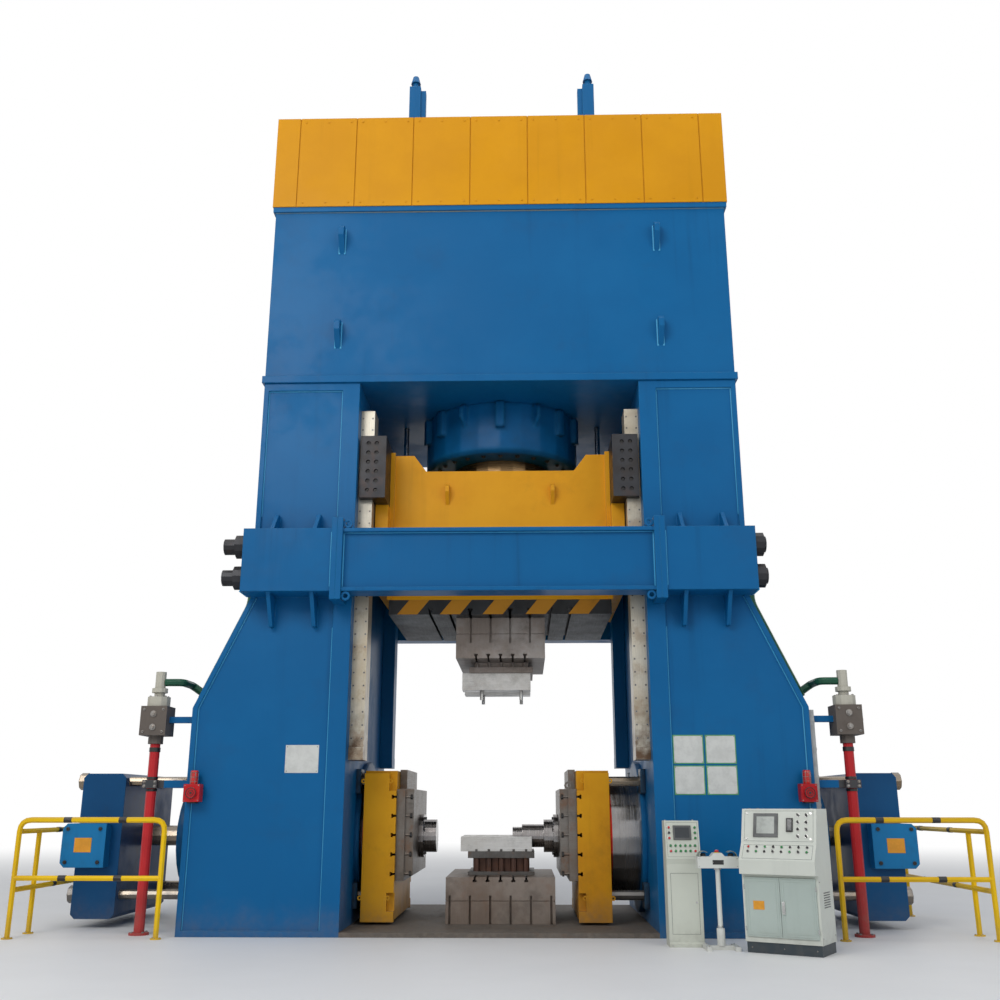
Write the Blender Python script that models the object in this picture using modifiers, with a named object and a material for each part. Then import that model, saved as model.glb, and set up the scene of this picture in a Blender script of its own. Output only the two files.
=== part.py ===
"""Multi-ram hydraulic forging press with its tooling, operator console and guard rails.

Metres, +Z up. The origin is on the floor in the middle of the press, -Y is the operator's side.
The slide moves along Z, the two side rams along X. At rest the slide is up.
"""
import math

import bmesh
import bpy
from mathutils import Euler, Matrix, Vector

# Common values
CLEARANCE = 0.0003          # between pieces that rest on each other
RUNNING_FIT = 0.004         # between a rod and its bore
PLUNGER_FIT = 0.0006        # between a ground plunger, shoe or stem and its guide
OVERRUN = 0.02              # a cutter past the face that it opens
WELD = 0.003                # a welded piece inside the one that carries it
MERGE = 0.00002             # points this close become one
LARGE_STEPS = 24            # sides of the large turned pieces
SMALL_STEPS = 12            # sides of rods and small turned pieces
FINE_STEPS = 8              # sides of bolts, pins and eyes
KNOB_STEPS = 6              # sides of the small buttons

# Frame of the press
FRAME_HALF_WIDTH = 2.91
FRAME_HALF_DEPTH = 1.70
WINDOW_HALF_WIDTH = 1.72
CROWN_BOTTOM = 6.40
CROWN_TOP = 8.86
FOOT_HALF_WIDTH = 3.49
TAPER_TOP = 3.70
TAPER_BOTTOM = 2.43
PANEL_BORDER = 0.21         # from the window to an upright's recessed front panel
PANEL_INNER = WINDOW_HALF_WIDTH + PANEL_BORDER
PANEL_TOP = 6.30
PANEL_MARGIN = 0.06
PANEL_RECESS = 0.03
BED_THICKNESS = 0.05
CROWN_BAND_HEIGHT = 0.09
CROWN_BAND_PROUD = 0.03
CROWN_LIP_HEIGHT = 0.07

# Lifting lugs on the front and rear of the crown
CROWN_LUG_X = 2.02
CROWN_LUG_LEVELS = (8.18, 6.86)
CROWN_LUG_HEIGHT = 0.36
CROWN_LUG_REACH = 0.15
CROWN_LUG_THICKNESS = 0.07
CROWN_LUG_HOLE = 0.035

# Shroud on the crown
SHROUD_TOP = 10.19
SHROUD_PROUD = 0.04
SHROUD_WALL = 0.05
SHROUD_SEAM_WIDTH = 0.012
SHROUD_SEAM_DEPTH = 0.012
SHROUD_PANEL = 0.755
SHROUD_PANELS = 7

# Tie beams, their end blocks on the uprights and the tie rods
TIE_BOTTOM = 3.71
TIE_TOP = 4.45
TIE_REACH = 0.35            # of the tie beams' flanges past the frame
TIE_FRONT = FRAME_HALF_DEPTH + TIE_REACH
TIE_WEB_INSET = 0.06
TIE_WEB_FRONT = TIE_FRONT - TIE_WEB_INSET
TIE_FLANGE = 0.045
TIE_JOINT_INSET = 0.135
TIE_JOINT = WINDOW_HALF_WIDTH + TIE_JOINT_INSET   # where a beam meets an end block's plate
TIE_PLATE = 0.063
TIE_PLATE_OVER = 0.12
TIE_PLATE_UNDER = 0.10
TIE_PLATE_PROUD = 0.03
TIE_BACK_GAP = 0.02
TIE_BLOCK_REACH = 0.04
TIE_BLOCK_END = FRAME_HALF_WIDTH + TIE_BLOCK_REACH
TIE_ROD_LEVELS = (3.90, 4.27)
TIE_ROD_REACH = 0.17
TIE_ROD_DEPTH = FRAME_HALF_DEPTH + TIE_ROD_REACH
TIE_ROD_RADIUS = 0.095
TIE_ROD_LEFT_END = 0.25      # past the end block
TIE_ROD_LEFT = TIE_BLOCK_END + TIE_ROD_LEFT_END
TIE_ROD_RIGHT_END = 0.14
TIE_ROD_RIGHT = TIE_BLOCK_END + TIE_ROD_RIGHT_END
TIE_NUT_RADIUS = 0.14
TIE_NUT_LENGTH = 0.11
GUSSET_SHARES = (0.26, 0.717)   # of an end block's width
GUSSET_XS = [TIE_JOINT + (TIE_BLOCK_END - TIE_JOINT) * share for share in GUSSET_SHARES]
GUSSET_THICKNESS = 0.045
GUSSET_OVER = 0.24
GUSSET_UNDER = 0.36
GUSSET_REACH = 0.30
GUSSET_NOSE = 0.06
EYE_RADIUS = 0.055
EYE_HOLE = 0.028
EYE_THICKNESS = 0.03

# Guide rails on the inner faces of the uprights
RAIL_THICKNESS = 0.17
RAIL_INNER = WINDOW_HALF_WIDTH - RAIL_THICKNESS
RAIL_SETBACK = 0.20          # from the frame's front to a rail
RAIL_FRONT = FRAME_HALF_DEPTH - RAIL_SETBACK
RAIL_WIDTH = 0.30
RAIL_BACK = RAIL_FRONT - RAIL_WIDTH
RAIL_BOTTOM = 1.86
RAIL_TOP = 6.10
RAIL_FOOT_HEIGHT = 0.14
RAIL_FOOT_PROUD = 0.03

# Main cylinder and its plunger
RING_CLEARANCE = 0.69        # from the main cylinder's ring to an upright
RING_RADIUS = WINDOW_HALF_WIDTH - RING_CLEARANCE
RING_BOTTOM = 5.72
RING_EDGE = 0.05
RING_STEP = 0.08
CYLINDER_RADIUS = RING_RADIUS - RING_STEP
CYLINDER_TOP = 9.10
CYLINDER_BORE_TOP = 8.62
CYLINDER_WALL = 0.31
PLUNGER_RADIUS = CYLINDER_RADIUS - CYLINDER_WALL
PLUNGER_TOP = 8.45
PLUNGER_FOOT_REACH = 0.06
PLUNGER_FOOT_RADIUS = PLUNGER_RADIUS + PLUNGER_FOOT_REACH
PLUNGER_FOOT_HEIGHT = 0.06
FILL_VALVE_INSET = 0.53
FILL_VALVE_RADIUS = CYLINDER_RADIUS - FILL_VALVE_INSET
FILL_VALVE_TOP = 9.85
RING_BLOCK_ANGLES = (48, 70)
RING_BLOCK_SIZE = 0.11
RING_BLOCK_PROUD = 0.06
RING_LUG_ANGLE = 26
RING_LUG_HEIGHT = 0.34
RING_LUG_REACH = 0.13
RING_LUG_THICKNESS = 0.05
RING_KEY_WIDTH = 0.11
RING_KEY_HEIGHT = 0.34
RING_KEY_PROUD = 0.07

# Slide
SLIDE_SHOE_WIDTH = 0.17      # room for a guide shoe between the slide and a rail
SLIDE_HALF_WIDTH = RAIL_INNER - SLIDE_SHOE_WIDTH
SLIDE_SETBACK = 0.60         # from the frame's front to the slide
SLIDE_FRONT = FRAME_HALF_DEPTH - SLIDE_SETBACK
SLIDE_BACK_INSET = 0.05
SLIDE_BACK = SLIDE_FRONT - SLIDE_BACK_INSET
SLIDE_BOTTOM = 3.78
SLIDE_TOP = 5.43
HORN_TOP = 5.64
HORN_WIDTH = 0.29
HORN_INNER = SLIDE_HALF_WIDTH - HORN_WIDTH
HORN_SPREAD = 0.445
HORN_FOOT = SLIDE_HALF_WIDTH - HORN_SPREAD
HORN_WALL = 0.14
SLIDE_STRIP_WIDTH = 0.055
SLIDE_STRIP_PROUD = 0.04
SLIDE_STRIP_OVER = 0.03
SLIDE_LUG_X = 0.66
SLIDE_LUG_LEVEL = 4.98
SLIDE_LUG_HEIGHT = 0.26
SLIDE_LUG_REACH = 0.10
SLIDE_LUG_THICKNESS = 0.05
WING_GAP = 0.015
WING_HALF_WIDTH = RAIL_INNER - WING_GAP
WING_LAP = 0.10
WING_HALF_DEPTH = RAIL_BACK + WING_LAP
WING_BOTTOM = 3.90
WING_TOP = 4.94
SHOE_TOP = 5.73
SHOE_REACH = 0.12
SHOE_FRONT = RAIL_FRONT + SHOE_REACH
SHOE_GAP = 0.025
SHOE_OUTER = WINDOW_HALF_WIDTH - SHOE_GAP
SHOE_HOLE_RADIUS = 0.026
SHOE_HOLE_DEPTH = 0.03
SHOE_HOLE_ROWS = 6
SHOE_HOLE_PITCH = 0.12
SHOE_HOLE_SPREAD = 0.05
SHOE_HOLE_XS = (RAIL_INNER - SHOE_HOLE_SPREAD, RAIL_INNER + SHOE_HOLE_SPREAD)
PLATE_BOTTOM = 3.60
PLATE_PROUD = 0.02
TSLOT_PITCH = 0.243
TSLOT_COUNT = 8
TSLOT_NECK = 0.032
TSLOT_HEAD = 0.062
TSLOT_NECK_DEPTH = 0.045
TSLOT_HEAD_DEPTH = 0.03

# Return cylinders on the crown and their rods
RETURN_INSET = 0.06
RETURN_X = SLIDE_HALF_WIDTH - RETURN_INSET
RETURN_ROD_RADIUS = 0.035
RETURN_ROD_TOP = 10.62
RETURN_BORE_TOP = 10.80
RETURN_FLANGE_HALF = 0.17
RETURN_FLANGE_HEIGHT = 0.06
RETURN_TUBE_RADIUS = 0.085
RETURN_HEAD_BOTTOM = 11.35
RETURN_HEAD_TOP = 11.95
RETURN_HEAD_HALF = 0.085
RETURN_HEAD_FLANGE = 0.12
RETURN_HEAD_FLANGE_HEIGHT = 0.06
RETURN_NECK_RADIUS = 0.045
RETURN_NECK_HEIGHT = 0.10
RETURN_CAP_RADIUS = 0.075
RETURN_CAP_HEIGHT = 0.12
RETURN_BRACKET_REACH = 0.16
RETURN_BRACKET_HALF = 0.05

# Upper tooling, carried by the slide
UPPER_BLOCK_HALF = 0.548
UPPER_BLOCK_BOTTOM = 3.10
UPPER_BLOCK_SPLIT = 3.40
UPPER_SLOT_END = 3.29
UPPER_SLOT_COUNT = 4
TOOL_HALF_DEPTH = 0.85
SPLIT_GROOVE = 0.012
BLOCK_SLOT_WIDTH = 0.024
BLOCK_SLOT_DEPTH = 0.05
HOLDER_HALF = 0.40
HOLDER_HALF_DEPTH = 0.46
UPPER_SPACER_BOTTOM = 3.04
UPPER_HOLDER_BOTTOM = 2.97
UPPER_DIE_BOTTOM = 2.755
DIE_SHIFT = -0.06
DIE_HALF = 0.43
DIE_HALF_DEPTH = 0.42
DIE_GROOVE_RADIUS = 0.165
GUIDE_PIN_X = 0.25
GUIDE_PIN_Y = 0.30
GUIDE_PIN_RADIUS = 0.022
GUIDE_PIN_LENGTH = 0.11
GUIDE_PIN_SOCKET = 0.14
TBOLT_COUNT = 5
TBOLT_PITCH = 0.150
TBOLT_RADIUS = 0.014
TBOLT_PROUD = 0.02
TBOLT_NUT_RADIUS = 0.028
TBOLT_NUT_LENGTH = 0.026
SMALL_TSLOT_NECK = 0.024
SMALL_TSLOT_HEAD = 0.046
SMALL_TSLOT_NECK_DEPTH = 0.03
SMALL_TSLOT_HEAD_DEPTH = 0.024

# Lower tooling, on the bed
BOLSTER_HALF = 0.635
BOLSTER_TOP = 0.56
BOLSTER_SPLIT = 0.30
BOLSTER_SLOT_COUNT = 6
BOLSTER_SLOT_PITCH = 0.235
BOLSTER_SLOT_TOP = 0.36
LOWER_PLATE_TOP = 0.60
LOWER_HOLDER_BOTTOM = 0.755
LOWER_HOLDER_TOP = 0.83
LOWER_DIE_TOP = 1.0
CLAMP_COLUMN_RADIUS = 0.038
CLAMP_CORE_INSET = 0.06

# Side rams, both on the same axis
RAM_AXIS = 1.0
RAM_RADIUS = 0.70
RAM_LENGTH = 1.45
SIDE_CYLINDER_RADIUS = 0.86
SIDE_FLANGE_THICKNESS = 0.06
SIDE_FLANGE_FACE = WINDOW_HALF_WIDTH - SIDE_FLANGE_THICKNESS
SIDE_FLANGE_RADIUS = 0.89
SIDE_CAP_RADIUS = 0.62
RETURN_PLUNGER_RADIUS = 0.12
RETURN_PLUNGER_DEPTH = 0.67
PULL_ROD_RADIUS = 0.055
PULL_ROD_Y = 0.74
PULL_ROD_RISE = 0.64
GLAND_HALF = 0.14
PLATEN_THICKNESS = 0.38
PLATEN_HALF_DEPTH = 0.95
PLATEN_BOTTOM = 0.08
PLATEN_TOP = 1.73
PLATEN_CORE_HALF_DEPTH = 0.86
PLATEN_CORE_TOP = 1.78
CHEEK_NOTCH_DEPTH = 0.085
CHEEK_NOTCH_HEIGHT = 0.20
CHEEK_NOTCH_TOP_END = 1.73
CHEEK_NOTCH_FOOT = 0.20
CHEEK_EYE_LEVELS = (0.34, 1.64)
CHEEK_EYE_RADIUS = 0.028
CHEEK_EYE_HOLE = 0.013
CHEEK_EYE_THICKNESS = 0.02
PLATEN_SLOT_PITCH = 0.215
PLATEN_SLOT_LOW = 0.60
DIE_PLATE_STEP = 0.10
DIE_PLATE_BOTTOM = 0.52
DIE_PLATE_LOW = 0.58
DIE_PLATE_TOP = 1.55
DIE_PLATE_HALF_DEPTH = 0.88
DIE_PLATE_FRONT_INSET = 0.04
DIE_PLATE_HEAD_TOP = 1.78
DIE_PLATE_HEAD_FRONT = 0.60
EYE_BOLT_RADIUS = 0.045
EYE_BOLT_WIRE = 0.011
PUNCH_FLANGE_RADIUS = 0.256
PUNCH_FLANGE = 0.06
PUNCH_COLLAR_RADIUS = 0.195
PUNCH_BODY_RADIUS = 0.137
PUNCH_TIP_RADIUS = 0.105
RIGHT_FACE_SHARE = 0.5233    # shares of the window's half width, up to the right ram's steps
RIGHT_COLLAR_SHARE = 0.3029
RIGHT_BODY_SHARE = 0.1453
RIGHT_TIP_SHARE = 0.0779
RIGHT_PLATEN_FACE = WINDOW_HALF_WIDTH * RIGHT_FACE_SHARE
RIGHT_COLLAR_END = WINDOW_HALF_WIDTH * RIGHT_COLLAR_SHARE
RIGHT_BODY_END = WINDOW_HALF_WIDTH * RIGHT_BODY_SHARE
RIGHT_TIP_END = WINDOW_HALF_WIDTH * RIGHT_TIP_SHARE
LEFT_PLATEN_REACH = 0.495    # from the window to the left platen's face
LEFT_PLATEN_FACE = WINDOW_HALF_WIDTH - LEFT_PLATEN_REACH
LEFT_PUNCH_REACH = 0.415
LEFT_COLLAR_END = LEFT_PLATEN_FACE - LEFT_PUNCH_REACH
CROSSHEAD_THICKNESS = 0.51
CROSSHEAD_HALF_DEPTH = 0.88
CROSSHEAD_BOTTOM = 0.10
CROSSHEAD_TOP = 1.73
CROSSHEAD_CORNER = 0.05
HUB_START = 0.12
HUB_REACH = 0.12
HUB_HALF_DEPTH = 1.04
HUB_BOTTOM = 0.67
HUB_TOP = 1.16
HUB_CORNER = 0.05
PULL_NUT_RADIUS = 0.10
PULL_NUT_LENGTH = 0.08

# Lengths of the side cylinders, worked out from their rams
RAM_BORE_ROOM = 0.145        # behind the left ram at rest
SIDE_CYLINDER_BACK = 0.70
SIDE_CAP_LENGTH = 0.18
RETURN_BORE_ROOM = 0.12
CROSSHEAD_ROOM = 1.42        # from a ram's end to its crosshead
RAM_BORE_END = LEFT_PLATEN_FACE + PLATEN_THICKNESS + RAM_LENGTH + RAM_BORE_ROOM
RETURN_BORE_END = RAM_BORE_END + RETURN_BORE_ROOM
SIDE_CYLINDER_END = RAM_BORE_END + SIDE_CYLINDER_BACK
SIDE_CAP_START = SIDE_CYLINDER_END - SIDE_CAP_LENGTH
CROSSHEAD_OFFSET = RAM_LENGTH + CROSSHEAD_ROOM
CROSSHEAD_REACH = CROSSHEAD_OFFSET + CROSSHEAD_THICKNESS + HUB_REACH + PULL_NUT_LENGTH

# Risers, valve blocks and pilot pipes beside the uprights
RISER_OFF = 0.46             # from an upright's foot
RISER_X = FOOT_HALF_WIDTH + RISER_OFF
RISER_SETBACK = 0.20
RISER_Y = RISER_SETBACK - FRAME_HALF_DEPTH
RISER_RADIUS = 0.0575
RISER_FLANGE_RADIUS = 0.11
RISER_FLANGE_HEIGHT = 0.025
RISER_CLAMP_LEVEL = 1.55
RISER_CLAMP_HALF = 0.085
RISER_CLAMP_HEIGHT = 0.09
BRACKET_HALF = 0.035
VALVE_HALF = 0.15
VALVE_NECK_BOTTOM = 2.04
VALVE_BOTTOM = 2.13
VALVE_TOP = 2.46
VALVE_NECK_RADIUS = 0.085
VALVE_CAP_RADIUS = 0.13
VALVE_CAP_TOP = 2.57
VALVE_STEM_RADIUS = 0.06
VALVE_COLLAR_RADIUS = 0.09
VALVE_COLLAR_BOTTOM = 2.62
VALVE_STEM_TOP = 2.86
VALVE_BRACKET_LEVEL = 2.31
PIPE_RADIUS = 0.07
PIPE_OFF = 0.11
PIPE_SETBACK = 0.55
PIPE_Y = PIPE_SETBACK - FRAME_HALF_DEPTH
PIPE_LOW = 2.55
PIPE_HIGH = 4.10
BRANCH_RADIUS = 0.045
BRANCH_LEVEL = 2.74
PIPE_FLANGE_RADIUS = 0.10
PIPE_FLANGE_LENGTH = 0.05

# Sirens on the front of the uprights
SIREN_INSET = 0.01
SIREN_OUTER = FOOT_HALF_WIDTH - SIREN_INSET
SIREN_WIDTH = 0.18
SIREN_BOTTOM = 1.40
SIREN_HEIGHT = 0.19
SIREN_DEPTH = 0.13
SIREN_HORN_RADIUS = 0.06
SIREN_HORN_DEPTH = 0.03
BEACON_RADIUS = 0.04
BEACON_HEIGHT = 0.15

# Cable tray on the right upright
TRAY_TOP = 2.40
TRAY_WIDTH = 0.10
TRAY_DEPTH = 0.06
TRAY_WALL = 0.012
TRAY_SETBACK = 0.04
TRAY_FRONT = FRAME_HALF_DEPTH - TRAY_SETBACK

# Guard rails
RAILING_GAP = 0.14           # from an upright's foot
RAILING_INNER = FOOT_HALF_WIDTH + RAILING_GAP
RAILING_ROOM = 0.035         # outside the left crosshead's nuts
RAILING_OUTER = LEFT_PLATEN_FACE + PLATEN_THICKNESS + CROSSHEAD_REACH + RAILING_ROOM
RAILING_OFF = 0.20           # in front of the frame
RAILING_Y = -FRAME_HALF_DEPTH - RAILING_OFF
RAILING_BACK = 0.75
RAILING_POST_PITCH = 0.50
RAILING_POST_Y = RAILING_Y + RAILING_POST_PITCH
RAILING_TOP = 1.21
RAILING_MIDDLE = 0.61
RAILING_RADIUS = 0.030
RAILING_BEND = 0.12
RAILING_FOOT_RADIUS = 0.06
RAILING_FOOT_HEIGHT = 0.012

# Operator console
CONSOLE_X = 2.42
CONSOLE_OFF = 1.08           # in front of the frame
CONSOLE_Y = -FRAME_HALF_DEPTH - CONSOLE_OFF
CONSOLE_TURN = -31.0
CONSOLE_WIDTH = 0.75
CONSOLE_DEPTH = 0.46
CONSOLE_PLINTH = 0.10
CONSOLE_PLINTH_INSET = 0.01
CONSOLE_WALL = 0.03
CONSOLE_CABINET_TOP = 0.72
CONSOLE_DESK_REACH = 0.07
CONSOLE_DESK_LIP = 0.13
CONSOLE_DESK_BACK = 0.03
CONSOLE_DESK_TOP = 1.00
CONSOLE_PANEL_BACK = 0.12
CONSOLE_TOP = 1.33
DOOR_BOTTOM = 0.15
DOOR_TOP = 0.69
DOOR_THICKNESS = 0.018
DOOR_MARGIN = 0.025
DOOR_GAP = 0.004
HANDLE_LENGTH = 0.09
HANDLE_WIDTH = 0.018
HANDLE_PROUD = 0.014
HANDLE_INSET = 0.03
SCREEN_WIDTH = 0.24
SCREEN_FRAME = 0.012
BUTTON_RADIUS = 0.010
BUTTON_PROUD = 0.010
PANEL_KNOB_SHARES = (0.82, 0.62, 0.42, 0.22)
PANEL_KNOB_X_SHARES = (0.76, 0.87)
DESK_BUTTON_SHARES = (0.80, 0.52)
DESK_BUTTON_COUNT = 8
SCREEN_SHARES = (0.20, 0.85)
SCREEN_LEFT_SHARE = 0.17
DISPLAY_SHARES = (0.35, 0.72)
DISPLAY_LEFT_SHARE = 0.61
DISPLAY_WIDTH = 0.06

# Pedestal with a small panel
PEDESTAL_X = 1.73
PEDESTAL_OFF = 0.72          # in front of the frame
PEDESTAL_Y = -FRAME_HALF_DEPTH - PEDESTAL_OFF
PEDESTAL_WIDTH = 0.35
PEDESTAL_DEPTH = 0.24
PEDESTAL_NECK = 0.84
PEDESTAL_TOP = 1.21
PEDESTAL_LEAN = 0.05
PEDESTAL_FOOT_REACH = 0.02
PEDESTAL_FOOT_HEIGHT = 0.03
PEDESTAL_SCREEN_SHARES = (0.50, 0.86)
PEDESTAL_ROW_SHARES = (0.20, 0.34)
PEDESTAL_ROW_COUNT = 6
PEDESTAL_COLUMN_SHARES = (0.54, 0.68, 0.82)
PEDESTAL_COLUMN_X_SHARES = (0.12, 0.88)

# Two-hand control stand
STAND_X = 2.215
STAND_OFF = 0.90             # in front of the frame
STAND_Y = -FRAME_HALF_DEPTH - STAND_OFF
STAND_BOX_HALF = 0.205
STAND_BOX_DEPTH = 0.12
STAND_BOX_BOTTOM = 0.76
STAND_BOX_TOP = 0.87
STAND_HUMP_HALF = 0.075
STAND_HUMP_TOP = 0.905
STAND_POLE_RADIUS = 0.024
STAND_SOCKET_RADIUS = 0.04
STAND_SOCKET_TOP = 0.16
STAND_FOOT_HALF = 0.14
STAND_FOOT_WIDTH = 0.05
STAND_FOOT_HEIGHT = 0.04
PALM_X = 0.138
PALM_RADIUS = 0.030
PALM_HEIGHT = 0.022
PALM_CROWN_SHARE = 0.7      # of a button's radius that is flat on top
PALM_STEM_RADIUS = 0.012
PALM_SOCKET = 0.03
PALM_GAP = 0.009
SHIELD_RADIUS = 0.058
SHIELD_WALL = 0.006
SHIELD_HALF_DEPTH = 0.055
SHIELD_START = -5           # degrees, on the side away from the stop button
SHIELD_END = 130
SHIELD_STEPS = 6
STOP_RADIUS = 0.022
STOP_HEIGHT = 0.018

COLOURS = {
    "frame": ((0.012, 0.115, 0.300), 0.42, 0.0),
    "yellow": ((0.700, 0.330, 0.020), 0.45, 0.0),
    "shroud": ((0.720, 0.310, 0.008), 0.50, 0.0),
    "steel": ((0.420, 0.410, 0.390), 0.40, 0.9),
    "dark": ((0.045, 0.048, 0.052), 0.55, 0.6),
    "bolster": ((0.190, 0.160, 0.140), 0.60, 0.7),
    "bronze": ((0.350, 0.220, 0.090), 0.40, 0.9),
    "chrome": ((0.620, 0.620, 0.620), 0.20, 1.0),
    "red": ((0.520, 0.020, 0.020), 0.45, 0.0),
    "green": ((0.020, 0.130, 0.050), 0.50, 0.0),
    "rail": ((0.780, 0.520, 0.010), 0.45, 0.0),
    "cabinet": ((0.620, 0.640, 0.560), 0.55, 0.0),
    "block": ((0.230, 0.180, 0.150), 0.60, 0.5),
}


def material(key):
    """The part's own painted or bare surface."""
    colour, roughness, metallic = COLOURS[key]
    finish = bpy.data.materials.get(key) or bpy.data.materials.new(key)
    finish.use_nodes = True
    shader = finish.node_tree.nodes["Principled BSDF"]
    shader.inputs["Base Color"].default_value = (*colour, 1)
    shader.inputs["Roughness"].default_value = roughness
    shader.inputs["Metallic"].default_value = metallic
    return finish


def collection(name):
    """A collection of this name, linked to the scene."""
    group = bpy.data.collections.get(name)
    if group is None:
        group = bpy.data.collections.new(name)
        bpy.context.scene.collection.children.link(group)
    return group


def link(name, data):
    """A new object in the press's collection."""
    piece = bpy.data.objects.new(name, data)
    collection("hydraulic_press").objects.link(piece)
    return piece


def hide(tool):
    """Keep a cutter or a welded shape out of the model."""
    collection("hydraulic_press").objects.unlink(tool)
    collection("tools").objects.link(tool)
    tool.hide_render = True
    tool.display_type = "WIRE"


def mesh_object(name, shape):
    """An object from a bmesh, which is freed."""
    mesh = bpy.data.meshes.new(name)
    shape.to_mesh(mesh)
    shape.free()
    return link(name, mesh)


def block(name, x, y, z):
    """A box between the two values of x, of y and of z."""
    size = [max(pair) - min(pair) for pair in (x, y, z)]
    middle = [sum(pair) / 2 for pair in (x, y, z)]
    shape = bmesh.new()
    bmesh.ops.create_cube(shape, size=1, matrix=Matrix.LocRotScale(middle, None, size))
    return mesh_object(name, shape)


AXES = {"X": Euler((0, math.pi / 2, 0)), "Y": Euler((-math.pi / 2, 0, 0)), "Z": Euler((0, 0, 0))}


def rod(name, start, length, radius, axis="Z", steps=SMALL_STEPS, end_radius=None):
    """A cylinder or cone that runs from start along the positive axis."""
    shape = bmesh.new()
    turn = AXES[axis].to_matrix().to_4x4()
    place = Matrix.Translation(start) @ turn @ Matrix.Translation((0, 0, length / 2))
    end = radius if end_radius is None else end_radius
    bmesh.ops.create_cone(shape, cap_ends=True, segments=steps, radius1=radius, radius2=end,
                          depth=length, matrix=place)
    return mesh_object(name, shape)


def turned(name, profile, start, axis="Z", side=1, steps=LARGE_STEPS):
    """A profile of (radius, height) pairs turned about an axis through start."""
    shape = bmesh.new()
    points = [shape.verts.new((radius, 0, height)) for radius, height in profile]
    for first, second in zip(points, points[1:]):
        shape.edges.new((first, second))
    if profile[0][0] > 0:
        shape.edges.new((points[-1], points[0]))
    piece = mesh_object(name, shape)
    piece.location = start
    if axis != "Z":
        piece.rotation_euler = (0, side * math.pi / 2, 0)
    screw = piece.modifiers.new("turn", "SCREW")
    screw.steps = steps
    screw.render_steps = steps
    screw.use_merge_vertices = True
    screw.merge_threshold = MERGE
    return piece


def plate(name, outline, near, far, plane="XZ"):
    """A flat outline in a plane, between near and far along the plane's normal."""
    curve = bpy.data.curves.new(name, "CURVE")
    curve.dimensions = "2D"
    curve.fill_mode = "BOTH"
    curve.extrude = abs(far - near) / 2
    line = curve.splines.new("POLY")
    line.points.add(len(outline) - 1)
    for point, (across, up) in zip(line.points, outline):
        point.co = (across, up, 0, 1)
    line.use_cyclic_u = True
    piece = link(name, curve)
    middle = (near + far) / 2
    if plane == "XZ":
        piece.rotation_euler = (math.pi / 2, 0, 0)
        piece.location = (0, middle, 0)
    elif plane == "YZ":
        piece.rotation_euler = (math.pi / 2, 0, math.pi / 2)
        piece.location = (middle, 0, 0)
    else:
        piece.location = (0, 0, middle)
    return as_mesh(piece)


def as_mesh(piece):
    """Turn a curve, or a piece with modifiers, into a plain closed mesh."""
    bpy.context.view_layer.update()
    seen = piece.evaluated_get(bpy.context.evaluated_depsgraph_get())
    mesh = bpy.data.meshes.new_from_object(seen)
    shape = bmesh.new()
    shape.from_mesh(mesh)
    shape.transform(piece.matrix_world)
    bmesh.ops.remove_doubles(shape, verts=shape.verts, dist=MERGE)
    bmesh.ops.recalc_face_normals(shape, faces=shape.faces)
    name = piece.name
    bpy.data.objects.remove(piece)
    bpy.data.meshes.remove(mesh)
    return mesh_object(name, shape)


def arc(centre, radius, start, end, steps):
    """Points on an arc in a plane, with its angles in degrees."""
    turns = [math.radians(start + (end - start) * step / steps) for step in range(steps + 1)]
    return [(centre[0] + radius * math.cos(turn), centre[1] + radius * math.sin(turn))
            for turn in turns]


def tube(name, points, radius, steps=2):
    """A round bar along points, as a closed mesh."""
    curve = bpy.data.curves.new(name, "CURVE")
    curve.dimensions = "3D"
    curve.bevel_depth = radius
    curve.bevel_resolution = steps
    curve.use_fill_caps = True
    line = curve.splines.new("POLY")
    line.points.add(len(points) - 1)
    for point, place in zip(line.points, points):
        point.co = (*place, 1)
    return as_mesh(link(name, curve))


def together(name, pieces):
    """Several pieces that don't touch, as one tool."""
    shape = bmesh.new()
    for piece in pieces:
        solid = as_mesh(piece)
        shape.from_mesh(solid.data)
        bpy.data.objects.remove(solid)
    return mesh_object(name, shape)


def cut(body, *tools):
    """Remove the tools from the body."""
    return combine(body, tools, "DIFFERENCE")


def weld(body, *pieces):
    """Join the pieces to the body."""
    return combine(body, pieces, "UNION")


def combine(body, tools, operation):
    """Add one exact Boolean for each tool."""
    for tool in tools:
        hide(tool)
        step = body.modifiers.new(tool.name, "BOOLEAN")
        step.operation = operation
        step.solver = "EXACT"
        step.object = tool
    return body


def finish(piece, key, parent=None):
    """Give a finished piece its surface, smooth round faces and its joint's frame."""
    piece.data.materials.append(material(key))
    if piece.type == "MESH":
        piece.data.shade_smooth()
        piece.data.set_sharp_from_angle(angle=math.radians(35))
    if parent is not None:
        bpy.context.view_layer.update()
        for item in [piece] + [step.object for step in piece.modifiers if step.type == "BOOLEAN"]:
            item.parent = parent
            item.matrix_parent_inverse = parent.matrix_world.inverted()
    return piece


def frame_at(name, place):
    """An empty that stands for a joint's frame."""
    empty = link(name, None)
    empty.location = place
    bpy.context.view_layer.update()
    return empty


def mirrored(side, low, high):
    """The pair low and high on the given side of the press."""
    return (side * low, side * high)


def ring_plate(name, centre, radius, hole, near, far, plane):
    """A round eye with a hole."""
    eye = plate(name, arc(centre, radius, 0, 360, FINE_STEPS)[:-1], near, far, plane)
    bore = plate(name + "_hole", arc(centre, hole, 0, 360, FINE_STEPS)[:-1],
                 near - OVERRUN, far + OVERRUN, plane)
    return as_mesh(cut(eye, bore))


def lug_profile(front, foot, top, reach):
    """A lifting lug's outline in the YZ plane, on a face that looks towards -Y."""
    nose = reach / 3
    return [(front + WELD, foot), (front + WELD, top), (front - reach + nose, top),
            (front - reach, top - nose), (front - reach, top - reach)]


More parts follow.
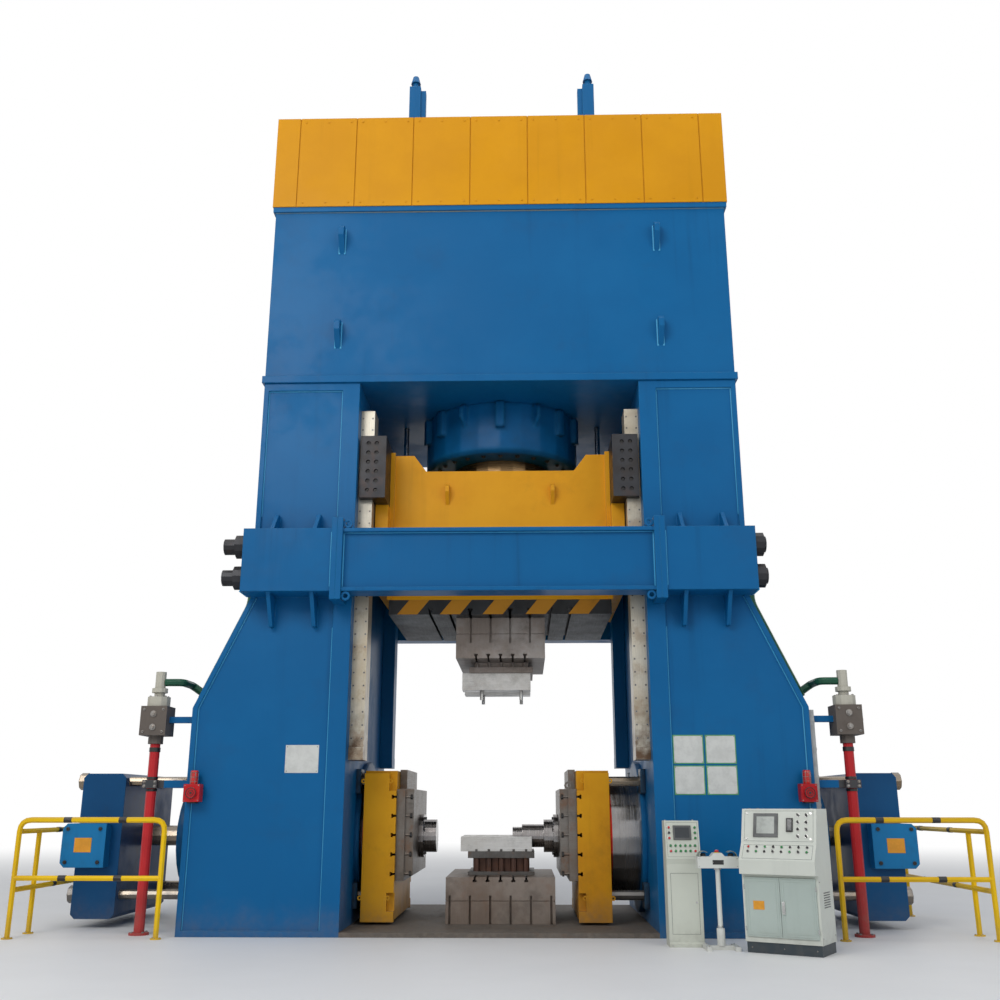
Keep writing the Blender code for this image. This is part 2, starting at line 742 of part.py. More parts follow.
def make_bed():
    """The floor plate between the uprights."""
    half = WINDOW_HALF_WIDTH - CLEARANCE
    bed = block("bed_plate", (-half, half), (-FRAME_HALF_DEPTH, FRAME_HALF_DEPTH),
                (0, BED_THICKNESS))
    finish(bed, "dark")


def upright_outline(side):
    """The upright seen from the front, with its foot spread under the taper."""
    return [(side * across, up) for across, up in (
        (WINDOW_HALF_WIDTH, 0), (FOOT_HALF_WIDTH, 0), (FOOT_HALF_WIDTH, TAPER_BOTTOM),
        (FRAME_HALF_WIDTH, TAPER_TOP), (FRAME_HALF_WIDTH, CROWN_BOTTOM - CLEARANCE),
        (WINDOW_HALF_WIDTH, CROWN_BOTTOM - CLEARANCE))]


def panel_outline(side):
    """The recessed panel on the front of an upright."""
    return [(side * across, up) for across, up in (
        (PANEL_INNER, PANEL_MARGIN), (FOOT_HALF_WIDTH - PANEL_MARGIN, PANEL_MARGIN),
        (FOOT_HALF_WIDTH - PANEL_MARGIN, TAPER_BOTTOM),
        (FRAME_HALF_WIDTH - PANEL_MARGIN, TAPER_TOP),
        (FRAME_HALF_WIDTH - PANEL_MARGIN, PANEL_TOP), (PANEL_INNER, PANEL_TOP))]


def tie_block(side, near):
    """An end block of the tie beams with its joint plate and four gussets."""
    front, wall = near * TIE_FRONT, near * (FRAME_HALF_DEPTH - PANEL_RECESS - WELD)
    body = block("tie_block", mirrored(side, TIE_JOINT + TIE_PLATE - WELD, TIE_BLOCK_END),
                 (front, wall), (TIE_BOTTOM, TIE_TOP))
    face = block("tie_face", mirrored(side, TIE_JOINT, TIE_JOINT + TIE_PLATE),
                 (front + near * TIE_PLATE_PROUD, near * (FRAME_HALF_DEPTH - WELD)),
                 (TIE_BOTTOM - TIE_PLATE_UNDER, TIE_TOP + TIE_PLATE_OVER))
    over = [(wall, TIE_TOP - WELD), (near * (FRAME_HALF_DEPTH + GUSSET_REACH), TIE_TOP - WELD),
            (near * (FRAME_HALF_DEPTH + GUSSET_NOSE), TIE_TOP + GUSSET_OVER),
            (wall, TIE_TOP + GUSSET_OVER)]
    under = [(wall, TIE_BOTTOM + WELD), (near * (FRAME_HALF_DEPTH + GUSSET_REACH), TIE_BOTTOM + WELD),
             (near * (FRAME_HALF_DEPTH + GUSSET_NOSE), TIE_BOTTOM - GUSSET_UNDER),
             (wall, TIE_BOTTOM - GUSSET_UNDER)]
    fins = []
    for x in GUSSET_XS:
        for outline in (over, under):
            fins.append(plate("gusset", outline, side * x - GUSSET_THICKNESS / 2,
                              side * x + GUSSET_THICKNESS / 2, "YZ"))
    weld(body, face, together("gussets", fins))
    bores = [rod("tie_bore", (min(mirrored(side, TIE_JOINT, TIE_BLOCK_END)) - OVERRUN,
                              near * TIE_ROD_DEPTH, level),
                 TIE_BLOCK_END - TIE_JOINT + 2 * OVERRUN, TIE_ROD_RADIUS + RUNNING_FIT, "X")
             for level in TIE_ROD_LEVELS]
    return as_mesh(cut(body, together("tie_bores", bores)))


def pull_rod_places():
    """Where the four pull rods of a side ram pass, as (y, z) pairs."""
    return [(turn * PULL_ROD_Y, RAM_AXIS + rise * PULL_ROD_RISE)
            for turn in (-1, 1) for rise in (-1, 1)]


def make_upright(name, side):
    """One welded upright with the bores of its side cylinder and pull rods."""
    upright = plate(name, upright_outline(side), -FRAME_HALF_DEPTH, FRAME_HALF_DEPTH)
    panels = [plate("panel", panel_outline(side), near * (FRAME_HALF_DEPTH - PANEL_RECESS),
                    near * (FRAME_HALF_DEPTH + OVERRUN)) for near in (-1, 1)]
    start = min(mirrored(side, WINDOW_HALF_WIDTH, FOOT_HALF_WIDTH)) - OVERRUN
    run = FOOT_HALF_WIDTH - WINDOW_HALF_WIDTH + 2 * OVERRUN
    bores = [rod("cylinder_bore", (start, 0, RAM_AXIS), run, SIDE_CYLINDER_RADIUS + CLEARANCE,
                 "X", LARGE_STEPS)]
    bores += [rod("rod_bore", (start, y, z), run, PULL_ROD_RADIUS + 2 * RUNNING_FIT, "X")
              for y, z in pull_rod_places()]
    cut(upright, together("panels", panels), together("bores", bores))
    weld(upright, tie_block(side, -1), tie_block(side, 1))
    if side > 0:
        weld(upright, cable_tray())
    finish(upright, "frame")


def cable_tray():
    """The open cable channel up the outer edge of the right upright."""
    near, far = -TRAY_FRONT, -TRAY_FRONT + TRAY_WIDTH
    tray = block("tray", (FOOT_HALF_WIDTH - WELD, FOOT_HALF_WIDTH + TRAY_DEPTH), (near, far),
                 (0, TRAY_TOP))
    inside = block("tray_inside", (FOOT_HALF_WIDTH + TRAY_WALL, FOOT_HALF_WIDTH + TRAY_DEPTH + OVERRUN),
                   (near + TRAY_WALL, far - TRAY_WALL), (-OVERRUN, TRAY_TOP + OVERRUN))
    return as_mesh(cut(tray, inside))


def make_crown():
    """The crown with its bands, lifting lugs and the bores of the cylinders."""
    wide, deep = FRAME_HALF_WIDTH, FRAME_HALF_DEPTH
    crown = block("crown", (-wide, wide), (-deep, deep), (CROWN_BOTTOM, CROWN_TOP))
    proud = CROWN_BAND_PROUD
    band = block("crown_band", (-wide - proud, wide + proud), (-deep - proud, deep + proud),
                 (CROWN_BOTTOM + CLEARANCE, CROWN_BOTTOM + CROWN_BAND_HEIGHT))
    lip = block("crown_lip", (-wide - proud, wide + proud), (-deep - proud, deep + proud),
                (CROWN_TOP - CROWN_LIP_HEIGHT, CROWN_TOP - CLEARANCE))
    lugs = []
    for level in CROWN_LUG_LEVELS:
        outline = lug_profile(-deep, level, level + CROWN_LUG_HEIGHT, CROWN_LUG_REACH)
        centre = (-deep - CROWN_LUG_REACH / 2, level + CROWN_LUG_HEIGHT - CROWN_LUG_REACH / 2)
        for turn in (1, -1):
            for side in (-1, 1):
                near = side * CROWN_LUG_X - CROWN_LUG_THICKNESS / 2
                far = near + CROWN_LUG_THICKNESS
                lug = plate("crown_lug", [(turn * y, z) for y, z in outline], near, far, "YZ")
                eye = arc((turn * centre[0], centre[1]), CROWN_LUG_HOLE, 0, 360, FINE_STEPS)[:-1]
                cut(lug, plate("lug_hole", eye, near - OVERRUN, far + OVERRUN, "YZ"))
                lugs.append(as_mesh(lug))
    weld(crown, band, lip, together("crown_lugs", lugs))
    low, height = CROWN_BOTTOM - OVERRUN, CROWN_TOP - CROWN_BOTTOM + 2 * OVERRUN
    bores = [rod("main_bore", (0, 0, low), height, CYLINDER_RADIUS + CLEARANCE, "Z", LARGE_STEPS)]
    bores += [rod("return_bore", (side * RETURN_X, 0, low), height,
                  RETURN_ROD_RADIUS + 2 * RUNNING_FIT) for side in (-1, 1)]
    cut(crown, together("crown_bores", bores))
    finish(crown, "frame")


def make_shroud():
    """The open sheet-steel box on the crown, with a seam between its panels."""
    wide, deep = FRAME_HALF_WIDTH + SHROUD_PROUD, FRAME_HALF_DEPTH + SHROUD_PROUD
    low = CROWN_TOP + CLEARANCE
    shroud = block("shroud", (-wide, wide), (-deep, deep), (low, SHROUD_TOP))
    wall = SHROUD_WALL
    inside = block("shroud_inside", (wall - wide, wide - wall), (wall - deep, deep - wall),
                   (low - OVERRUN, SHROUD_TOP + OVERRUN))
    half, seams = SHROUD_SEAM_WIDTH / 2, []
    for index in range(SHROUD_PANELS + 1):
        x = (index - SHROUD_PANELS / 2) * SHROUD_PANEL
        for near in (-1, 1):
            seams.append(block("seam", (x - half, x + half),
                               (near * (deep - SHROUD_SEAM_DEPTH), near * (deep + OVERRUN)),
                               (low - OVERRUN, SHROUD_TOP + OVERRUN)))
    cut(shroud, inside, together("shroud_seams", seams))
    finish(shroud, "shroud")


def make_tie_beam(name, near):
    """The beam between the end blocks, bored for the tie rods."""
    ends = TIE_JOINT - CLEARANCE
    back = near * (FRAME_HALF_DEPTH + TIE_BACK_GAP)
    web_end = ends - TIE_PLATE + WELD
    web = block(name, (-web_end, web_end), (near * TIE_WEB_FRONT, back),
                (TIE_BOTTOM + WELD, TIE_TOP - WELD))
    plates = []
    for low in (TIE_BOTTOM, TIE_TOP - TIE_FLANGE):
        plates.append(block("tie_flange", (-web_end, web_end), (near * TIE_FRONT, back),
                            (low, low + TIE_FLANGE)))
    ends_pair = [block("tie_end", mirrored(side, ends - TIE_PLATE, ends),
                       (near * (TIE_FRONT + TIE_PLATE_PROUD), back),
                       (TIE_BOTTOM - TIE_PLATE_UNDER, TIE_TOP + TIE_PLATE_OVER))
                 for side in (-1, 1)]
    weld(web, together("tie_flanges", plates), together("tie_ends", ends_pair))
    eyes = []
    for side in (-1, 1):
        for level in (TIE_BOTTOM - EYE_RADIUS, TIE_TOP + EYE_RADIUS):
            centre = (side * (ends - TIE_PLATE - EYE_RADIUS + WELD), level)
            middle = near * (TIE_FRONT - EYE_THICKNESS)
            eyes.append(ring_plate("tie_eye", centre, EYE_RADIUS, EYE_HOLE,
                                   middle - EYE_THICKNESS / 2, middle + EYE_THICKNESS / 2, "XZ"))
    weld(web, together("tie_eyes", eyes))
    bores = [rod("tie_beam_bore", (-TIE_JOINT - OVERRUN, near * TIE_ROD_DEPTH, level),
                 2 * (TIE_JOINT + OVERRUN), TIE_ROD_RADIUS + RUNNING_FIT, "X")
             for level in TIE_ROD_LEVELS]
    cut(web, together("tie_beam_bores", bores))
    finish(web, "frame")


def make_tie_rods():
    """Four rods along the beams, with a round nut on each end."""
    for near, place in ((-1, "front"), (1, "rear")):
        for level, height in zip(TIE_ROD_LEVELS, ("lower", "upper")):
            bar = rod(f"{place}_{height}_tie_rod", (-TIE_ROD_LEFT, near * TIE_ROD_DEPTH, level),
                      TIE_ROD_LEFT + TIE_ROD_RIGHT, TIE_ROD_RADIUS, "X")
            face = TIE_BLOCK_END + CLEARANCE
            nuts = [rod("tie_nut", (start, near * TIE_ROD_DEPTH, level), TIE_NUT_LENGTH,
                        TIE_NUT_RADIUS, "X")
                    for start in (face, -face - TIE_NUT_LENGTH)]
            weld(bar, together("tie_nuts", nuts))
            finish(bar, "dark")


def make_guide_rails():
    """Four ground rails in the window, each with two columns of screws."""
    for side, hand in ((-1, "left"), (1, "right")):
        for near, place in ((-1, "front"), (1, "rear")):
            face = near * RAIL_FRONT
            rail = block(f"{place}_{hand}_rail",
                         mirrored(side, RAIL_INNER, WINDOW_HALF_WIDTH - CLEARANCE),
                         (face, near * RAIL_BACK), (RAIL_BOTTOM, RAIL_TOP))
            foot = block("rail_foot", mirrored(side, RAIL_INNER, WINDOW_HALF_WIDTH - CLEARANCE),
                         (face + near * RAIL_FOOT_PROUD, near * RAIL_BACK),
                         (RAIL_BOTTOM, RAIL_BOTTOM + RAIL_FOOT_HEIGHT))
            weld(rail, foot)
            finish(rail, "steel")


def turn_about_axis(piece, angle):
    """Turn a piece that was made at the front about the press's axis."""
    piece.data.transform(Matrix.Rotation(math.radians(angle), 4, "Z"))
    return piece


def make_main_cylinder():
    """The main cylinder: ring below the crown, barrel through it, fill valve on top."""
    bore = PLUNGER_RADIUS + PLUNGER_FIT
    profile = [(0, FILL_VALVE_TOP), (FILL_VALVE_RADIUS, FILL_VALVE_TOP),
               (FILL_VALVE_RADIUS, CYLINDER_TOP), (CYLINDER_RADIUS, CYLINDER_TOP),
               (CYLINDER_RADIUS, CROWN_BOTTOM - CLEARANCE), (RING_RADIUS, CROWN_BOTTOM - CLEARANCE),
               (RING_RADIUS, RING_BOTTOM + RING_EDGE), (RING_RADIUS - RING_EDGE, RING_BOTTOM),
               (bore, RING_BOTTOM), (bore, CYLINDER_BORE_TOP), (0, CYLINDER_BORE_TOP)]
    cylinder = turned("main_cylinder", profile, (0, 0, 0))
    top = CROWN_BOTTOM - OVERRUN
    extras = []
    for angle in RING_BLOCK_ANGLES:
        for side in (-1, 1):
            half = RING_BLOCK_SIZE / 2
            brick = block("ring_block", (-half, half),
                          (-RING_RADIUS - RING_BLOCK_PROUD, -RING_RADIUS + RING_EDGE),
                          (top - RING_KEY_HEIGHT, top))
            extras.append(turn_about_axis(brick, side * angle))
    for angle in (-RING_LUG_ANGLE, RING_LUG_ANGLE, 180 - RING_LUG_ANGLE, 180 + RING_LUG_ANGLE):
        outline = lug_profile(-RING_RADIUS + RING_EDGE, top - RING_LUG_HEIGHT, top,
                              RING_LUG_REACH + RING_EDGE)
        lug = plate("ring_lug", outline, -RING_LUG_THICKNESS / 2, RING_LUG_THICKNESS / 2, "YZ")
        extras.append(turn_about_axis(lug, angle))
    half = RING_KEY_WIDTH / 2
    for angle in (0, 180):
        key = block("ring_key", (-half, half),
                    (-RING_RADIUS - RING_KEY_PROUD, -RING_RADIUS + RING_EDGE),
                    (top - RING_KEY_HEIGHT, top))
        extras.append(turn_about_axis(key, angle))
    weld(cylinder, together("ring_extras", extras))
    finish(cylinder, "frame")


def make_return_cylinders():
    """The two slim return cylinders that stand on the crown, with their heads above the shroud."""
    for side, hand in ((-1, "left"), (1, "right")):
        x = side * RETURN_X
        low = CROWN_TOP + CLEARANCE
        half = RETURN_FLANGE_HALF
        base = block(f"{hand}_return_cylinder", (x - half, x + half), (-half, half),
                     (low, low + RETURN_FLANGE_HEIGHT))
        barrel = rod("barrel", (x, 0, low + WELD), RETURN_HEAD_BOTTOM - low, RETURN_TUBE_RADIUS)
        half = RETURN_HEAD_HALF
        head = block("head", (x - half, x + half), (-half, half),
                     (RETURN_HEAD_BOTTOM, RETURN_HEAD_TOP))
        half = RETURN_HEAD_FLANGE
        flange = block("head_flange", (x - half, x + half), (-half, half),
                       (RETURN_HEAD_BOTTOM - RETURN_HEAD_FLANGE_HEIGHT, RETURN_HEAD_BOTTOM + WELD))
        neck = rod("neck", (x, 0, RETURN_HEAD_TOP - WELD), RETURN_NECK_HEIGHT, RETURN_NECK_RADIUS)
        top = RETURN_HEAD_TOP + RETURN_NECK_HEIGHT - 2 * WELD
        cap = rod("cap", (x, 0, top), RETURN_CAP_HEIGHT, RETURN_CAP_RADIUS,
                  end_radius=RETURN_NECK_RADIUS)
        inner = x - side * (RETURN_HEAD_HALF - WELD)
        half = RETURN_BRACKET_HALF
        bracket = block("bracket", (inner, inner - side * RETURN_BRACKET_REACH / 2), (-half, half),
                        (RETURN_HEAD_BOTTOM + RETURN_HEAD_FLANGE_HEIGHT,
                         RETURN_HEAD_TOP - RETURN_HEAD_FLANGE_HEIGHT))
        weld(base, barrel, flange, head, neck, cap, bracket)
        cut(base, rod("return_bore", (x, 0, low - OVERRUN), RETURN_BORE_TOP - low,
                      RETURN_ROD_RADIUS + RUNNING_FIT))
        finish(base, "frame")


def t_slots(count, pitch, face, up, half_depth, neck, head, neck_depth, head_depth):
    """Inverted T slots that run front to back from a level face, as one tool."""
    slots = []
    for index in range(count):
        x = (index - (count - 1) / 2) * pitch
        outline = [(x - neck / 2, face - up * OVERRUN), (x + neck / 2, face - up * OVERRUN),
                   (x + neck / 2, face + up * neck_depth), (x + head / 2, face + up * neck_depth),
                   (x + head / 2, face + up * (neck_depth + head_depth)),
                   (x - head / 2, face + up * (neck_depth + head_depth)),
                   (x - head / 2, face + up * neck_depth), (x - neck / 2, face + up * neck_depth)]
        slots.append(plate("t_slot", outline, -half_depth - OVERRUN, half_depth + OVERRUN))
    return together("t_slots", slots)


def horn_outline():
    """The slide's front plate, with its two raised horns."""
    right = [(SLIDE_HALF_WIDTH, SLIDE_BOTTOM), (SLIDE_HALF_WIDTH, HORN_TOP), (HORN_INNER, HORN_TOP),
             (HORN_FOOT, SLIDE_TOP)]
    return right + [(-across, up) for across, up in reversed(right)]


def make_slide(parent):
    """The slide: horned box, guide wings, edge strips and two lifting lugs."""
    slide = plate("slide", horn_outline(), -SLIDE_FRONT, SLIDE_BACK)
    well = block("slide_well", (-SLIDE_HALF_WIDTH - OVERRUN, SLIDE_HALF_WIDTH + OVERRUN),
                 (HORN_WALL - SLIDE_FRONT, SLIDE_BACK - HORN_WALL),
                 (SLIDE_TOP, HORN_TOP + OVERRUN))
    cut(slide, well)
    wing = block("slide_wings", (-WING_HALF_WIDTH, WING_HALF_WIDTH), (-WING_HALF_DEPTH, WING_HALF_DEPTH),
                 (WING_BOTTOM, WING_TOP))
    middle = block("wing_middle", (WELD - SLIDE_HALF_WIDTH, SLIDE_HALF_WIDTH - WELD),
                   (-WING_HALF_DEPTH - OVERRUN, WING_HALF_DEPTH + OVERRUN),
                   (WING_BOTTOM - OVERRUN, WING_TOP + OVERRUN))
    wings = as_mesh(cut(wing, middle))
    edge = SLIDE_HALF_WIDTH - SLIDE_STRIP_WIDTH
    strips = [block("slide_strip", mirrored(side, edge, SLIDE_HALF_WIDTH + CLEARANCE),
                    (-SLIDE_FRONT - SLIDE_STRIP_PROUD, WELD - SLIDE_FRONT),
                    (SLIDE_BOTTOM + CLEARANCE, HORN_TOP + SLIDE_STRIP_OVER))
              for side in (-1, 1)]
    foot = SLIDE_LUG_LEVEL
    outline = lug_profile(-SLIDE_FRONT, foot, foot + SLIDE_LUG_HEIGHT, SLIDE_LUG_REACH)
    lugs = [plate("slide_lug", outline, side * SLIDE_LUG_X - SLIDE_LUG_THICKNESS / 2,
                  side * SLIDE_LUG_X + SLIDE_LUG_THICKNESS / 2, "YZ") for side in (-1, 1)]
    weld(slide, wings, together("slide_strips", strips), together("slide_lugs", lugs))
    finish(slide, "yellow", parent)


def make_slide_plate(parent):
    """The ground plate under the slide, with its T slots."""
    half = SLIDE_HALF_WIDTH - PLATE_PROUD
    base = block("slide_plate", (-half, half), (-SLIDE_FRONT, SLIDE_BACK),
                 (PLATE_BOTTOM, SLIDE_BOTTOM - CLEARANCE))
    cut(base, t_slots(TSLOT_COUNT, TSLOT_PITCH, PLATE_BOTTOM, 1, SLIDE_FRONT, TSLOT_NECK, TSLOT_HEAD,
                      TSLOT_NECK_DEPTH, TSLOT_HEAD_DEPTH))
    finish(base, "dark", parent)


def make_main_plunger(parent):
    """The plunger that stands on the slide."""
    foot = SLIDE_TOP + CLEARANCE
    profile = [(0, PLUNGER_TOP), (PLUNGER_RADIUS, PLUNGER_TOP),
               (PLUNGER_RADIUS, foot + PLUNGER_FOOT_HEIGHT),
               (PLUNGER_FOOT_RADIUS, foot + PLUNGER_FOOT_HEIGHT), (PLUNGER_FOOT_RADIUS, foot), (0, foot)]
    finish(turned("main_plunger", profile, (0, 0, 0)), "bronze", parent)


def make_guide_shoes(parent):
    """A shoe on each side of the slide that reaches around the front and rear rails."""
    for side, hand in ((-1, "left"), (1, "right")):
        low = WING_TOP + CLEARANCE
        inner = RAIL_INNER - PLUNGER_FIT
        shoe = block(f"{hand}_guide_shoe", mirrored(side, SLIDE_HALF_WIDTH + 2 * CLEARANCE, inner),
                     (-SHOE_FRONT, SHOE_FRONT), (low, SHOE_TOP))
        claws = [block("shoe_claw", mirrored(side, inner - WELD, SHOE_OUTER),
                       (near * SHOE_FRONT, near * (RAIL_FRONT + RUNNING_FIT)), (low, SHOE_TOP))
                 for near in (-1, 1)]
        weld(shoe, together("shoe_claws", claws))
        start = (SHOE_TOP + low - (SHOE_HOLE_ROWS - 1) * SHOE_HOLE_PITCH) / 2
        holes = [rod("shoe_hole", (side * x, -SHOE_FRONT - OVERRUN, start + row * SHOE_HOLE_PITCH),
                     SHOE_HOLE_DEPTH + OVERRUN, SHOE_HOLE_RADIUS, "Y", FINE_STEPS)
                 for x in SHOE_HOLE_XS for row in range(SHOE_HOLE_ROWS)]
        cut(shoe, together("shoe_holes", holes))
        finish(shoe, "dark", parent)


def make_return_rods(parent):
    """The bright rods from the slide up into the return cylinders."""
    for side, hand in ((-1, "left"), (1, "right")):
        low = SLIDE_TOP + CLEARANCE
        bar = rod(f"{hand}_return_rod", (side * RETURN_X, 0, low), RETURN_ROD_TOP - low,
                  RETURN_ROD_RADIUS)
        finish(bar, "chrome", parent)


def slot_grooves(count, pitch, half, low, high):
    """Clamp grooves in the front and rear faces of a tool block, as one tool."""
    grooves = []
    for index in range(count):
        x = (index - (count - 1) / 2) * pitch
        for near in (-1, 1):
            grooves.append(block("groove", (x - half, x + half),
                                 (near * (TOOL_HALF_DEPTH - BLOCK_SLOT_DEPTH),
                                  near * (TOOL_HALF_DEPTH + OVERRUN)), (low, high)))
    return together("grooves", grooves)


def split_line(width, level):
    """The line around a tool block where its two layers meet, as one tool."""
    band = block("split_band", (-width - OVERRUN, width + OVERRUN),
                 (-TOOL_HALF_DEPTH - OVERRUN, TOOL_HALF_DEPTH + OVERRUN),
                 (level - SPLIT_GROOVE / 2, level + SPLIT_GROOVE / 2))
    core = block("split_core", (SPLIT_GROOVE - width, width - SPLIT_GROOVE),
                 (SPLIT_GROOVE - TOOL_HALF_DEPTH, TOOL_HALF_DEPTH - SPLIT_GROOVE),
                 (level - SPLIT_GROOVE, level + SPLIT_GROOVE))
    return as_mesh(cut(band, core))


def t_bolts(low, high, face, radius=TBOLT_RADIUS):
    """Upright clamping bolts on both faces of a die holder, as one tool."""
    bolts = []
    for index in range(TBOLT_COUNT):
        x = (index - (TBOLT_COUNT - 1) / 2) * TBOLT_PITCH
        for near in (-1, 1):
            bolts.append(rod("t_bolt", (x, near * face, low), high - low, radius, "Z", FINE_STEPS))
    return together("t_bolts", bolts)


def make_upper_tooling(parent):
    """The spacer block, die holder and upper die under the slide."""
    half = UPPER_BLOCK_HALF
    top = PLATE_BOTTOM - CLEARANCE
    holder = block("upper_die_holder", (-half, half), (-TOOL_HALF_DEPTH, TOOL_HALF_DEPTH),
                   (UPPER_BLOCK_BOTTOM, top))
    cut(holder, split_line(half, UPPER_BLOCK_SPLIT),
        slot_grooves(UPPER_SLOT_COUNT, TSLOT_PITCH, BLOCK_SLOT_WIDTH / 2, UPPER_SLOT_END,
                     top + OVERRUN),
        t_slots(TBOLT_COUNT, TBOLT_PITCH, UPPER_BLOCK_BOTTOM, 1, TOOL_HALF_DEPTH, SMALL_TSLOT_NECK,
                SMALL_TSLOT_HEAD, SMALL_TSLOT_NECK_DEPTH, SMALL_TSLOT_HEAD_DEPTH))
    inset = HOLDER_HALF - CLAMP_CORE_INSET
    spacer = block("upper_spacer", (-inset, inset),
                   (CLAMP_CORE_INSET - HOLDER_HALF_DEPTH, HOLDER_HALF_DEPTH - CLAMP_CORE_INSET),
                   (UPPER_SPACER_BOTTOM - WELD, UPPER_BLOCK_BOTTOM + WELD))
    base = block("upper_base", (-HOLDER_HALF, HOLDER_HALF), (-HOLDER_HALF_DEPTH, HOLDER_HALF_DEPTH),
                 (UPPER_HOLDER_BOTTOM, UPPER_SPACER_BOTTOM))
    bolts = t_bolts(UPPER_HOLDER_BOTTOM + WELD, UPPER_BLOCK_BOTTOM + WELD,
                    HOLDER_HALF_DEPTH - TBOLT_RADIUS - WELD, TBOLT_NUT_RADIUS / 2)
    weld(holder, spacer, base, bolts)
    finish(holder, "bolster", parent)
    left, right = DIE_SHIFT - DIE_HALF, DIE_SHIFT + DIE_HALF
    die = block("upper_die", (left, right), (-DIE_HALF_DEPTH, DIE_HALF_DEPTH),
                (UPPER_DIE_BOTTOM, UPPER_HOLDER_BOTTOM - CLEARANCE))
    pins = [rod("guide_pin", (x, y, UPPER_DIE_BOTTOM - GUIDE_PIN_LENGTH), GUIDE_PIN_LENGTH + WELD,
                GUIDE_PIN_RADIUS, "Z", FINE_STEPS)
            for x in (-GUIDE_PIN_X, GUIDE_PIN_X) for y in (-GUIDE_PIN_Y, GUIDE_PIN_Y)]
    cut(die, rod("upper_groove", (left - OVERRUN, 0, UPPER_DIE_BOTTOM), 2 * (DIE_HALF + OVERRUN),
                 DIE_GROOVE_RADIUS, "X", LARGE_STEPS))
    weld(die, together("guide_pins", pins))
    finish(die, "steel", parent)


def make_lower_tooling():
    """The bolster on the bed, the lower die holder with its clamp columns, and the lower die."""
    half, low = BOLSTER_HALF, BED_THICKNESS + CLEARANCE
    bolster = block("bolster", (-half, half), (-TOOL_HALF_DEPTH, TOOL_HALF_DEPTH), (low, BOLSTER_TOP))
    cut(bolster, split_line(half, BOLSTER_SPLIT),
        slot_grooves(BOLSTER_SLOT_COUNT, BOLSTER_SLOT_PITCH, BLOCK_SLOT_WIDTH / 2, low - OVERRUN,
                     BOLSTER_SLOT_TOP),
        t_slots(TBOLT_COUNT, TBOLT_PITCH, BOLSTER_TOP, -1, TOOL_HALF_DEPTH, SMALL_TSLOT_NECK,
                SMALL_TSLOT_HEAD, SMALL_TSLOT_NECK_DEPTH, SMALL_TSLOT_HEAD_DEPTH))
    finish(bolster, "bolster")
    wide, deep = HOLDER_HALF, HOLDER_HALF_DEPTH
    foot = block("lower_die_holder", (-wide, wide), (-deep, deep),
                 (BOLSTER_TOP + CLEARANCE, LOWER_PLATE_TOP))
    core = block("lower_core", (CLAMP_CORE_INSET - wide, wide - CLAMP_CORE_INSET),
                 (2 * CLAMP_CORE_INSET - deep, deep - 2 * CLAMP_CORE_INSET),
                 (LOWER_PLATE_TOP - WELD, LOWER_HOLDER_BOTTOM + WELD))
    head = block("lower_head", (-wide, wide), (-deep, deep), (LOWER_HOLDER_BOTTOM, LOWER_HOLDER_TOP))
    columns = t_bolts(LOWER_PLATE_TOP - WELD, LOWER_HOLDER_BOTTOM + WELD,
                      deep - CLAMP_COLUMN_RADIUS - TBOLT_PROUD, CLAMP_COLUMN_RADIUS)
    nuts = t_bolts(LOWER_HOLDER_TOP - WELD, LOWER_HOLDER_TOP + TBOLT_NUT_LENGTH,
                   deep - TBOLT_NUT_RADIUS + WELD, TBOLT_RADIUS)
    weld(foot, core, head, columns)
    nuts = as_mesh(nuts)
    room = block("die_room", (DIE_SHIFT - DIE_HALF - OVERRUN, DIE_SHIFT + DIE_HALF + OVERRUN),
                 (-DIE_HALF_DEPTH - CLEARANCE, DIE_HALF_DEPTH + CLEARANCE),
                 (LOWER_HOLDER_TOP, LOWER_DIE_TOP))
    weld(foot, as_mesh(cut(nuts, room)))
    finish(foot, "bolster")
    left, right = DIE_SHIFT - DIE_HALF, DIE_SHIFT + DIE_HALF
    die = block("lower_die", (left, right), (-DIE_HALF_DEPTH, DIE_HALF_DEPTH),
                (LOWER_HOLDER_TOP + CLEARANCE, LOWER_DIE_TOP))
    groove = rod("lower_groove", (left - OVERRUN, 0, RAM_AXIS), 2 * (DIE_HALF + OVERRUN),
                 DIE_GROOVE_RADIUS, "X", LARGE_STEPS)
    sockets = [rod("pin_socket", (x, y, LOWER_DIE_TOP - GUIDE_PIN_SOCKET), GUIDE_PIN_SOCKET + OVERRUN,
                   GUIDE_PIN_RADIUS + RUNNING_FIT, "Z", FINE_STEPS)
               for x in (-GUIDE_PIN_X, GUIDE_PIN_X) for y in (-GUIDE_PIN_Y, GUIDE_PIN_Y)]
    cut(die, groove, together("pin_sockets", sockets))
    finish(die, "steel")


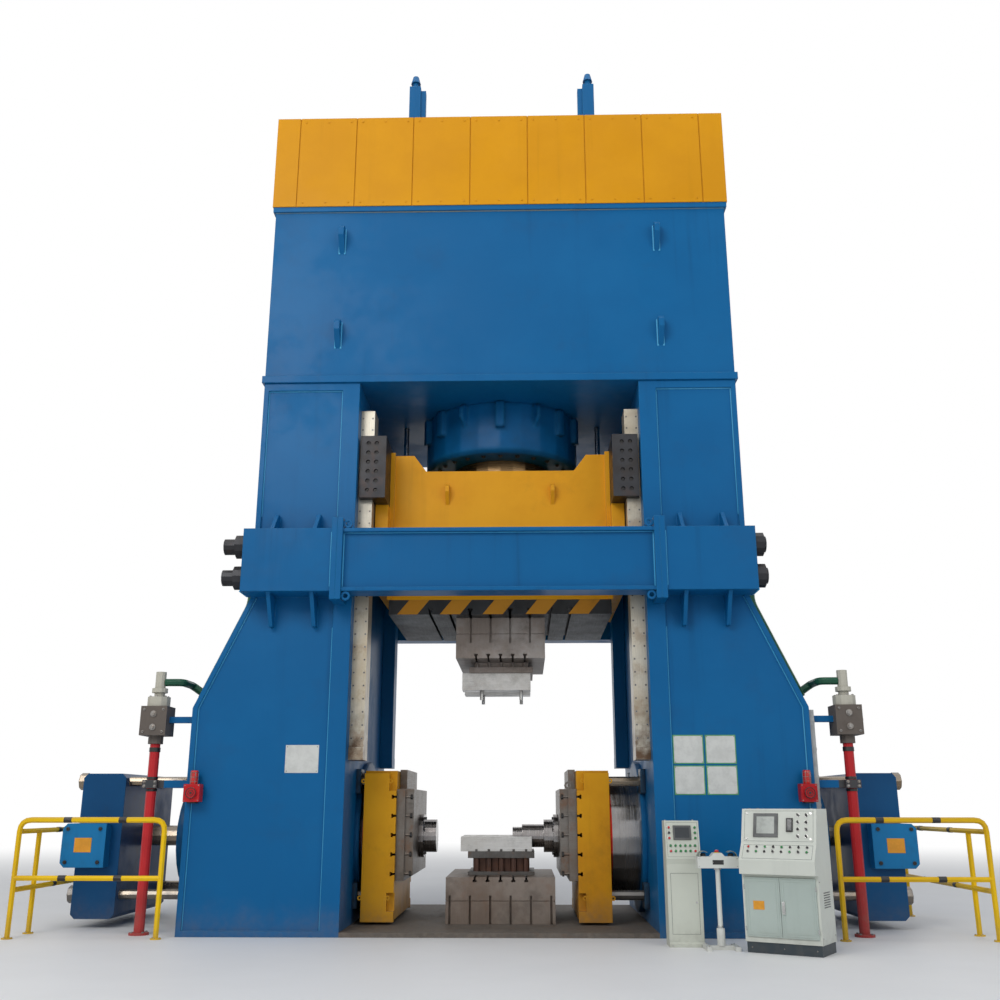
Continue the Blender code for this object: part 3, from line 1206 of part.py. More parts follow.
def make_side_cylinder(name, side):
    """A side cylinder through its upright, with the four glands of the pull rods."""
    bore = RAM_RADIUS + PLUNGER_FIT
    step = WINDOW_HALF_WIDTH - CLEARANCE
    back = RETURN_PLUNGER_RADIUS + RUNNING_FIT
    profile = [(back, SIDE_CYLINDER_END), (SIDE_CAP_RADIUS, SIDE_CYLINDER_END),
               (SIDE_CAP_RADIUS, SIDE_CAP_START), (SIDE_CYLINDER_RADIUS, SIDE_CAP_START),
               (SIDE_CYLINDER_RADIUS, step), (SIDE_FLANGE_RADIUS, step),
               (SIDE_FLANGE_RADIUS, SIDE_FLANGE_FACE), (bore, SIDE_FLANGE_FACE),
               (bore, RAM_BORE_END), (0, RAM_BORE_END), (0, RETURN_BORE_END), (back, RETURN_BORE_END)]
    cylinder = turned(name, profile, (0, 0, RAM_AXIS), "X", side)
    glands = []
    for y, z in pull_rod_places():
        gland = block("gland", mirrored(side, SIDE_FLANGE_FACE, step), (y - GLAND_HALF, y + GLAND_HALF),
                      (z - GLAND_HALF, z + GLAND_HALF))
        hole = rod("gland_hole", (min(mirrored(side, SIDE_FLANGE_FACE, step)) - OVERRUN, y, z),
                   step - SIDE_FLANGE_FACE + 2 * OVERRUN, PULL_ROD_RADIUS + RUNNING_FIT, "X")
        main = rod("gland_main", (min(mirrored(side, SIDE_FLANGE_FACE, step)) - OVERRUN, 0, RAM_AXIS),
                   step - SIDE_FLANGE_FACE + 2 * OVERRUN, SIDE_FLANGE_RADIUS - WELD, "X", LARGE_STEPS)
        glands.append(as_mesh(cut(gland, hole, main)))
    weld(cylinder, together("glands", glands))
    finish(cylinder, "frame")


def ring_profile(pairs, near, far):
    """A solid turned profile from stacked (radius, end) pairs that run from far back to near."""
    profile = [(0, far)]
    level = far
    for radius, end in pairs:
        profile += [(radius, level), (radius, end)]
        level = end
    profile.append((0, near))
    return profile


def make_platen(name, side, face, parent):
    """A ram's platen: steel core between two cheek plates, with T slots across its face."""
    back = face + PLATEN_THICKNESS
    core = block(name, mirrored(side, face, back), (-PLATEN_CORE_HALF_DEPTH, PLATEN_CORE_HALF_DEPTH),
                 (PLATEN_BOTTOM + OVERRUN, PLATEN_CORE_TOP - OVERRUN))
    notch = face + CHEEK_NOTCH_DEPTH
    high, low = CHEEK_NOTCH_TOP_END, PLATEN_BOTTOM + CHEEK_NOTCH_FOOT - CHEEK_NOTCH_DEPTH
    outline = [(back, PLATEN_BOTTOM), (back, PLATEN_TOP), (notch, PLATEN_TOP),
               (notch, high - CHEEK_NOTCH_HEIGHT), (face, high - CHEEK_NOTCH_HEIGHT),
               (face, low + CHEEK_NOTCH_HEIGHT), (notch, low + CHEEK_NOTCH_HEIGHT), (notch, low),
               (face, low), (face, PLATEN_BOTTOM)]
    outline = [(side * across, up) for across, up in outline]
    cheeks = [plate("cheek", outline, near * (PLATEN_CORE_HALF_DEPTH - WELD),
                    near * PLATEN_HALF_DEPTH) for near in (-1, 1)]
    weld(core, *cheeks)
    eyes = []
    for level in CHEEK_EYE_LEVELS:
        for x in (notch - CHEEK_EYE_RADIUS / 2, back + CHEEK_EYE_RADIUS / 2):
            eyes.append(ring_plate("cheek_eye", (side * x, level), CHEEK_EYE_RADIUS, CHEEK_EYE_HOLE,
                                   -PLATEN_HALF_DEPTH + CLEARANCE,
                                   CHEEK_EYE_THICKNESS - PLATEN_HALF_DEPTH, "XZ"))
    weld(core, together("cheek_eyes", eyes))
    slots = []
    for index in range(TBOLT_COUNT):
        level = PLATEN_SLOT_LOW + index * PLATEN_SLOT_PITCH
        neck, head = SMALL_TSLOT_NECK / 2, SMALL_TSLOT_HEAD / 2
        deep, deeper = face + SMALL_TSLOT_NECK_DEPTH, face + SMALL_TSLOT_NECK_DEPTH + SMALL_TSLOT_HEAD_DEPTH
        outline = [(face - OVERRUN, level - neck), (deep, level - neck), (deep, level - head),
                   (deeper, level - head), (deeper, level + head), (deep, level + head),
                   (deep, level + neck), (face - OVERRUN, level + neck)]
        slots.append(plate("platen_slot", [(side * across, up) for across, up in outline],
                           -PLATEN_HALF_DEPTH - OVERRUN, PLATEN_HALF_DEPTH + OVERRUN))
    cut(core, together("platen_slots", slots))
    finish(core, "yellow", parent)


def make_die_plate(name, side, face, parent):
    """The stepped plate bolted to a platen, with its T bolts and an eye bolt."""
    back = face - CLEARANCE
    step, front = face - DIE_PLATE_STEP, face - 2 * DIE_PLATE_STEP
    deep = DIE_PLATE_HALF_DEPTH
    body = block(name, mirrored(side, step, back), (-deep, deep), (DIE_PLATE_BOTTOM, DIE_PLATE_TOP))
    inset = deep - DIE_PLATE_FRONT_INSET
    inner = block("die_plate_front", mirrored(side, front, step + WELD), (-inset, inset),
                  (DIE_PLATE_LOW, DIE_PLATE_TOP - CLEARANCE))
    head = block("die_plate_head", mirrored(side, step + SPLIT_GROOVE, back - WELD),
                 (-DIE_PLATE_HEAD_FRONT, DIE_PLATE_HEAD_FRONT),
                 (DIE_PLATE_TOP - WELD, DIE_PLATE_HEAD_TOP))
    bolts = []
    for index in range(TBOLT_COUNT):
        level = PLATEN_SLOT_LOW + index * PLATEN_SLOT_PITCH
        for near in (-1, 1):
            start = min(mirrored(side, front + DIE_PLATE_FRONT_INSET, back - WELD))
            bolts.append(rod("side_bolt", (start, near * inset, level),
                             2 * DIE_PLATE_STEP - DIE_PLATE_FRONT_INSET - WELD, TBOLT_RADIUS, "X",
                             FINE_STEPS))
    weld(body, inner, head, together("side_bolts", bolts))
    if side > 0:
        centre = (step, DIE_PLATE_TOP + EYE_BOLT_RADIUS - WELD)
        ring = ring_plate("eye_bolt", centre, EYE_BOLT_RADIUS, EYE_BOLT_RADIUS - 2 * EYE_BOLT_WIRE,
                          -deep + DIE_PLATE_FRONT_INSET,
                          2 * EYE_BOLT_WIRE - deep + DIE_PLATE_FRONT_INSET, "XZ")
        weld(body, ring)
    finish(body, "steel", parent)
    return front


def make_ram(hand, side, face, punch_steps):
    """One side ram with everything that travels on it; its frame is on the ram's axis."""
    parent = frame_at(f"{hand}_ram_axis", (side * face, 0, RAM_AXIS))
    back = face + PLATEN_THICKNESS + CLEARANCE
    ram = turned(f"{hand}_ram", ring_profile([(RAM_RADIUS, back)], back, back + RAM_LENGTH),
                 (0, 0, RAM_AXIS), "X", side)
    finish(ram, "steel", parent)
    make_platen(f"{hand}_platen", side, face, parent)
    front = make_die_plate(f"{hand}_die_plate", side, face, parent)
    base = front - CLEARANCE
    steps = [(PUNCH_FLANGE_RADIUS, base - PUNCH_FLANGE)] + punch_steps
    near = steps[-1][1]
    punch = turned(f"{hand}_punch", ring_profile(steps, near, base), (0, 0, RAM_AXIS), "X", side)
    finish(punch, "steel", parent)
    make_crosshead(f"{hand}_crosshead", side, back, parent)


def make_crosshead(name, side, back, parent):
    """The outer crosshead with its hub, return plunger, pull rods and nuts."""
    near = back + CROSSHEAD_OFFSET
    far = near + CROSSHEAD_THICKNESS
    corner = CROSSHEAD_CORNER
    outline = [(near + corner, CROSSHEAD_BOTTOM), (far - corner, CROSSHEAD_BOTTOM),
               (far, CROSSHEAD_BOTTOM + corner), (far, CROSSHEAD_TOP - corner),
               (far - corner, CROSSHEAD_TOP), (near + corner, CROSSHEAD_TOP),
               (near, CROSSHEAD_TOP - corner), (near, CROSSHEAD_BOTTOM + corner)]
    body = plate(name, [(side * across, up) for across, up in outline],
                 -CROSSHEAD_HALF_DEPTH, CROSSHEAD_HALF_DEPTH)
    corner = HUB_CORNER
    left, right = near + HUB_START, far + HUB_REACH
    outline = [(left, HUB_BOTTOM), (right - corner, HUB_BOTTOM), (right, HUB_BOTTOM + corner),
               (right, HUB_TOP - corner), (right - corner, HUB_TOP), (left, HUB_TOP)]
    hub = plate("hub", [(side * across, up) for across, up in outline], -HUB_HALF_DEPTH, HUB_HALF_DEPTH)
    plunger = rod("return_plunger", (min(mirrored(side, near - RETURN_PLUNGER_DEPTH, near + WELD)), 0,
                                     RAM_AXIS), RETURN_PLUNGER_DEPTH + WELD, RETURN_PLUNGER_RADIUS,
                  "X", SMALL_STEPS)
    rods, nuts = [], []
    for y, z in pull_rod_places():
        rods.append(rod("pull_rod", (min(mirrored(side, back, near + WELD)), y, z),
                        near - back + WELD, PULL_ROD_RADIUS, "X", FINE_STEPS))
        nuts.append(rod("pull_nut", (min(mirrored(side, far - WELD, far + PULL_NUT_LENGTH)), y, z),
                        PULL_NUT_LENGTH + WELD, PULL_NUT_RADIUS, "X", FINE_STEPS))
    middle = (HUB_BOTTOM + HUB_TOP) / 2
    nuts.append(rod("hub_nut", (min(mirrored(side, right - WELD, right + PULL_NUT_LENGTH)), 0, middle),
                    PULL_NUT_LENGTH + WELD, PULL_NUT_RADIUS, "X"))
    weld(body, hub, together("pull_rods", rods), together("pull_nuts", nuts), plunger)
    finish(body, "frame", parent)


def make_riser(hand, side):
    """The riser pipe beside an upright, with its floor flange and wall clamp."""
    x = side * RISER_X
    pipe = rod(f"{hand}_riser", (x, RISER_Y, 0), VALVE_NECK_BOTTOM - CLEARANCE, RISER_RADIUS)
    flange = rod("riser_flange", (x, RISER_Y, CLEARANCE), RISER_FLANGE_HEIGHT, RISER_FLANGE_RADIUS)
    half, low = RISER_CLAMP_HALF, RISER_CLAMP_LEVEL
    clamp = block("clamp", (x - half, x + half), (RISER_Y - half, RISER_Y + half),
                  (low, low + RISER_CLAMP_HEIGHT))
    arm = block("clamp_arm", mirrored(side, FOOT_HALF_WIDTH + CLEARANCE, RISER_X - half + WELD),
                (RISER_Y - BRACKET_HALF, RISER_Y + BRACKET_HALF),
                (low + WELD, low + RISER_CLAMP_HEIGHT - WELD))
    weld(pipe, flange, clamp, arm)
    finish(pipe, "red")


def make_valve_block(hand, side):
    """The valve block on a riser, with its stem and its arm from the upright."""
    x, half = side * RISER_X, VALVE_HALF
    body = block(f"{hand}_valve_block", (x - half, x + half), (RISER_Y - half, RISER_Y + half),
                 (VALVE_BOTTOM, VALVE_TOP))
    stack = [(0, VALVE_STEM_TOP), (VALVE_STEM_RADIUS, VALVE_STEM_TOP),
             (VALVE_STEM_RADIUS, VALVE_COLLAR_BOTTOM + PIPE_FLANGE_LENGTH),
             (VALVE_COLLAR_RADIUS, VALVE_COLLAR_BOTTOM + PIPE_FLANGE_LENGTH),
             (VALVE_COLLAR_RADIUS, VALVE_COLLAR_BOTTOM), (VALVE_STEM_RADIUS, VALVE_COLLAR_BOTTOM),
             (VALVE_STEM_RADIUS, VALVE_CAP_TOP), (VALVE_CAP_RADIUS, VALVE_CAP_TOP),
             (VALVE_CAP_RADIUS, VALVE_TOP - WELD), (VALVE_NECK_RADIUS, VALVE_TOP - WELD),
             (VALVE_NECK_RADIUS, VALVE_NECK_BOTTOM), (0, VALVE_NECK_BOTTOM)]
    stem = turned("stem", stack, (x, RISER_Y, 0), steps=SMALL_STEPS)
    arm = block("valve_arm", mirrored(side, FOOT_HALF_WIDTH + CLEARANCE, RISER_X - half + WELD),
                (RISER_Y - BRACKET_HALF, RISER_Y + BRACKET_HALF),
                (VALVE_BRACKET_LEVEL - BRACKET_HALF, VALVE_BRACKET_LEVEL + BRACKET_HALF))
    weld(body, stem, arm)
    finish(body, "block")


def bend(start, corner, end, radius, steps=4):
    """Points of a smooth bend at a corner of a pipe's route."""
    start, corner, end = Vector(start), Vector(corner), Vector(end)
    first = corner + (start - corner).normalized() * radius
    last = corner + (end - corner).normalized() * radius
    return [(first * (1 - share) ** 2 + corner * 2 * share * (1 - share) + last * share ** 2)
            for share in (step / steps for step in range(steps + 1))]


def make_pilot_pipe(hand, side):
    """The large pipe along an upright's taper, with the branch to the valve block."""
    slope = Vector((FRAME_HALF_WIDTH - FOOT_HALF_WIDTH, 0, TAPER_TOP - TAPER_BOTTOM)).normalized()
    out = Vector((slope.z, 0, -slope.x)) * PIPE_OFF
    foot = Vector((FOOT_HALF_WIDTH, PIPE_Y, TAPER_BOTTOM)) + out
    low = foot + slope * (PIPE_LOW - TAPER_BOTTOM)
    run = (foot.x - FRAME_HALF_WIDTH - PIPE_OFF) / -slope.x
    knee = foot + slope * run
    top = Vector((knee.x, PIPE_Y, PIPE_HIGH))
    entry = Vector((FRAME_HALF_WIDTH + CLEARANCE, PIPE_Y, PIPE_HIGH))
    turn = PIPE_OFF - PIPE_OFF / 5
    route = [low] + bend(low, knee, top, turn) + bend(knee, top, entry, turn) + [entry]
    main = tube(f"{hand}_pilot_pipe", [(side * p.x, p.y, p.z) for p in route], PIPE_RADIUS)
    branch_start = low + slope * PIPE_FLANGE_LENGTH
    stem = Vector((RISER_X - VALVE_STEM_RADIUS - CLEARANCE, RISER_Y, BRANCH_LEVEL))
    corner = Vector((stem.x - 2 * PIPE_FLANGE_RADIUS, RISER_Y, BRANCH_LEVEL))
    lift = Vector((low.x + 2 * PIPE_RADIUS, PIPE_Y, BRANCH_LEVEL))
    line = [branch_start] + bend(branch_start, lift, corner, PIPE_RADIUS)
    line += bend(lift, corner, stem, PIPE_RADIUS) + [stem]
    branch = tube("branch", [(side * p.x, p.y, p.z) for p in line], BRANCH_RADIUS)
    weld(main, branch)
    finish(main, "green")


def make_siren(hand, side):
    """A siren box with its horn and a beacon on top, on the front of an upright."""
    face = -FRAME_HALF_DEPTH - CLEARANCE
    x = side * (SIREN_OUTER - SIREN_WIDTH / 2)
    body = block(f"{hand}_siren", mirrored(side, SIREN_OUTER - SIREN_WIDTH, SIREN_OUTER),
                 (face - SIREN_DEPTH, face), (SIREN_BOTTOM, SIREN_BOTTOM + SIREN_HEIGHT))
    middle = SIREN_BOTTOM + SIREN_HEIGHT / 2
    horn = rod("horn", (x, face - SIREN_DEPTH - SIREN_HORN_DEPTH, middle),
               SIREN_HORN_DEPTH + WELD, SIREN_HORN_RADIUS, "Y")
    beacon = rod("beacon", (x, face - SIREN_DEPTH / 2, SIREN_BOTTOM + SIREN_HEIGHT - WELD),
                 BEACON_HEIGHT, BEACON_RADIUS, end_radius=BEACON_RADIUS - WELD)
    weld(body, horn, beacon)
    finish(body, "red")


def make_railing(hand, side):
    """A guard rail beside a crosshead: a front frame and a frame along its side."""
    inner, outer, front = RAILING_INNER, RAILING_OUTER, RAILING_Y
    top, middle, turn = RAILING_TOP, RAILING_MIDDLE, RAILING_BEND
    path = [(inner, front, 0)] + bend((inner, front, 0), (inner, front, top), (outer, front, top), turn)
    path += bend((inner, front, top), (outer, front, top), (outer, front, 0), turn) + [(outer, front, 0)]
    name = f"{hand}_guard_rail"
    frame = tube(name, [(side * p[0], p[1], p[2]) for p in path], RAILING_RADIUS, 1)
    side_path = [(outer, front + WELD, top - RAILING_BEND)]
    side_path += bend((outer, front, top - turn), (outer, RAILING_BACK, top - turn),
                      (outer, RAILING_BACK, 0), turn)
    side_path.append((outer, RAILING_BACK, 0))
    back = tube("side_frame", [(side * p[0], p[1], p[2]) for p in side_path], RAILING_RADIUS, 1)
    bars = [tube("middle_bar", [(side * inner, front, middle), (side * outer, front, middle)],
                 RAILING_RADIUS, 1),
            tube("side_bar", [(side * outer, front, middle - turn),
                              (side * outer, RAILING_BACK, middle - turn)], RAILING_RADIUS, 1),
            tube("post", [(side * outer, RAILING_POST_Y, 0), (side * outer, RAILING_POST_Y, top - turn)],
                 RAILING_RADIUS, 1)]
    feet = [rod("railing_foot", (side * x, y, CLEARANCE), RAILING_FOOT_HEIGHT, RAILING_FOOT_RADIUS,
                "Z", FINE_STEPS)
            for x, y in ((inner, front), (outer, front), (outer, RAILING_POST_Y), (outer, RAILING_BACK))]
    weld(frame, back, *bars, *feet)
    finish(frame, "rail")


def console_outline():
    """The console seen from its side: cabinet, flared desk and sloped panel."""
    return [(0, CONSOLE_PLINTH), (CONSOLE_DEPTH, CONSOLE_PLINTH), (CONSOLE_DEPTH, CONSOLE_TOP),
            (CONSOLE_PANEL_BACK, CONSOLE_TOP), (CONSOLE_DESK_BACK, CONSOLE_DESK_TOP),
            (-CONSOLE_DESK_REACH, CONSOLE_CABINET_TOP + CONSOLE_DESK_LIP),
            (-CONSOLE_DESK_REACH, CONSOLE_CABINET_TOP), (0, CONSOLE_CABINET_TOP)]


def on_slope(low, high, share):
    """The point at a share of the way between two (y, z) points, and the slope's angle."""
    y = low[0] + (high[0] - low[0]) * share
    z = low[1] + (high[1] - low[1]) * share
    return y, z, math.atan2(high[0] - low[0], high[1] - low[1])


def knob(x, y, z, lean, radius, proud):
    """A round button that stands square on a sloped panel."""
    button = rod("knob", (0, 0, -WELD), proud + WELD, radius, "Z", KNOB_STEPS)
    turn = Matrix.Rotation(math.pi / 2 - lean, 4, "X")
    button.data.transform(Matrix.Translation((x, y, z)) @ turn)
    return button


def panel_box(x, width, low, high, shares, proud):
    """A raised frame on a sloped panel, between two shares of its height."""
    y0, z0, lean = on_slope(low, high, shares[0])
    y1, z1, lean = on_slope(low, high, shares[1])
    out_y, out_z = -math.cos(lean) * proud, math.sin(lean) * proud
    in_y, in_z = math.cos(lean) * WELD, -math.sin(lean) * WELD
    outline = [(y0 + out_y, z0 + out_z), (y1 + out_y, z1 + out_z), (y1 + in_y, z1 + in_z),
               (y0 + in_y, z0 + in_z)]
    return plate("panel_box", outline, x, x + width, "YZ")


def make_console():
    """The operator console with its two cabinet doors, turned towards the press."""
    base = frame_at("console_corner", (CONSOLE_X, CONSOLE_Y, 0))
    base.rotation_euler = (0, 0, math.radians(CONSOLE_TURN))
    bpy.context.view_layer.update()
    width, deep = CONSOLE_WIDTH, CONSOLE_DEPTH
    cabinet = plate("console", console_outline(), 0, width, "YZ")
    plinth = block("plinth", (CONSOLE_PLINTH_INSET, width - CONSOLE_PLINTH_INSET),
                   (CONSOLE_PLINTH_INSET, deep - CONSOLE_PLINTH_INSET), (0, CONSOLE_PLINTH + WELD))
    inside = block("cabinet_inside", (2 * CONSOLE_WALL, width - 2 * CONSOLE_WALL),
                   (-CLEARANCE - OVERRUN, deep - CONSOLE_WALL),
                   (DOOR_BOTTOM + CONSOLE_WALL, DOOR_TOP - CONSOLE_WALL))
    top = (CONSOLE_PANEL_BACK, CONSOLE_TOP)
    desk = (CONSOLE_DESK_BACK, CONSOLE_DESK_TOP)
    lip = (-CONSOLE_DESK_REACH, CONSOLE_CABINET_TOP + CONSOLE_DESK_LIP)
    knobs = []
    for share in PANEL_KNOB_SHARES:
        for across in PANEL_KNOB_X_SHARES:
            knobs.append(knob(width * across, *on_slope(desk, top, share), BUTTON_RADIUS, BUTTON_PROUD))
    for share in DESK_BUTTON_SHARES:
        for index in range(DESK_BUTTON_COUNT):
            x = width * (index + 1) / (DESK_BUTTON_COUNT + 1)
            knobs.append(knob(x, *on_slope(lip, desk, share), BUTTON_RADIUS, BUTTON_PROUD))
    boxes = [panel_box(width * SCREEN_LEFT_SHARE, SCREEN_WIDTH, desk, top, SCREEN_SHARES, SCREEN_FRAME),
             panel_box(width * DISPLAY_LEFT_SHARE, DISPLAY_WIDTH, desk, top, DISPLAY_SHARES,
                       SCREEN_FRAME)]
    weld(cabinet, plinth, together("console_knobs", knobs), together("console_boxes", boxes))
    cut(cabinet, inside)
    place_in(cabinet, base)
    finish_in(cabinet, "cabinet")
    door = (width - 2 * DOOR_MARGIN - DOOR_GAP) / 2
    for hand, hinge, turn in (("left", DOOR_MARGIN, 1), ("right", width - DOOR_MARGIN, -1)):
        axis = link(f"{hand}_door_hinge", None)
        axis.parent = base
        axis.location = (hinge, -DOOR_THICKNESS - CLEARANCE, DOOR_BOTTOM)
        panel = block(f"{hand}_console_door", mirrored(turn, 0, door), (0, DOOR_THICKNESS),
                      (0, DOOR_TOP - DOOR_BOTTOM))
        if hand == "right":
            x = turn * (door - HANDLE_INSET)
            grip = block("door_handle", (x - HANDLE_WIDTH / 2, x + HANDLE_WIDTH / 2),
                         (-HANDLE_PROUD, WELD),
                         ((DOOR_TOP - DOOR_BOTTOM - HANDLE_LENGTH) / 2,
                          (DOOR_TOP - DOOR_BOTTOM + HANDLE_LENGTH) / 2))
            weld(panel, grip)
        place_in(panel, axis)
        finish_in(panel, "cabinet")


def place_in(piece, parent):
    """Carry a piece, modelled in its parent's frame, with that parent."""
    piece.parent = parent
    for step in piece.modifiers:
        if step.type == "BOOLEAN":
            step.object.parent = parent


def finish_in(piece, key):
    """Give a piece in a turned frame its surface."""
    bpy.context.view_layer.update()
    finish(piece, key)


def make_pedestal():
    """The narrow pedestal with its own screen and buttons on a leaning head."""
    x, y, width = PEDESTAL_X, PEDESTAL_Y, PEDESTAL_WIDTH
    outline = [(y - PEDESTAL_FOOT_REACH, 0), (y + PEDESTAL_DEPTH, 0), (y + PEDESTAL_DEPTH, PEDESTAL_TOP),
               (y + PEDESTAL_LEAN, PEDESTAL_TOP), (y - PEDESTAL_FOOT_REACH, PEDESTAL_NECK),
               (y, PEDESTAL_NECK - PEDESTAL_LEAN), (y, PEDESTAL_FOOT_HEIGHT + PEDESTAL_FOOT_REACH),
               (y - PEDESTAL_FOOT_REACH, PEDESTAL_FOOT_HEIGHT)]
    body = plate("pedestal", outline, x, x + width, "YZ")
    low, high = (y - PEDESTAL_FOOT_REACH, PEDESTAL_NECK), (y + PEDESTAL_LEAN, PEDESTAL_TOP)
    screen = panel_box(x + width / 4, width / 2, low, high, PEDESTAL_SCREEN_SHARES,
                       SCREEN_FRAME)
    knobs = []
    for share in PEDESTAL_ROW_SHARES:
        for index in range(PEDESTAL_ROW_COUNT):
            place = x + width * (index + 1) / (PEDESTAL_ROW_COUNT + 1)
            knobs.append(knob(place, *on_slope(low, high, share), BUTTON_RADIUS, BUTTON_PROUD))
    for share in PEDESTAL_COLUMN_SHARES:
        for across in PEDESTAL_COLUMN_X_SHARES:
            knobs.append(knob(x + width * across, *on_slope(low, high, share), BUTTON_RADIUS,
                              BUTTON_PROUD))
    weld(body, screen, together("pedestal_knobs", knobs))
    finish(body, "cabinet")


def palm_shield(x, y, side):
    """The curved shield over a palm button, open towards the middle of the stand."""
    centre = (side * x, STAND_BOX_TOP - WELD)
    outer = arc(centre, SHIELD_RADIUS, SHIELD_START, SHIELD_END, SHIELD_STEPS)
    inner = arc(centre, SHIELD_RADIUS - SHIELD_WALL, SHIELD_END, SHIELD_START, SHIELD_STEPS)
    outline = [(side * across, up) for across, up in outer + inner]
    return plate("palm_shield", outline, y - SHIELD_HALF_DEPTH, y + SHIELD_HALF_DEPTH)


def make_stand():
    """The two-hand control stand, its two palm buttons and its stop button."""
    x, y = STAND_X, STAND_Y
    half, deep = STAND_BOX_HALF, STAND_BOX_DEPTH / 2
    box = block("two_hand_stand", (x - half, x + half), (y - deep, y + deep),
                (STAND_BOX_BOTTOM, STAND_BOX_TOP))
    rise = STAND_HUMP_TOP - STAND_BOX_TOP
    outline = [(x - STAND_HUMP_HALF, STAND_BOX_TOP - WELD), (x + STAND_HUMP_HALF, STAND_BOX_TOP - WELD),
               (x + STAND_HUMP_HALF - rise, STAND_HUMP_TOP), (x - STAND_HUMP_HALF + rise, STAND_HUMP_TOP)]
    hump = plate("stand_hump", outline, y - deep + CLEARANCE, y + deep - CLEARANCE)
    pole = rod("stand_pole", (x, y, STAND_FOOT_HEIGHT - WELD),
               STAND_BOX_BOTTOM - STAND_FOOT_HEIGHT + 2 * WELD, STAND_POLE_RADIUS)
    socket = rod("stand_socket", (x, y, STAND_FOOT_HEIGHT - WELD), STAND_SOCKET_TOP, STAND_SOCKET_RADIUS)
    foot, wide = STAND_FOOT_HALF, STAND_FOOT_WIDTH / 2
    across = block("stand_foot", (x - foot, x + foot), (y - wide, y + wide), (0, STAND_FOOT_HEIGHT))
    bars = [block("stand_bar", (x + side * foot - wide, x + side * foot + wide), (y - foot, y + foot),
                  (0, STAND_FOOT_HEIGHT - CLEARANCE)) for side in (-1, 1)]
    shields = [palm_shield(x + side * PALM_X, y, side) for side in (-1, 1)]
    weld(box, hump, socket, pole, across, together("stand_bars", bars),
         together("palm_shields", shields))
    sockets = [rod("palm_socket", (x + side * PALM_X, y, STAND_BOX_TOP - PALM_SOCKET),
                   PALM_SOCKET + OVERRUN / 2, PALM_STEM_RADIUS + PLUNGER_FIT)
               for side in (-1, 1)]
    sockets.append(rod("stop_socket", (x, y, STAND_HUMP_TOP - PALM_SOCKET), PALM_SOCKET + OVERRUN,
                       PALM_STEM_RADIUS + PLUNGER_FIT))
    cut(box, together("button_sockets", sockets))
    finish(box, "cabinet")
    buttons = [("left_palm_button", x - PALM_X, STAND_BOX_TOP, PALM_RADIUS, PALM_HEIGHT, "dark"),
               ("right_palm_button", x + PALM_X, STAND_BOX_TOP, PALM_RADIUS, PALM_HEIGHT, "dark"),
               ("emergency_stop_button", x, STAND_HUMP_TOP, STOP_RADIUS, STOP_HEIGHT, "red")]
    for name, place, level, radius, height, key in buttons:
        parent = frame_at(name + "_axis", (place, y, level))
        head = level + PALM_GAP
        profile = [(0, head + height), (radius * PALM_CROWN_SHARE, head + height),
                   (radius, head + height / 2),
                   (radius, head), (PALM_STEM_RADIUS, head),
                   (PALM_STEM_RADIUS, level - PALM_SOCKET + PALM_GAP), (0, level - PALM_SOCKET + PALM_GAP)]
        finish(turned(name, profile, (place, y, 0), steps=SMALL_STEPS), key, parent)


def clear_scene():
    """Remove what the scene holds before the model is made."""
    for item in list(bpy.data.objects):
        bpy.data.objects.remove(item)


def main():
    """Build the whole press."""
    clear_scene()
    make_bed()
    make_upright("left_upright", -1)
    make_upright("right_upright", 1)
    make_crown()
    make_shroud()
    make_tie_beam("front_tie_beam", -1)
    make_tie_beam("rear_tie_beam", 1)
    make_tie_rods()
    make_guide_rails()
    make_main_cylinder()
    make_return_cylinders()
    make_lower_tooling()
    slide_frame = frame_at("slide_axis", (0, 0, SLIDE_BOTTOM))
    make_slide(slide_frame)
    make_slide_plate(slide_frame)
    make_main_plunger(slide_frame)
    make_guide_shoes(slide_frame)
    make_return_rods(slide_frame)
    make_upper_tooling(slide_frame)
    make_ram("left", -1, LEFT_PLATEN_FACE, [(PUNCH_COLLAR_RADIUS, LEFT_COLLAR_END)])
    make_ram("right", 1, RIGHT_PLATEN_FACE,
             [(PUNCH_COLLAR_RADIUS, RIGHT_COLLAR_END), (PUNCH_BODY_RADIUS, RIGHT_BODY_END),
              (PUNCH_TIP_RADIUS, RIGHT_TIP_END)])
    for hand, side in (("left", -1), ("right", 1)):
        make_side_cylinder(f"{hand}_side_cylinder", side)
        make_riser(hand, side)
        make_valve_block(hand, side)
        make_pilot_pipe(hand, side)
        make_siren(hand, side)
        make_railing(hand, side)
    make_console()
    make_pedestal()
    make_stand()


if __name__ == "__main__":
    main()
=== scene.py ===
"""Looks of the multi-ram hydraulic forging press: paint, steel, bolts, welds, panels and stage.

The frame holds the working parts. This script gives each of them its finish, and adds the small
pieces that carry the look: bolts, weld beads, hazard stripes, bare plates, buttons and screens.
"""
import math

import bmesh
import bpy
from mathutils import Matrix, Vector


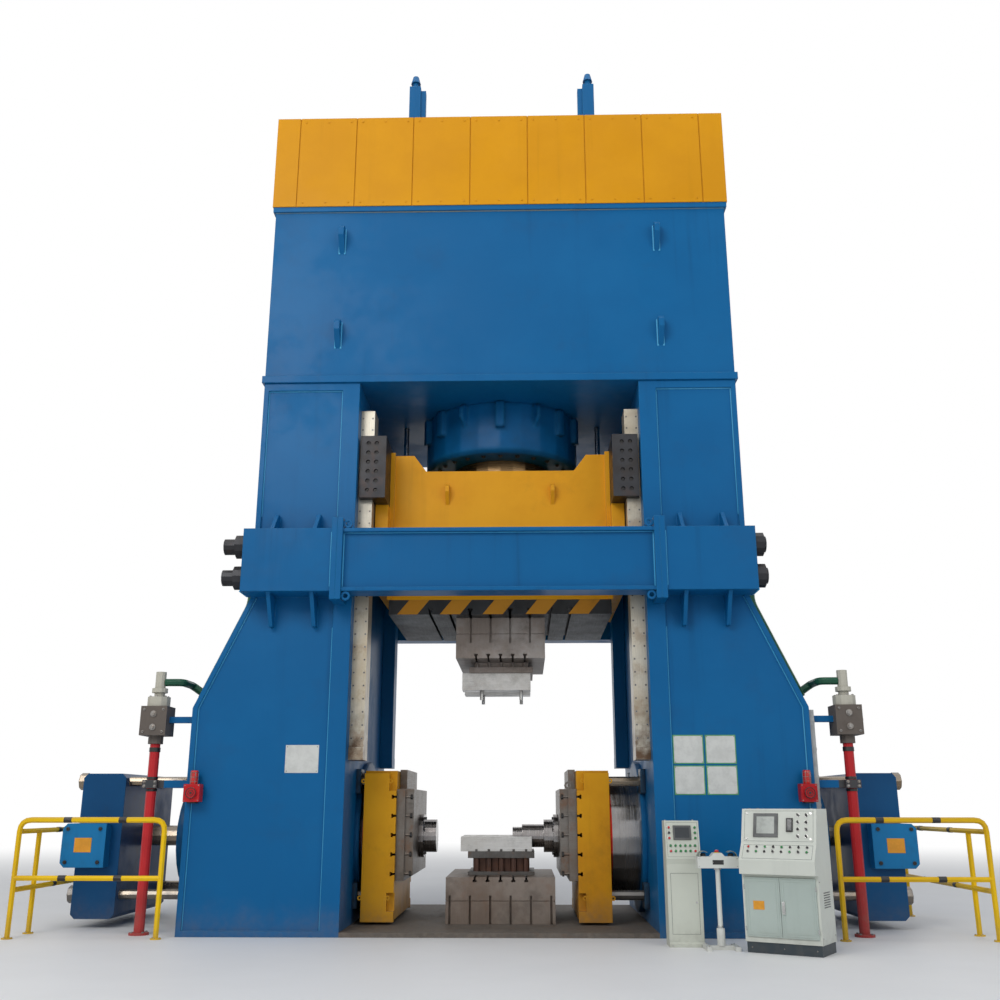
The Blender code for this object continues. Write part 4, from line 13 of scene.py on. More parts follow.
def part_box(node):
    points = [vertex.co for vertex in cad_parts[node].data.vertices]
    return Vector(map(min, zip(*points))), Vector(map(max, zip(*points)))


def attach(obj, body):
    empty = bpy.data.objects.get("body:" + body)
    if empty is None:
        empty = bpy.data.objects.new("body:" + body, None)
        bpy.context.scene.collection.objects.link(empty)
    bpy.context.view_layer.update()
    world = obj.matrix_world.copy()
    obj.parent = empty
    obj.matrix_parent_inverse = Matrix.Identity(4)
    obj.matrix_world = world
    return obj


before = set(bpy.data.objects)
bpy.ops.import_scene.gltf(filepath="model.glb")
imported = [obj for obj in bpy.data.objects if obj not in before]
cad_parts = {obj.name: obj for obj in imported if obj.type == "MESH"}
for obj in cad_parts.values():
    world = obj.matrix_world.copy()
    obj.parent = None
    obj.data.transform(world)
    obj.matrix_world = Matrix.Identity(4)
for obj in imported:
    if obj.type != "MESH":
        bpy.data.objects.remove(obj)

bl_info = {
    "name": "Forging Press Looks",
    "version": (1, 0, 0),
    "blender": (4, 5, 0),
    "location": "View3D > Sidebar > Press",
    "description": "Dresses a large hydraulic forging press in paint, steel and small fittings",
    "category": "Object",
}

CAMERA_PLACE = (0.29, -13.85, 1.36)
CAMERA_PITCH = 106.13
CAMERA_TURN = 1.30
CAMERA_LENS = 38.05
CAMERA_SENSOR = 36.0
FLOOR_REACH = 150.0
FADE = (8.0, 30.0)          # from the press, where the floor turns white
SKY = (0.86, 0.91, 1.0, 1)
SKY_STRENGTH = 0.42
CLIP_END = 300

SEAT = 0.0003               # between a fitting and what carries it
SINK = 0.002                # a fitting's foot inside what carries it
EDGE = 0.001                # a painted zone's end, past or short of a face
BELOW = -1.0                # under every piece
MERGE = 0.00001             # points this close become one
HEX = 6
SMALL = 12                  # sides of a small screw
ROUND = 20
FULL = 2 * math.pi
SIDES = (-1, 1)             # left and right, or front and rear


def low(node):
    """The lowest corner of a node."""
    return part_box(node)[0]


def high(node):
    """The highest corner of a node."""
    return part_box(node)[1]


class PressPaint(bpy.types.PropertyGroup):
    """Colours of the press's finishes."""
    frame_blue: bpy.props.FloatVectorProperty(
        name="Frame blue", description="Enamel on the frame", subtype="COLOR",
        default=(0.001, 0.108, 0.290), min=0, max=1)
    slide_yellow: bpy.props.FloatVectorProperty(
        name="Slide yellow", description="Enamel on the slide and the platens", subtype="COLOR",
        default=(0.840, 0.385, 0.014), min=0, max=1)
    shroud_yellow: bpy.props.FloatVectorProperty(
        name="Shroud yellow", description="Paint on the sheet-steel shroud", subtype="COLOR",
        default=(0.700, 0.310, 0.003), min=0, max=1)
    cabinet_white: bpy.props.FloatVectorProperty(
        name="Cabinet off-white", description="Powder coat on the console", subtype="COLOR",
        default=(0.700, 0.725, 0.655), min=0, max=1)
    riser_red: bpy.props.FloatVectorProperty(
        name="Riser red", description="Paint on the riser pipes", subtype="COLOR",
        default=(0.560, 0.030, 0.035), min=0, max=1)
    rail_yellow: bpy.props.FloatVectorProperty(
        name="Rail yellow", description="Paint on the guard rails", subtype="COLOR",
        default=(0.900, 0.570, 0.008), min=0, max=1)


class PressSizes(bpy.types.PropertyGroup):
    """Sizes of the fittings that dress the press."""
    weld_width: bpy.props.FloatProperty(
        name="Weld bead", description="Width of a weld bead", default=0.024, unit="LENGTH")
    bolt_radius: bpy.props.FloatProperty(
        name="Flange bolt", description="Radius of a flange bolt's head", default=0.030,
        unit="LENGTH")
    screw_radius: bpy.props.FloatProperty(
        name="Rail screw", description="Radius of a guide rail's screw", default=0.013,
        unit="LENGTH")
    stripe_count: bpy.props.IntProperty(
        name="Hazard stripes", description="Stripes on the front of the slide plate", default=5)
    stripe_width: bpy.props.FloatProperty(
        name="Stripe width", description="Width of a hazard stripe", default=0.247, unit="LENGTH")
    plate_gap: bpy.props.FloatProperty(
        name="Plate gap", description="Between two bare plates", default=0.016, unit="LENGTH")


class Shade:
    """Adds and links the nodes of one shader tree."""

    def __init__(self, tree):
        self.tree = tree

    def add(self, kind, settings=None, **inputs):
        """A node with its settings; an input is a value or another node's output."""
        node = self.tree.nodes.new(kind)
        for name, value in (settings or {}).items():
            setattr(node, name, value)
        for name, value in inputs.items():
            self.feed(node, name.replace("_", " "), value)
        return node

    def feed(self, node, name, value):
        """Set or link one input, found by its name or its place."""
        socket = node.inputs[int(name[1:])] if name[1:].isdigit() else node.inputs[name]
        if isinstance(value, bpy.types.NodeSocket):
            self.tree.links.new(value, socket)
        else:
            socket.default_value = value

    def math(self, operation, first, second=0.0, clamp=False):
        """The result of one sum."""
        return self.add("ShaderNodeMath", {"operation": operation, "use_clamp": clamp},
                        i0=first, i1=second).outputs[0]

    def ramp(self, value, start, end, low=0.0, high=1.0):
        """A value moved smoothly from one range to another and clamped."""
        node = self.add("ShaderNodeMapRange", {"interpolation_type": "SMOOTHSTEP"}, Value=value,
                        i1=start, i2=end, i3=low, i4=high)
        return node.outputs["Result"]

    def mix(self, share, first, second):
        """A colour between two."""
        node = self.add("ShaderNodeMix", {"data_type": "RGBA"})
        self.feed(node, "i0", share)
        for place, colour in ((6, first), (7, second)):
            value = colour if isinstance(colour, bpy.types.NodeSocket) else (*tuple(colour)[:3], 1)
            self.feed(node, f"i{place}", value)
        return node.outputs[2]

    def place(self):
        """Object coordinates."""
        return self.add("ShaderNodeTexCoord").outputs["Object"]

    def stretched(self, scale):
        """Object coordinates drawn out by a scale for each axis."""
        return self.add("ShaderNodeMapping", Vector=self.place(), Scale=scale).outputs[0]

    def noise(self, vector, scale, detail=4.0, rough=0.55):
        """Cloudy noise from 0 to 1."""
        return self.add("ShaderNodeTexNoise", Vector=vector, Scale=scale, Detail=detail,
                        Roughness=rough).outputs["Fac"]


def group(name, inputs, outputs, build):
    """A shader node group, built once."""
    found = bpy.data.node_groups.get(name)
    if found:
        return found
    made = bpy.data.node_groups.new(name, "ShaderNodeTree")
    for title, value in inputs:
        made.interface.new_socket(title, in_out="INPUT", socket_type="NodeSocketFloat").default_value = value
    for title, kind in outputs:
        made.interface.new_socket(title, in_out="OUTPUT", socket_type=kind)
    shade = Shade(made)
    entry, leave = made.nodes.new("NodeGroupInput"), made.nodes.new("NodeGroupOutput")
    for title, socket in build(shade, entry).items():
        made.links.new(socket, leave.inputs[title])
    return made


def edge_wear():
    """Where edges are rubbed, and the rounded normal that makes them catch light."""
    def build(shade, entry):
        """Compare the rounded normal with the flat one."""
        bevel = shade.add("ShaderNodeBevel", {"samples": 4}, Radius=entry.outputs["Width"])
        normal = shade.add("ShaderNodeNewGeometry").outputs["Normal"]
        dot = shade.add("ShaderNodeVectorMath", {"operation": "DOT_PRODUCT"}, i0=bevel.outputs[0],
                        i1=normal).outputs["Value"]
        rub = shade.math("MULTIPLY", shade.math("SUBTRACT", 1.0, dot), 6.0, True)
        broken = shade.ramp(shade.noise(shade.place(), 9.0, 6.0, 0.7), 0.42, 0.62)
        mask = shade.math("MULTIPLY", shade.math("MULTIPLY", rub, broken), entry.outputs["Amount"], True)
        return {"Mask": mask, "Edge": rub, "Normal": bevel.outputs[0]}
    return group("Edge Wear", [("Width", 0.01), ("Amount", 1.0)],
                 [("Mask", "NodeSocketFloat"), ("Edge", "NodeSocketFloat"),
                  ("Normal", "NodeSocketVector")], build)


def run_streaks():
    """Vertical streaks of water and oil."""
    def build(shade, entry):
        """Noise drawn out along Z, broken up by a larger cloud."""
        fine = shade.noise(shade.stretched((7.0, 7.0, 0.30)), entry.outputs["Scale"], 5.0, 0.6)
        cloud = shade.noise(shade.stretched((0.8, 0.8, 0.35)), 1.0, 3.0)
        line = shade.ramp(fine, 0.52, 0.78)
        mask = shade.math("MULTIPLY", line, shade.ramp(cloud, 0.40, 0.70))
        return {"Mask": shade.math("MULTIPLY", mask, entry.outputs["Amount"], True)}
    return group("Run Streaks", [("Scale", 1.0), ("Amount", 1.0)], [("Mask", "NodeSocketFloat")], build)


def floor_dust():
    """Dust and splashes that thin out above the floor, and dust on upward faces."""
    def build(shade, entry):
        """A height gradient broken by noise, plus the upward part of the normal."""
        z = shade.add("ShaderNodeSeparateXYZ", Vector=shade.place()).outputs["Z"]
        ragged = shade.math("ADD", z, shade.math("MULTIPLY", shade.noise(shade.place(), 3.0), -0.5))
        low_mask = shade.ramp(ragged, entry.outputs["Height"], -0.25)
        up = shade.add("ShaderNodeSeparateXYZ",
                       Vector=shade.add("ShaderNodeNewGeometry").outputs["Normal"]).outputs["Z"]
        top = shade.math("MULTIPLY", shade.ramp(up, 0.55, 0.98), entry.outputs["Tops"])
        grain = shade.ramp(shade.noise(shade.place(), 14.0, 5.0), 0.30, 0.75)
        both = shade.math("MAXIMUM", shade.math("MULTIPLY", low_mask, entry.outputs["Amount"]), top)
        return {"Mask": shade.math("MULTIPLY", both, shade.ramp(grain, 0.0, 1.0, 0.55, 1.0), True)}
    return group("Floor Dust", [("Height", 0.5), ("Amount", 0.6), ("Tops", 0.5)],
                 [("Mask", "NodeSocketFloat")], build)


def blotches():
    """Soft blotches of two sizes, from 0 to 1."""
    def build(shade, entry):
        """A large cloud with smaller ones in it."""
        large = shade.noise(shade.place(), entry.outputs["Scale"], 3.0)
        small = shade.noise(shade.place(), shade.math("MULTIPLY", entry.outputs["Scale"], 6.0), 6.0, 0.65)
        both = shade.math("ADD", shade.math("MULTIPLY", large, 0.7), shade.math("MULTIPLY", small, 0.3))
        return {"Mask": shade.ramp(both, entry.outputs["Start"], entry.outputs["End"])}
    return group("Blotches", [("Scale", 1.0), ("Start", 0.40), ("End", 0.62)],
                 [("Mask", "NodeSocketFloat")], build)


def machined_grain():
    """Fine tool marks, drawn out along one axis of the piece."""
    def build(shade, entry):
        """Noise whose scale differs for each axis."""
        scale = shade.add("ShaderNodeCombineXYZ", X=entry.outputs["Across X"],
                          Y=entry.outputs["Across Y"], Z=entry.outputs["Across Z"]).outputs[0]
        vector = shade.add("ShaderNodeVectorMath", {"operation": "MULTIPLY"}, i0=shade.place(),
                           i1=scale).outputs[0]
        return {"Mask": shade.noise(vector, 1.0, 5.0, 0.7)}
    return group("Machined Grain", [("Across X", 4.0), ("Across Y", 4.0), ("Across Z", 160.0)],
                 [("Mask", "NodeSocketFloat")], build)


def use(shade, made, **values):
    """Place a group in a material with its own values."""
    node = shade.add("ShaderNodeGroup", {"node_tree": made})
    for name, value in values.items():
        shade.feed(node, name.replace("_", " "), value)
    return node


def fresh(name):
    """The shade helper and the Principled shader of a new material."""
    made = bpy.data.materials.new(name)
    made.use_nodes = True
    return Shade(made.node_tree), made.node_tree.nodes["Principled BSDF"]


DUST = (0.160, 0.135, 0.110)
OIL = (0.030, 0.022, 0.015)
BARE = (0.330, 0.340, 0.350)
RUST = (0.170, 0.065, 0.022)
ENAMEL_SHINE = 0.17         # of the enamels' mirror-like share
RUN_SHADE = 0.45            # of a colour where water and oil have run
EDGE_TINT = 0.22            # of the rubbed colour beside a worn edge
GRAIN_SHADE = 0.72          # of a metal's colour in its tool marks
EDGE_SHINE = 1.9            # of a metal's colour on its rubbed edges


def enamel(name, colour, fade, gloss=0.38, streaks=0.35, oil=0.0, dust=0.5, tops=0.35, wear=0.5,
           width=0.012, rub=None, tone=None, bare=None, reach=0.5):
    """Enamel on steel: faded clouds, runs, oil, dust by the floor and rubbed edges."""
    shade, shader = fresh(name)
    shader.inputs["Specular IOR Level"].default_value = ENAMEL_SHINE
    base = shade.mix(use(shade, blotches(), Scale=0.35).outputs["Mask"], colour, fade)
    if tone:
        base = tone(shade, base)
    runs = use(shade, run_streaks(), Amount=streaks).outputs["Mask"]
    base = shade.mix(runs, base, [share * RUN_SHADE for share in colour])
    if oil:
        spots = use(shade, blotches(), Scale=1.3, Start=0.53, End=0.68).outputs["Mask"]
        base = shade.mix(shade.math("MULTIPLY", spots, oil), base, OIL)
    edge = use(shade, edge_wear(), Width=width, Amount=wear)
    base = shade.mix(shade.math("MULTIPLY", edge.outputs["Edge"], EDGE_TINT), base, rub or fade)
    base = shade.mix(edge.outputs["Mask"], base, rub or BARE)
    dirt = use(shade, floor_dust(), Height=reach, Amount=dust, Tops=tops).outputs["Mask"]
    base = shade.mix(dirt, base, DUST)
    cloud = use(shade, blotches(), Scale=0.9).outputs["Mask"]
    rough = shade.ramp(cloud, 0.0, 1.0, gloss - 0.06, gloss + 0.10)
    if bare:
        shown = bare(shade)
        steel = shade.mix(cloud, (0.300, 0.245, 0.185), (0.210, 0.200, 0.190))
        base = shade.mix(shown, base, steel)
        shade.feed(shader, "Metallic", shade.math("MULTIPLY", shown, 0.85))
        rough = shade.math("SUBTRACT", rough, shade.math("MULTIPLY", shown, 0.12), True)
    shade.feed(shader, "Base Color", base)
    shade.feed(shader, "Roughness", shade.math("ADD", rough, shade.math("MULTIPLY", dirt, 0.35), True))
    peel = shade.noise(shade.place(), 90.0, 2.0)
    buckle = shade.noise(shade.place(), 0.9, 2.0)
    height = shade.math("ADD", shade.math("MULTIPLY", peel, 0.02), buckle)
    bump = shade.add("ShaderNodeBump", Strength=0.25, Distance=0.012, Height=height,
                     Normal=edge.outputs["Normal"])
    shade.feed(shader, "Normal", bump.outputs[0])


def metal(name, colour, tint, grain=(4.0, 4.0, 160.0), gloss=0.34, metallic=0.85, oil=0.35, scale=1.1,
          rust=0.0, dust=0.25, bump=0.0012, wear=0.7, width=0.006, tone=None):
    """Bare steel: tool marks, oily blotches, heat tint or rust, and bright rubbed edges."""
    shade, shader = fresh(name)
    marks = use(shade, machined_grain(), Across_X=grain[0], Across_Y=grain[1],
                Across_Z=grain[2]).outputs["Mask"]
    base = shade.mix(shade.ramp(marks, 0.30, 0.70), [share * GRAIN_SHADE for share in colour], colour)
    base = shade.mix(use(shade, blotches(), Scale=scale).outputs["Mask"], base, tint)
    if tone:
        base = tone(shade, base)
    spots = use(shade, blotches(), Scale=scale * 1.7, Start=0.50, End=0.66).outputs["Mask"]
    base = shade.mix(shade.math("MULTIPLY", spots, oil), base, OIL)
    if rust:
        flecks = use(shade, blotches(), Scale=scale * 4.0, Start=0.52, End=0.64).outputs["Mask"]
        base = shade.mix(shade.math("MULTIPLY", flecks, rust), base, RUST)
    edge = use(shade, edge_wear(), Width=width, Amount=wear)
    base = shade.mix(edge.outputs["Mask"], base, [min(1.0, share * EDGE_SHINE) for share in colour])
    dirt = use(shade, floor_dust(), Amount=dust, Tops=dust).outputs["Mask"]
    base = shade.mix(dirt, base, DUST)
    shade.feed(shader, "Base Color", base)
    shade.feed(shader, "Metallic", shade.math("MULTIPLY", shade.math("SUBTRACT", 1.0, dirt), metallic))
    rough = shade.ramp(marks, 0.25, 0.75, gloss - 0.08, gloss + 0.12)
    shade.feed(shader, "Roughness", shade.math("ADD", rough, shade.math("MULTIPLY", dirt, 0.4), True))
    lift = shade.add("ShaderNodeBump", Strength=0.5, Distance=bump, Height=marks,
                     Normal=edge.outputs["Normal"])
    shade.feed(shader, "Normal", lift.outputs[0])


def plain(name, colour, rough=0.45, metallic=0.0, speck=0.25):
    """A small fitting's finish, with a little mottling and soft edges."""
    shade, shader = fresh(name)
    cloud = use(shade, blotches(), Scale=6.0).outputs["Mask"]
    edge = use(shade, edge_wear(), Width=0.002, Amount=0.3)
    dark = [share * (1 - speck) for share in colour]
    shade.feed(shader, "Base Color", shade.mix(cloud, colour, dark))
    shade.feed(shader, "Roughness", shade.ramp(cloud, 0.0, 1.0, rough - 0.05, rough + 0.1))
    shader.inputs["Metallic"].default_value = metallic
    shade.feed(shader, "Normal", edge.outputs["Normal"])


def span(shade, value, start, end):
    """1 where a value lies between two others."""
    above = shade.math("GREATER_THAN", value, start)
    return shade.math("MULTIPLY", above, shade.math("LESS_THAN", value, end))


def zone(shade, x=None, y=None, z=None):
    """1 inside a box of the press, the same on its left and right sides."""
    parts = shade.add("ShaderNodeSeparateXYZ", Vector=shade.place()).outputs
    mask = None
    for socket, limits in ((shade.math("ABSOLUTE", parts["X"]), x), (parts["Y"], y), (parts["Z"], z)):
        if limits:
            inside = span(shade, socket, *limits)
            mask = shade.math("MULTIPLY", mask, inside) if mask else inside
    return mask


def round_off(bm, edges, width):
    """Bevel edges, each once and always in the same order."""
    bmesh.ops.bevel(bm, geom=list(dict.fromkeys(edges)), offset=width, offset_type="OFFSET", segments=2,
                    profile=0.5, affect="EDGES", clamp_overlap=True, material=-1)


def settle(bm, verts, local, soften, paint, place):
    """Move new geometry into place, paint it and soften its edges."""
    bmesh.ops.transform(bm, matrix=place @ local, verts=verts)
    for face in dict.fromkeys(face for vert in verts for face in vert.link_faces):
        face.material_index = paint
    if soften:
        round_off(bm, (edge for vert in verts for edge in vert.link_edges), soften)


def bar(bm, corner, far_corner, soften=0.0, paint=0, place=Matrix()):
    """A block between two corners."""
    corner, far_corner = Vector(corner), Vector(far_corner)
    size = far_corner - corner
    local = Matrix.Translation((corner + far_corner) / 2) @ Matrix.Diagonal((*size, 1))
    settle(bm, bmesh.ops.create_cube(bm, size=1)["verts"], local, soften, paint, place)


def stud(bm, foot, axis, radius, height, sides=ROUND, soften=0.0, paint=0, end=None, place=Matrix()):
    """A round or six-sided piece that stands on foot along axis."""
    foot, axis = Vector(foot), Vector(axis).normalized()
    turn = axis.to_track_quat("Z", "Y").to_matrix().to_4x4()
    local = Matrix.Translation(foot + axis * height / 2) @ turn
    made = bmesh.ops.create_cone(bm, cap_ends=True, segments=sides, radius1=radius,
                                 radius2=radius if end is None else end, depth=height)
    settle(bm, made["verts"], local, 0, paint, place)
    if soften:
        faces = dict.fromkeys(face for vert in made["verts"] for face in vert.link_faces)
        caps = [face for face in faces if len(face.verts) == sides]
        round_off(bm, (edge for face in caps for edge in face.edges), soften)


def bolt(bm, foot, axis, radius, paint=0, place=Matrix()):
    """A hexagon bolt's head on its washer, with the bolt's end showing."""
    foot, axis = Vector(foot), Vector(axis).normalized()
    washer, head = radius * 0.22, radius * 0.75
    stud(bm, foot - axis * SINK, axis, radius * 1.4, washer + SINK, soften=radius * 0.06, paint=paint,
         place=place)
    stud(bm, foot + axis * (washer - SEAT), axis, radius, head, sides=HEX, soften=radius * 0.10,
         paint=paint, place=place)
    stud(bm, foot + axis * (washer + head - SINK / 2), axis, radius * 0.52, radius * 0.25,
         sides=ROUND // 2, soften=radius * 0.08, paint=paint, place=place)


def socket_screw(bm, foot, axis, radius, height, paint=0, dark=1, place=Matrix()):
    """A cap screw's head with its dark socket."""
    foot, axis = Vector(foot), Vector(axis).normalized()
    stud(bm, foot, axis, radius, height, soften=radius * 0.12, paint=paint, place=place)
    stud(bm, foot + axis * (height - SINK), axis, radius * 0.5, SINK + SEAT, sides=HEX, paint=dark,
         place=place)


def bead(bm, start, end, radius, paint=0):
    """A straight weld bead, half sunk in the corner or face that it lies on."""
    start, end = Vector(start), Vector(end)
    stud(bm, start, end - start, radius, (end - start).length, sides=ROUND // 2, soften=radius * 0.4,
         paint=paint)


def loop(bm, centre, axis, radius, wire, paint=0, place=Matrix()):
    """A ring of round wire about an axis."""
    before = set(bm.faces)
    turn = Vector(axis).normalized().to_track_quat("Z", "Y").to_matrix().to_4x4()
    whole = place @ Matrix.Translation(Vector(centre)) @ turn
    stand = Matrix.Translation((radius, 0, 0)) @ Matrix.Rotation(math.pi / 2, 4, "X")
    verts = bmesh.ops.create_circle(bm, cap_ends=False, segments=HEX + 2, radius=wire)["verts"]
    bmesh.ops.transform(bm, matrix=whole @ stand, verts=verts)
    edges = list(dict.fromkeys(edge for vert in verts for edge in vert.link_edges))
    bmesh.ops.spin(bm, geom=edges, cent=whole.translation, axis=whole.to_3x3() @ Vector((0, 0, 1)),
                   angle=FULL, steps=ROUND, use_merge=True)
    for face in bm.faces:
        if face not in before:
            face.material_index = paint


def around(count, radius, start=0.0):
    """Evenly spaced places on a circle, as pairs."""
    for index in range(count):
        turn = start + FULL * index / count
        yield radius * math.cos(turn), radius * math.sin(turn)


def steps(start, end, count):
    """Evenly spaced values with both ends."""
    return [start + (end - start) * index / (count - 1) for index in range(count)]


def pairs(first, second):
    """Each value of one list with each of another."""
    return [(a, b) for a in first for b in second]


def piece(name, body, paints, build, smooth=False):
    """A new piece: its mesh from build, its paints, and the body that carries it."""
    bm = bmesh.new()
    build(bm)
    bmesh.ops.remove_doubles(bm, verts=bm.verts, dist=MERGE)
    bmesh.ops.recalc_face_normals(bm, faces=bm.faces)
    mesh = bpy.data.meshes.new(name)
    bm.to_mesh(mesh)
    bm.free()
    for paint in paints:
        mesh.materials.append(finish_named(paint))
    if smooth:
        mesh.polygons.foreach_set("use_smooth", [True] * len(mesh.polygons))
    made = bpy.data.objects.new(name, mesh)
    bpy.context.collection.objects.link(made)
    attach(made, body)


CREAM = (0.520, 0.500, 0.420)
CLAY = (0.090, 0.046, 0.034)
SHIELD_GREEN = (0.200, 0.235, 0.205)
WINDOW = 1.72               # half the opening between the uprights
FRAME_EDGE, FOOT_EDGE = 2.91, 3.49
RAM_LEVEL = 1.0
RISER_X, RISER_Y = 3.95, -1.50
CLAMP_LOW, CLAMP_HIGH, CLAMP_HALF = 1.55, 1.64, 0.085
VALVE_LOW, VALVE_TOP, VALVE_CAP_TOP, VALVE_STEM_TOP = 2.13, 2.46, 2.57, 2.86
VALVE_HALF = 0.15
PLINTH_TOP = 0.099
STAND_X, STAND_Y, STAND_TOP = 2.215, -2.60, 0.87
SHIELD_NEAR, SHIELD_FAR = 0.078, 0.285     # from the stand's middle
CLAMP_COLUMNS = (0.602, 0.754)             # between the lower die holder's plates
CROSSHEAD_FRONT, HUB_FRONT = -0.88, -1.04
LEFT_CROSSHEAD, RIGHT_CROSSHEAD = (-4.985, -4.475), (4.150, 4.660)
HUB_RISE = 0.50             # from the rams' axis, between a hub and its nuts
PULL_ROD_Y, PULL_ROD_RISE = 0.74, 0.64
GLAND_HALF, GLAND_DEPTH = 0.141, (1.65, WINDOW - 0.0005)
TRAY_EDGE, TRAY_TOP = FOOT_EDGE + 0.0005, 2.41
LEFT_PLATEN_BACK, RIGHT_PLATEN_BACK, LINE_WIDTH = -1.6055, 1.2805, 0.0445
GREASE_TOP, GREASE_FULL = 2.75, 1.95


def arms_blue(shade, base):
    """Paint the arm that joins a riser or valve block to the upright blue."""
    return shade.mix(zone(shade, x=(0, RISER_X - VALVE_HALF)), base, tuple(colours().frame_blue))


def clamp_dark(shade, base):
    """A blue arm, and a dark clamp around the riser."""
    base = arms_blue(shade, base)
    clamp = zone(shade, x=(RISER_X - VALVE_HALF, RISER_X + VALVE_HALF),
                 z=(CLAMP_LOW - EDGE, CLAMP_HIGH + EDGE))
    return shade.mix(clamp, base, (0.060, 0.062, 0.066))


def cap_cream(shade, base):
    """A blue arm, and a cream cap on the valve block."""
    base = arms_blue(shade, base)
    return shade.mix(zone(shade, z=(VALVE_TOP + EDGE, VALVE_STEM_TOP + EDGE)), base, CREAM)


def panel_tones(shade, base):
    """A dark plinth under the console."""
    return shade.mix(zone(shade, z=(BELOW, PLINTH_TOP)), base, (0.035, 0.055, 0.070))


def stand_tones(shade, base):
    """Grey-green shields over the palm buttons."""
    for near, far in ((SHIELD_NEAR, SHIELD_FAR), (-SHIELD_FAR, -SHIELD_NEAR)):
        shield = zone(shade, x=(STAND_X + near, STAND_X + far), z=(STAND_TOP + EDGE / 2, STAND_TOP + 0.13))
        base = shade.mix(shield, base, SHIELD_GREEN)
    return base


def columns_clay(shade, base):
    """Red-brown clamp columns between the plates of the lower die holder."""
    return shade.mix(zone(shade, z=CLAMP_COLUMNS), base, CLAY)


def hub_blue(shade, base):
    """A lighter hub on a crosshead."""
    hub = zone(shade, y=(HUB_FRONT - 0.01, CROSSHEAD_FRONT - EDGE / 10))
    return shade.mix(hub, base, (0.012, 0.190, 0.440))


def rods_bare(shade):
    """1 on the steel pull rods, the return plungers and the nuts of both crossheads."""
    parts = shade.add("ShaderNodeSeparateXYZ", Vector=shade.place()).outputs
    rods = span(shade, parts["X"], LEFT_CROSSHEAD[1] + EDGE, RIGHT_CROSSHEAD[0] - EDGE)
    ends = shade.math("MAXIMUM", shade.math("LESS_THAN", parts["X"], LEFT_CROSSHEAD[0] - EDGE),
                      shade.math("GREATER_THAN", parts["X"], RIGHT_CROSSHEAD[1] + EDGE))
    rise = shade.math("ABSOLUTE", shade.math("SUBTRACT", parts["Z"], RAM_LEVEL))
    nuts = shade.math("MULTIPLY", ends, shade.math("GREATER_THAN", rise, HUB_RISE))
    return shade.math("MAXIMUM", rods, nuts)


def gland_dark(shade, base):
    """Dark blocks where the pull rods pass the side cylinders' flanges."""
    for level in (RAM_LEVEL - PULL_ROD_RISE, RAM_LEVEL + PULL_ROD_RISE):
        for y in (-PULL_ROD_Y, PULL_ROD_Y):
            block = zone(shade, x=GLAND_DEPTH, y=(y - GLAND_HALF, y + GLAND_HALF),
                         z=(level - GLAND_HALF, level + GLAND_HALF))
            base = shade.mix(block, base, (0.022, 0.028, 0.038))
    return base


def tray_grey(shade, base):
    """The light grey cable tray on the edge of the right upright."""
    tray = zone(shade, x=(TRAY_EDGE, TRAY_EDGE + 0.11), z=(BELOW, TRAY_TOP))
    return shade.mix(tray, base, (0.420, 0.430, 0.420))


def ram_line(shade, base):
    """A red line painted around each ram, close behind its platen."""
    x = shade.add("ShaderNodeSeparateXYZ", Vector=shade.place()).outputs["X"]
    line = shade.math("ADD", span(shade, x, RIGHT_PLATEN_BACK, RIGHT_PLATEN_BACK + LINE_WIDTH),
                      span(shade, x, LEFT_PLATEN_BACK - LINE_WIDTH, LEFT_PLATEN_BACK))
    return shade.mix(line, base, (0.420, 0.020, 0.012))


def rail_foot(shade, base):
    """Old grease and rust towards the foot of the guide rails."""
    z = shade.add("ShaderNodeSeparateXYZ", Vector=shade.place()).outputs["Z"]
    cloud = use(shade, blotches(), Scale=2.2, Start=0.42, End=0.62).outputs["Mask"]
    near = shade.ramp(z, GREASE_TOP, GREASE_FULL)
    return shade.mix(shade.math("MULTIPLY", near, cloud), base, (0.110, 0.060, 0.030))


def slot_smoke(shade, base):
    """Smoky bright patches on the underside of the slide's plate."""
    cloud = use(shade, blotches(), Scale=0.8, Start=0.42, End=0.66).outputs["Mask"]
    foot = low("slide_plate").z
    low_face = zone(shade, z=(foot - 0.01, foot + SINK))
    return shade.mix(shade.math("MULTIPLY", cloud, low_face), base, (0.165, 0.178, 0.180))


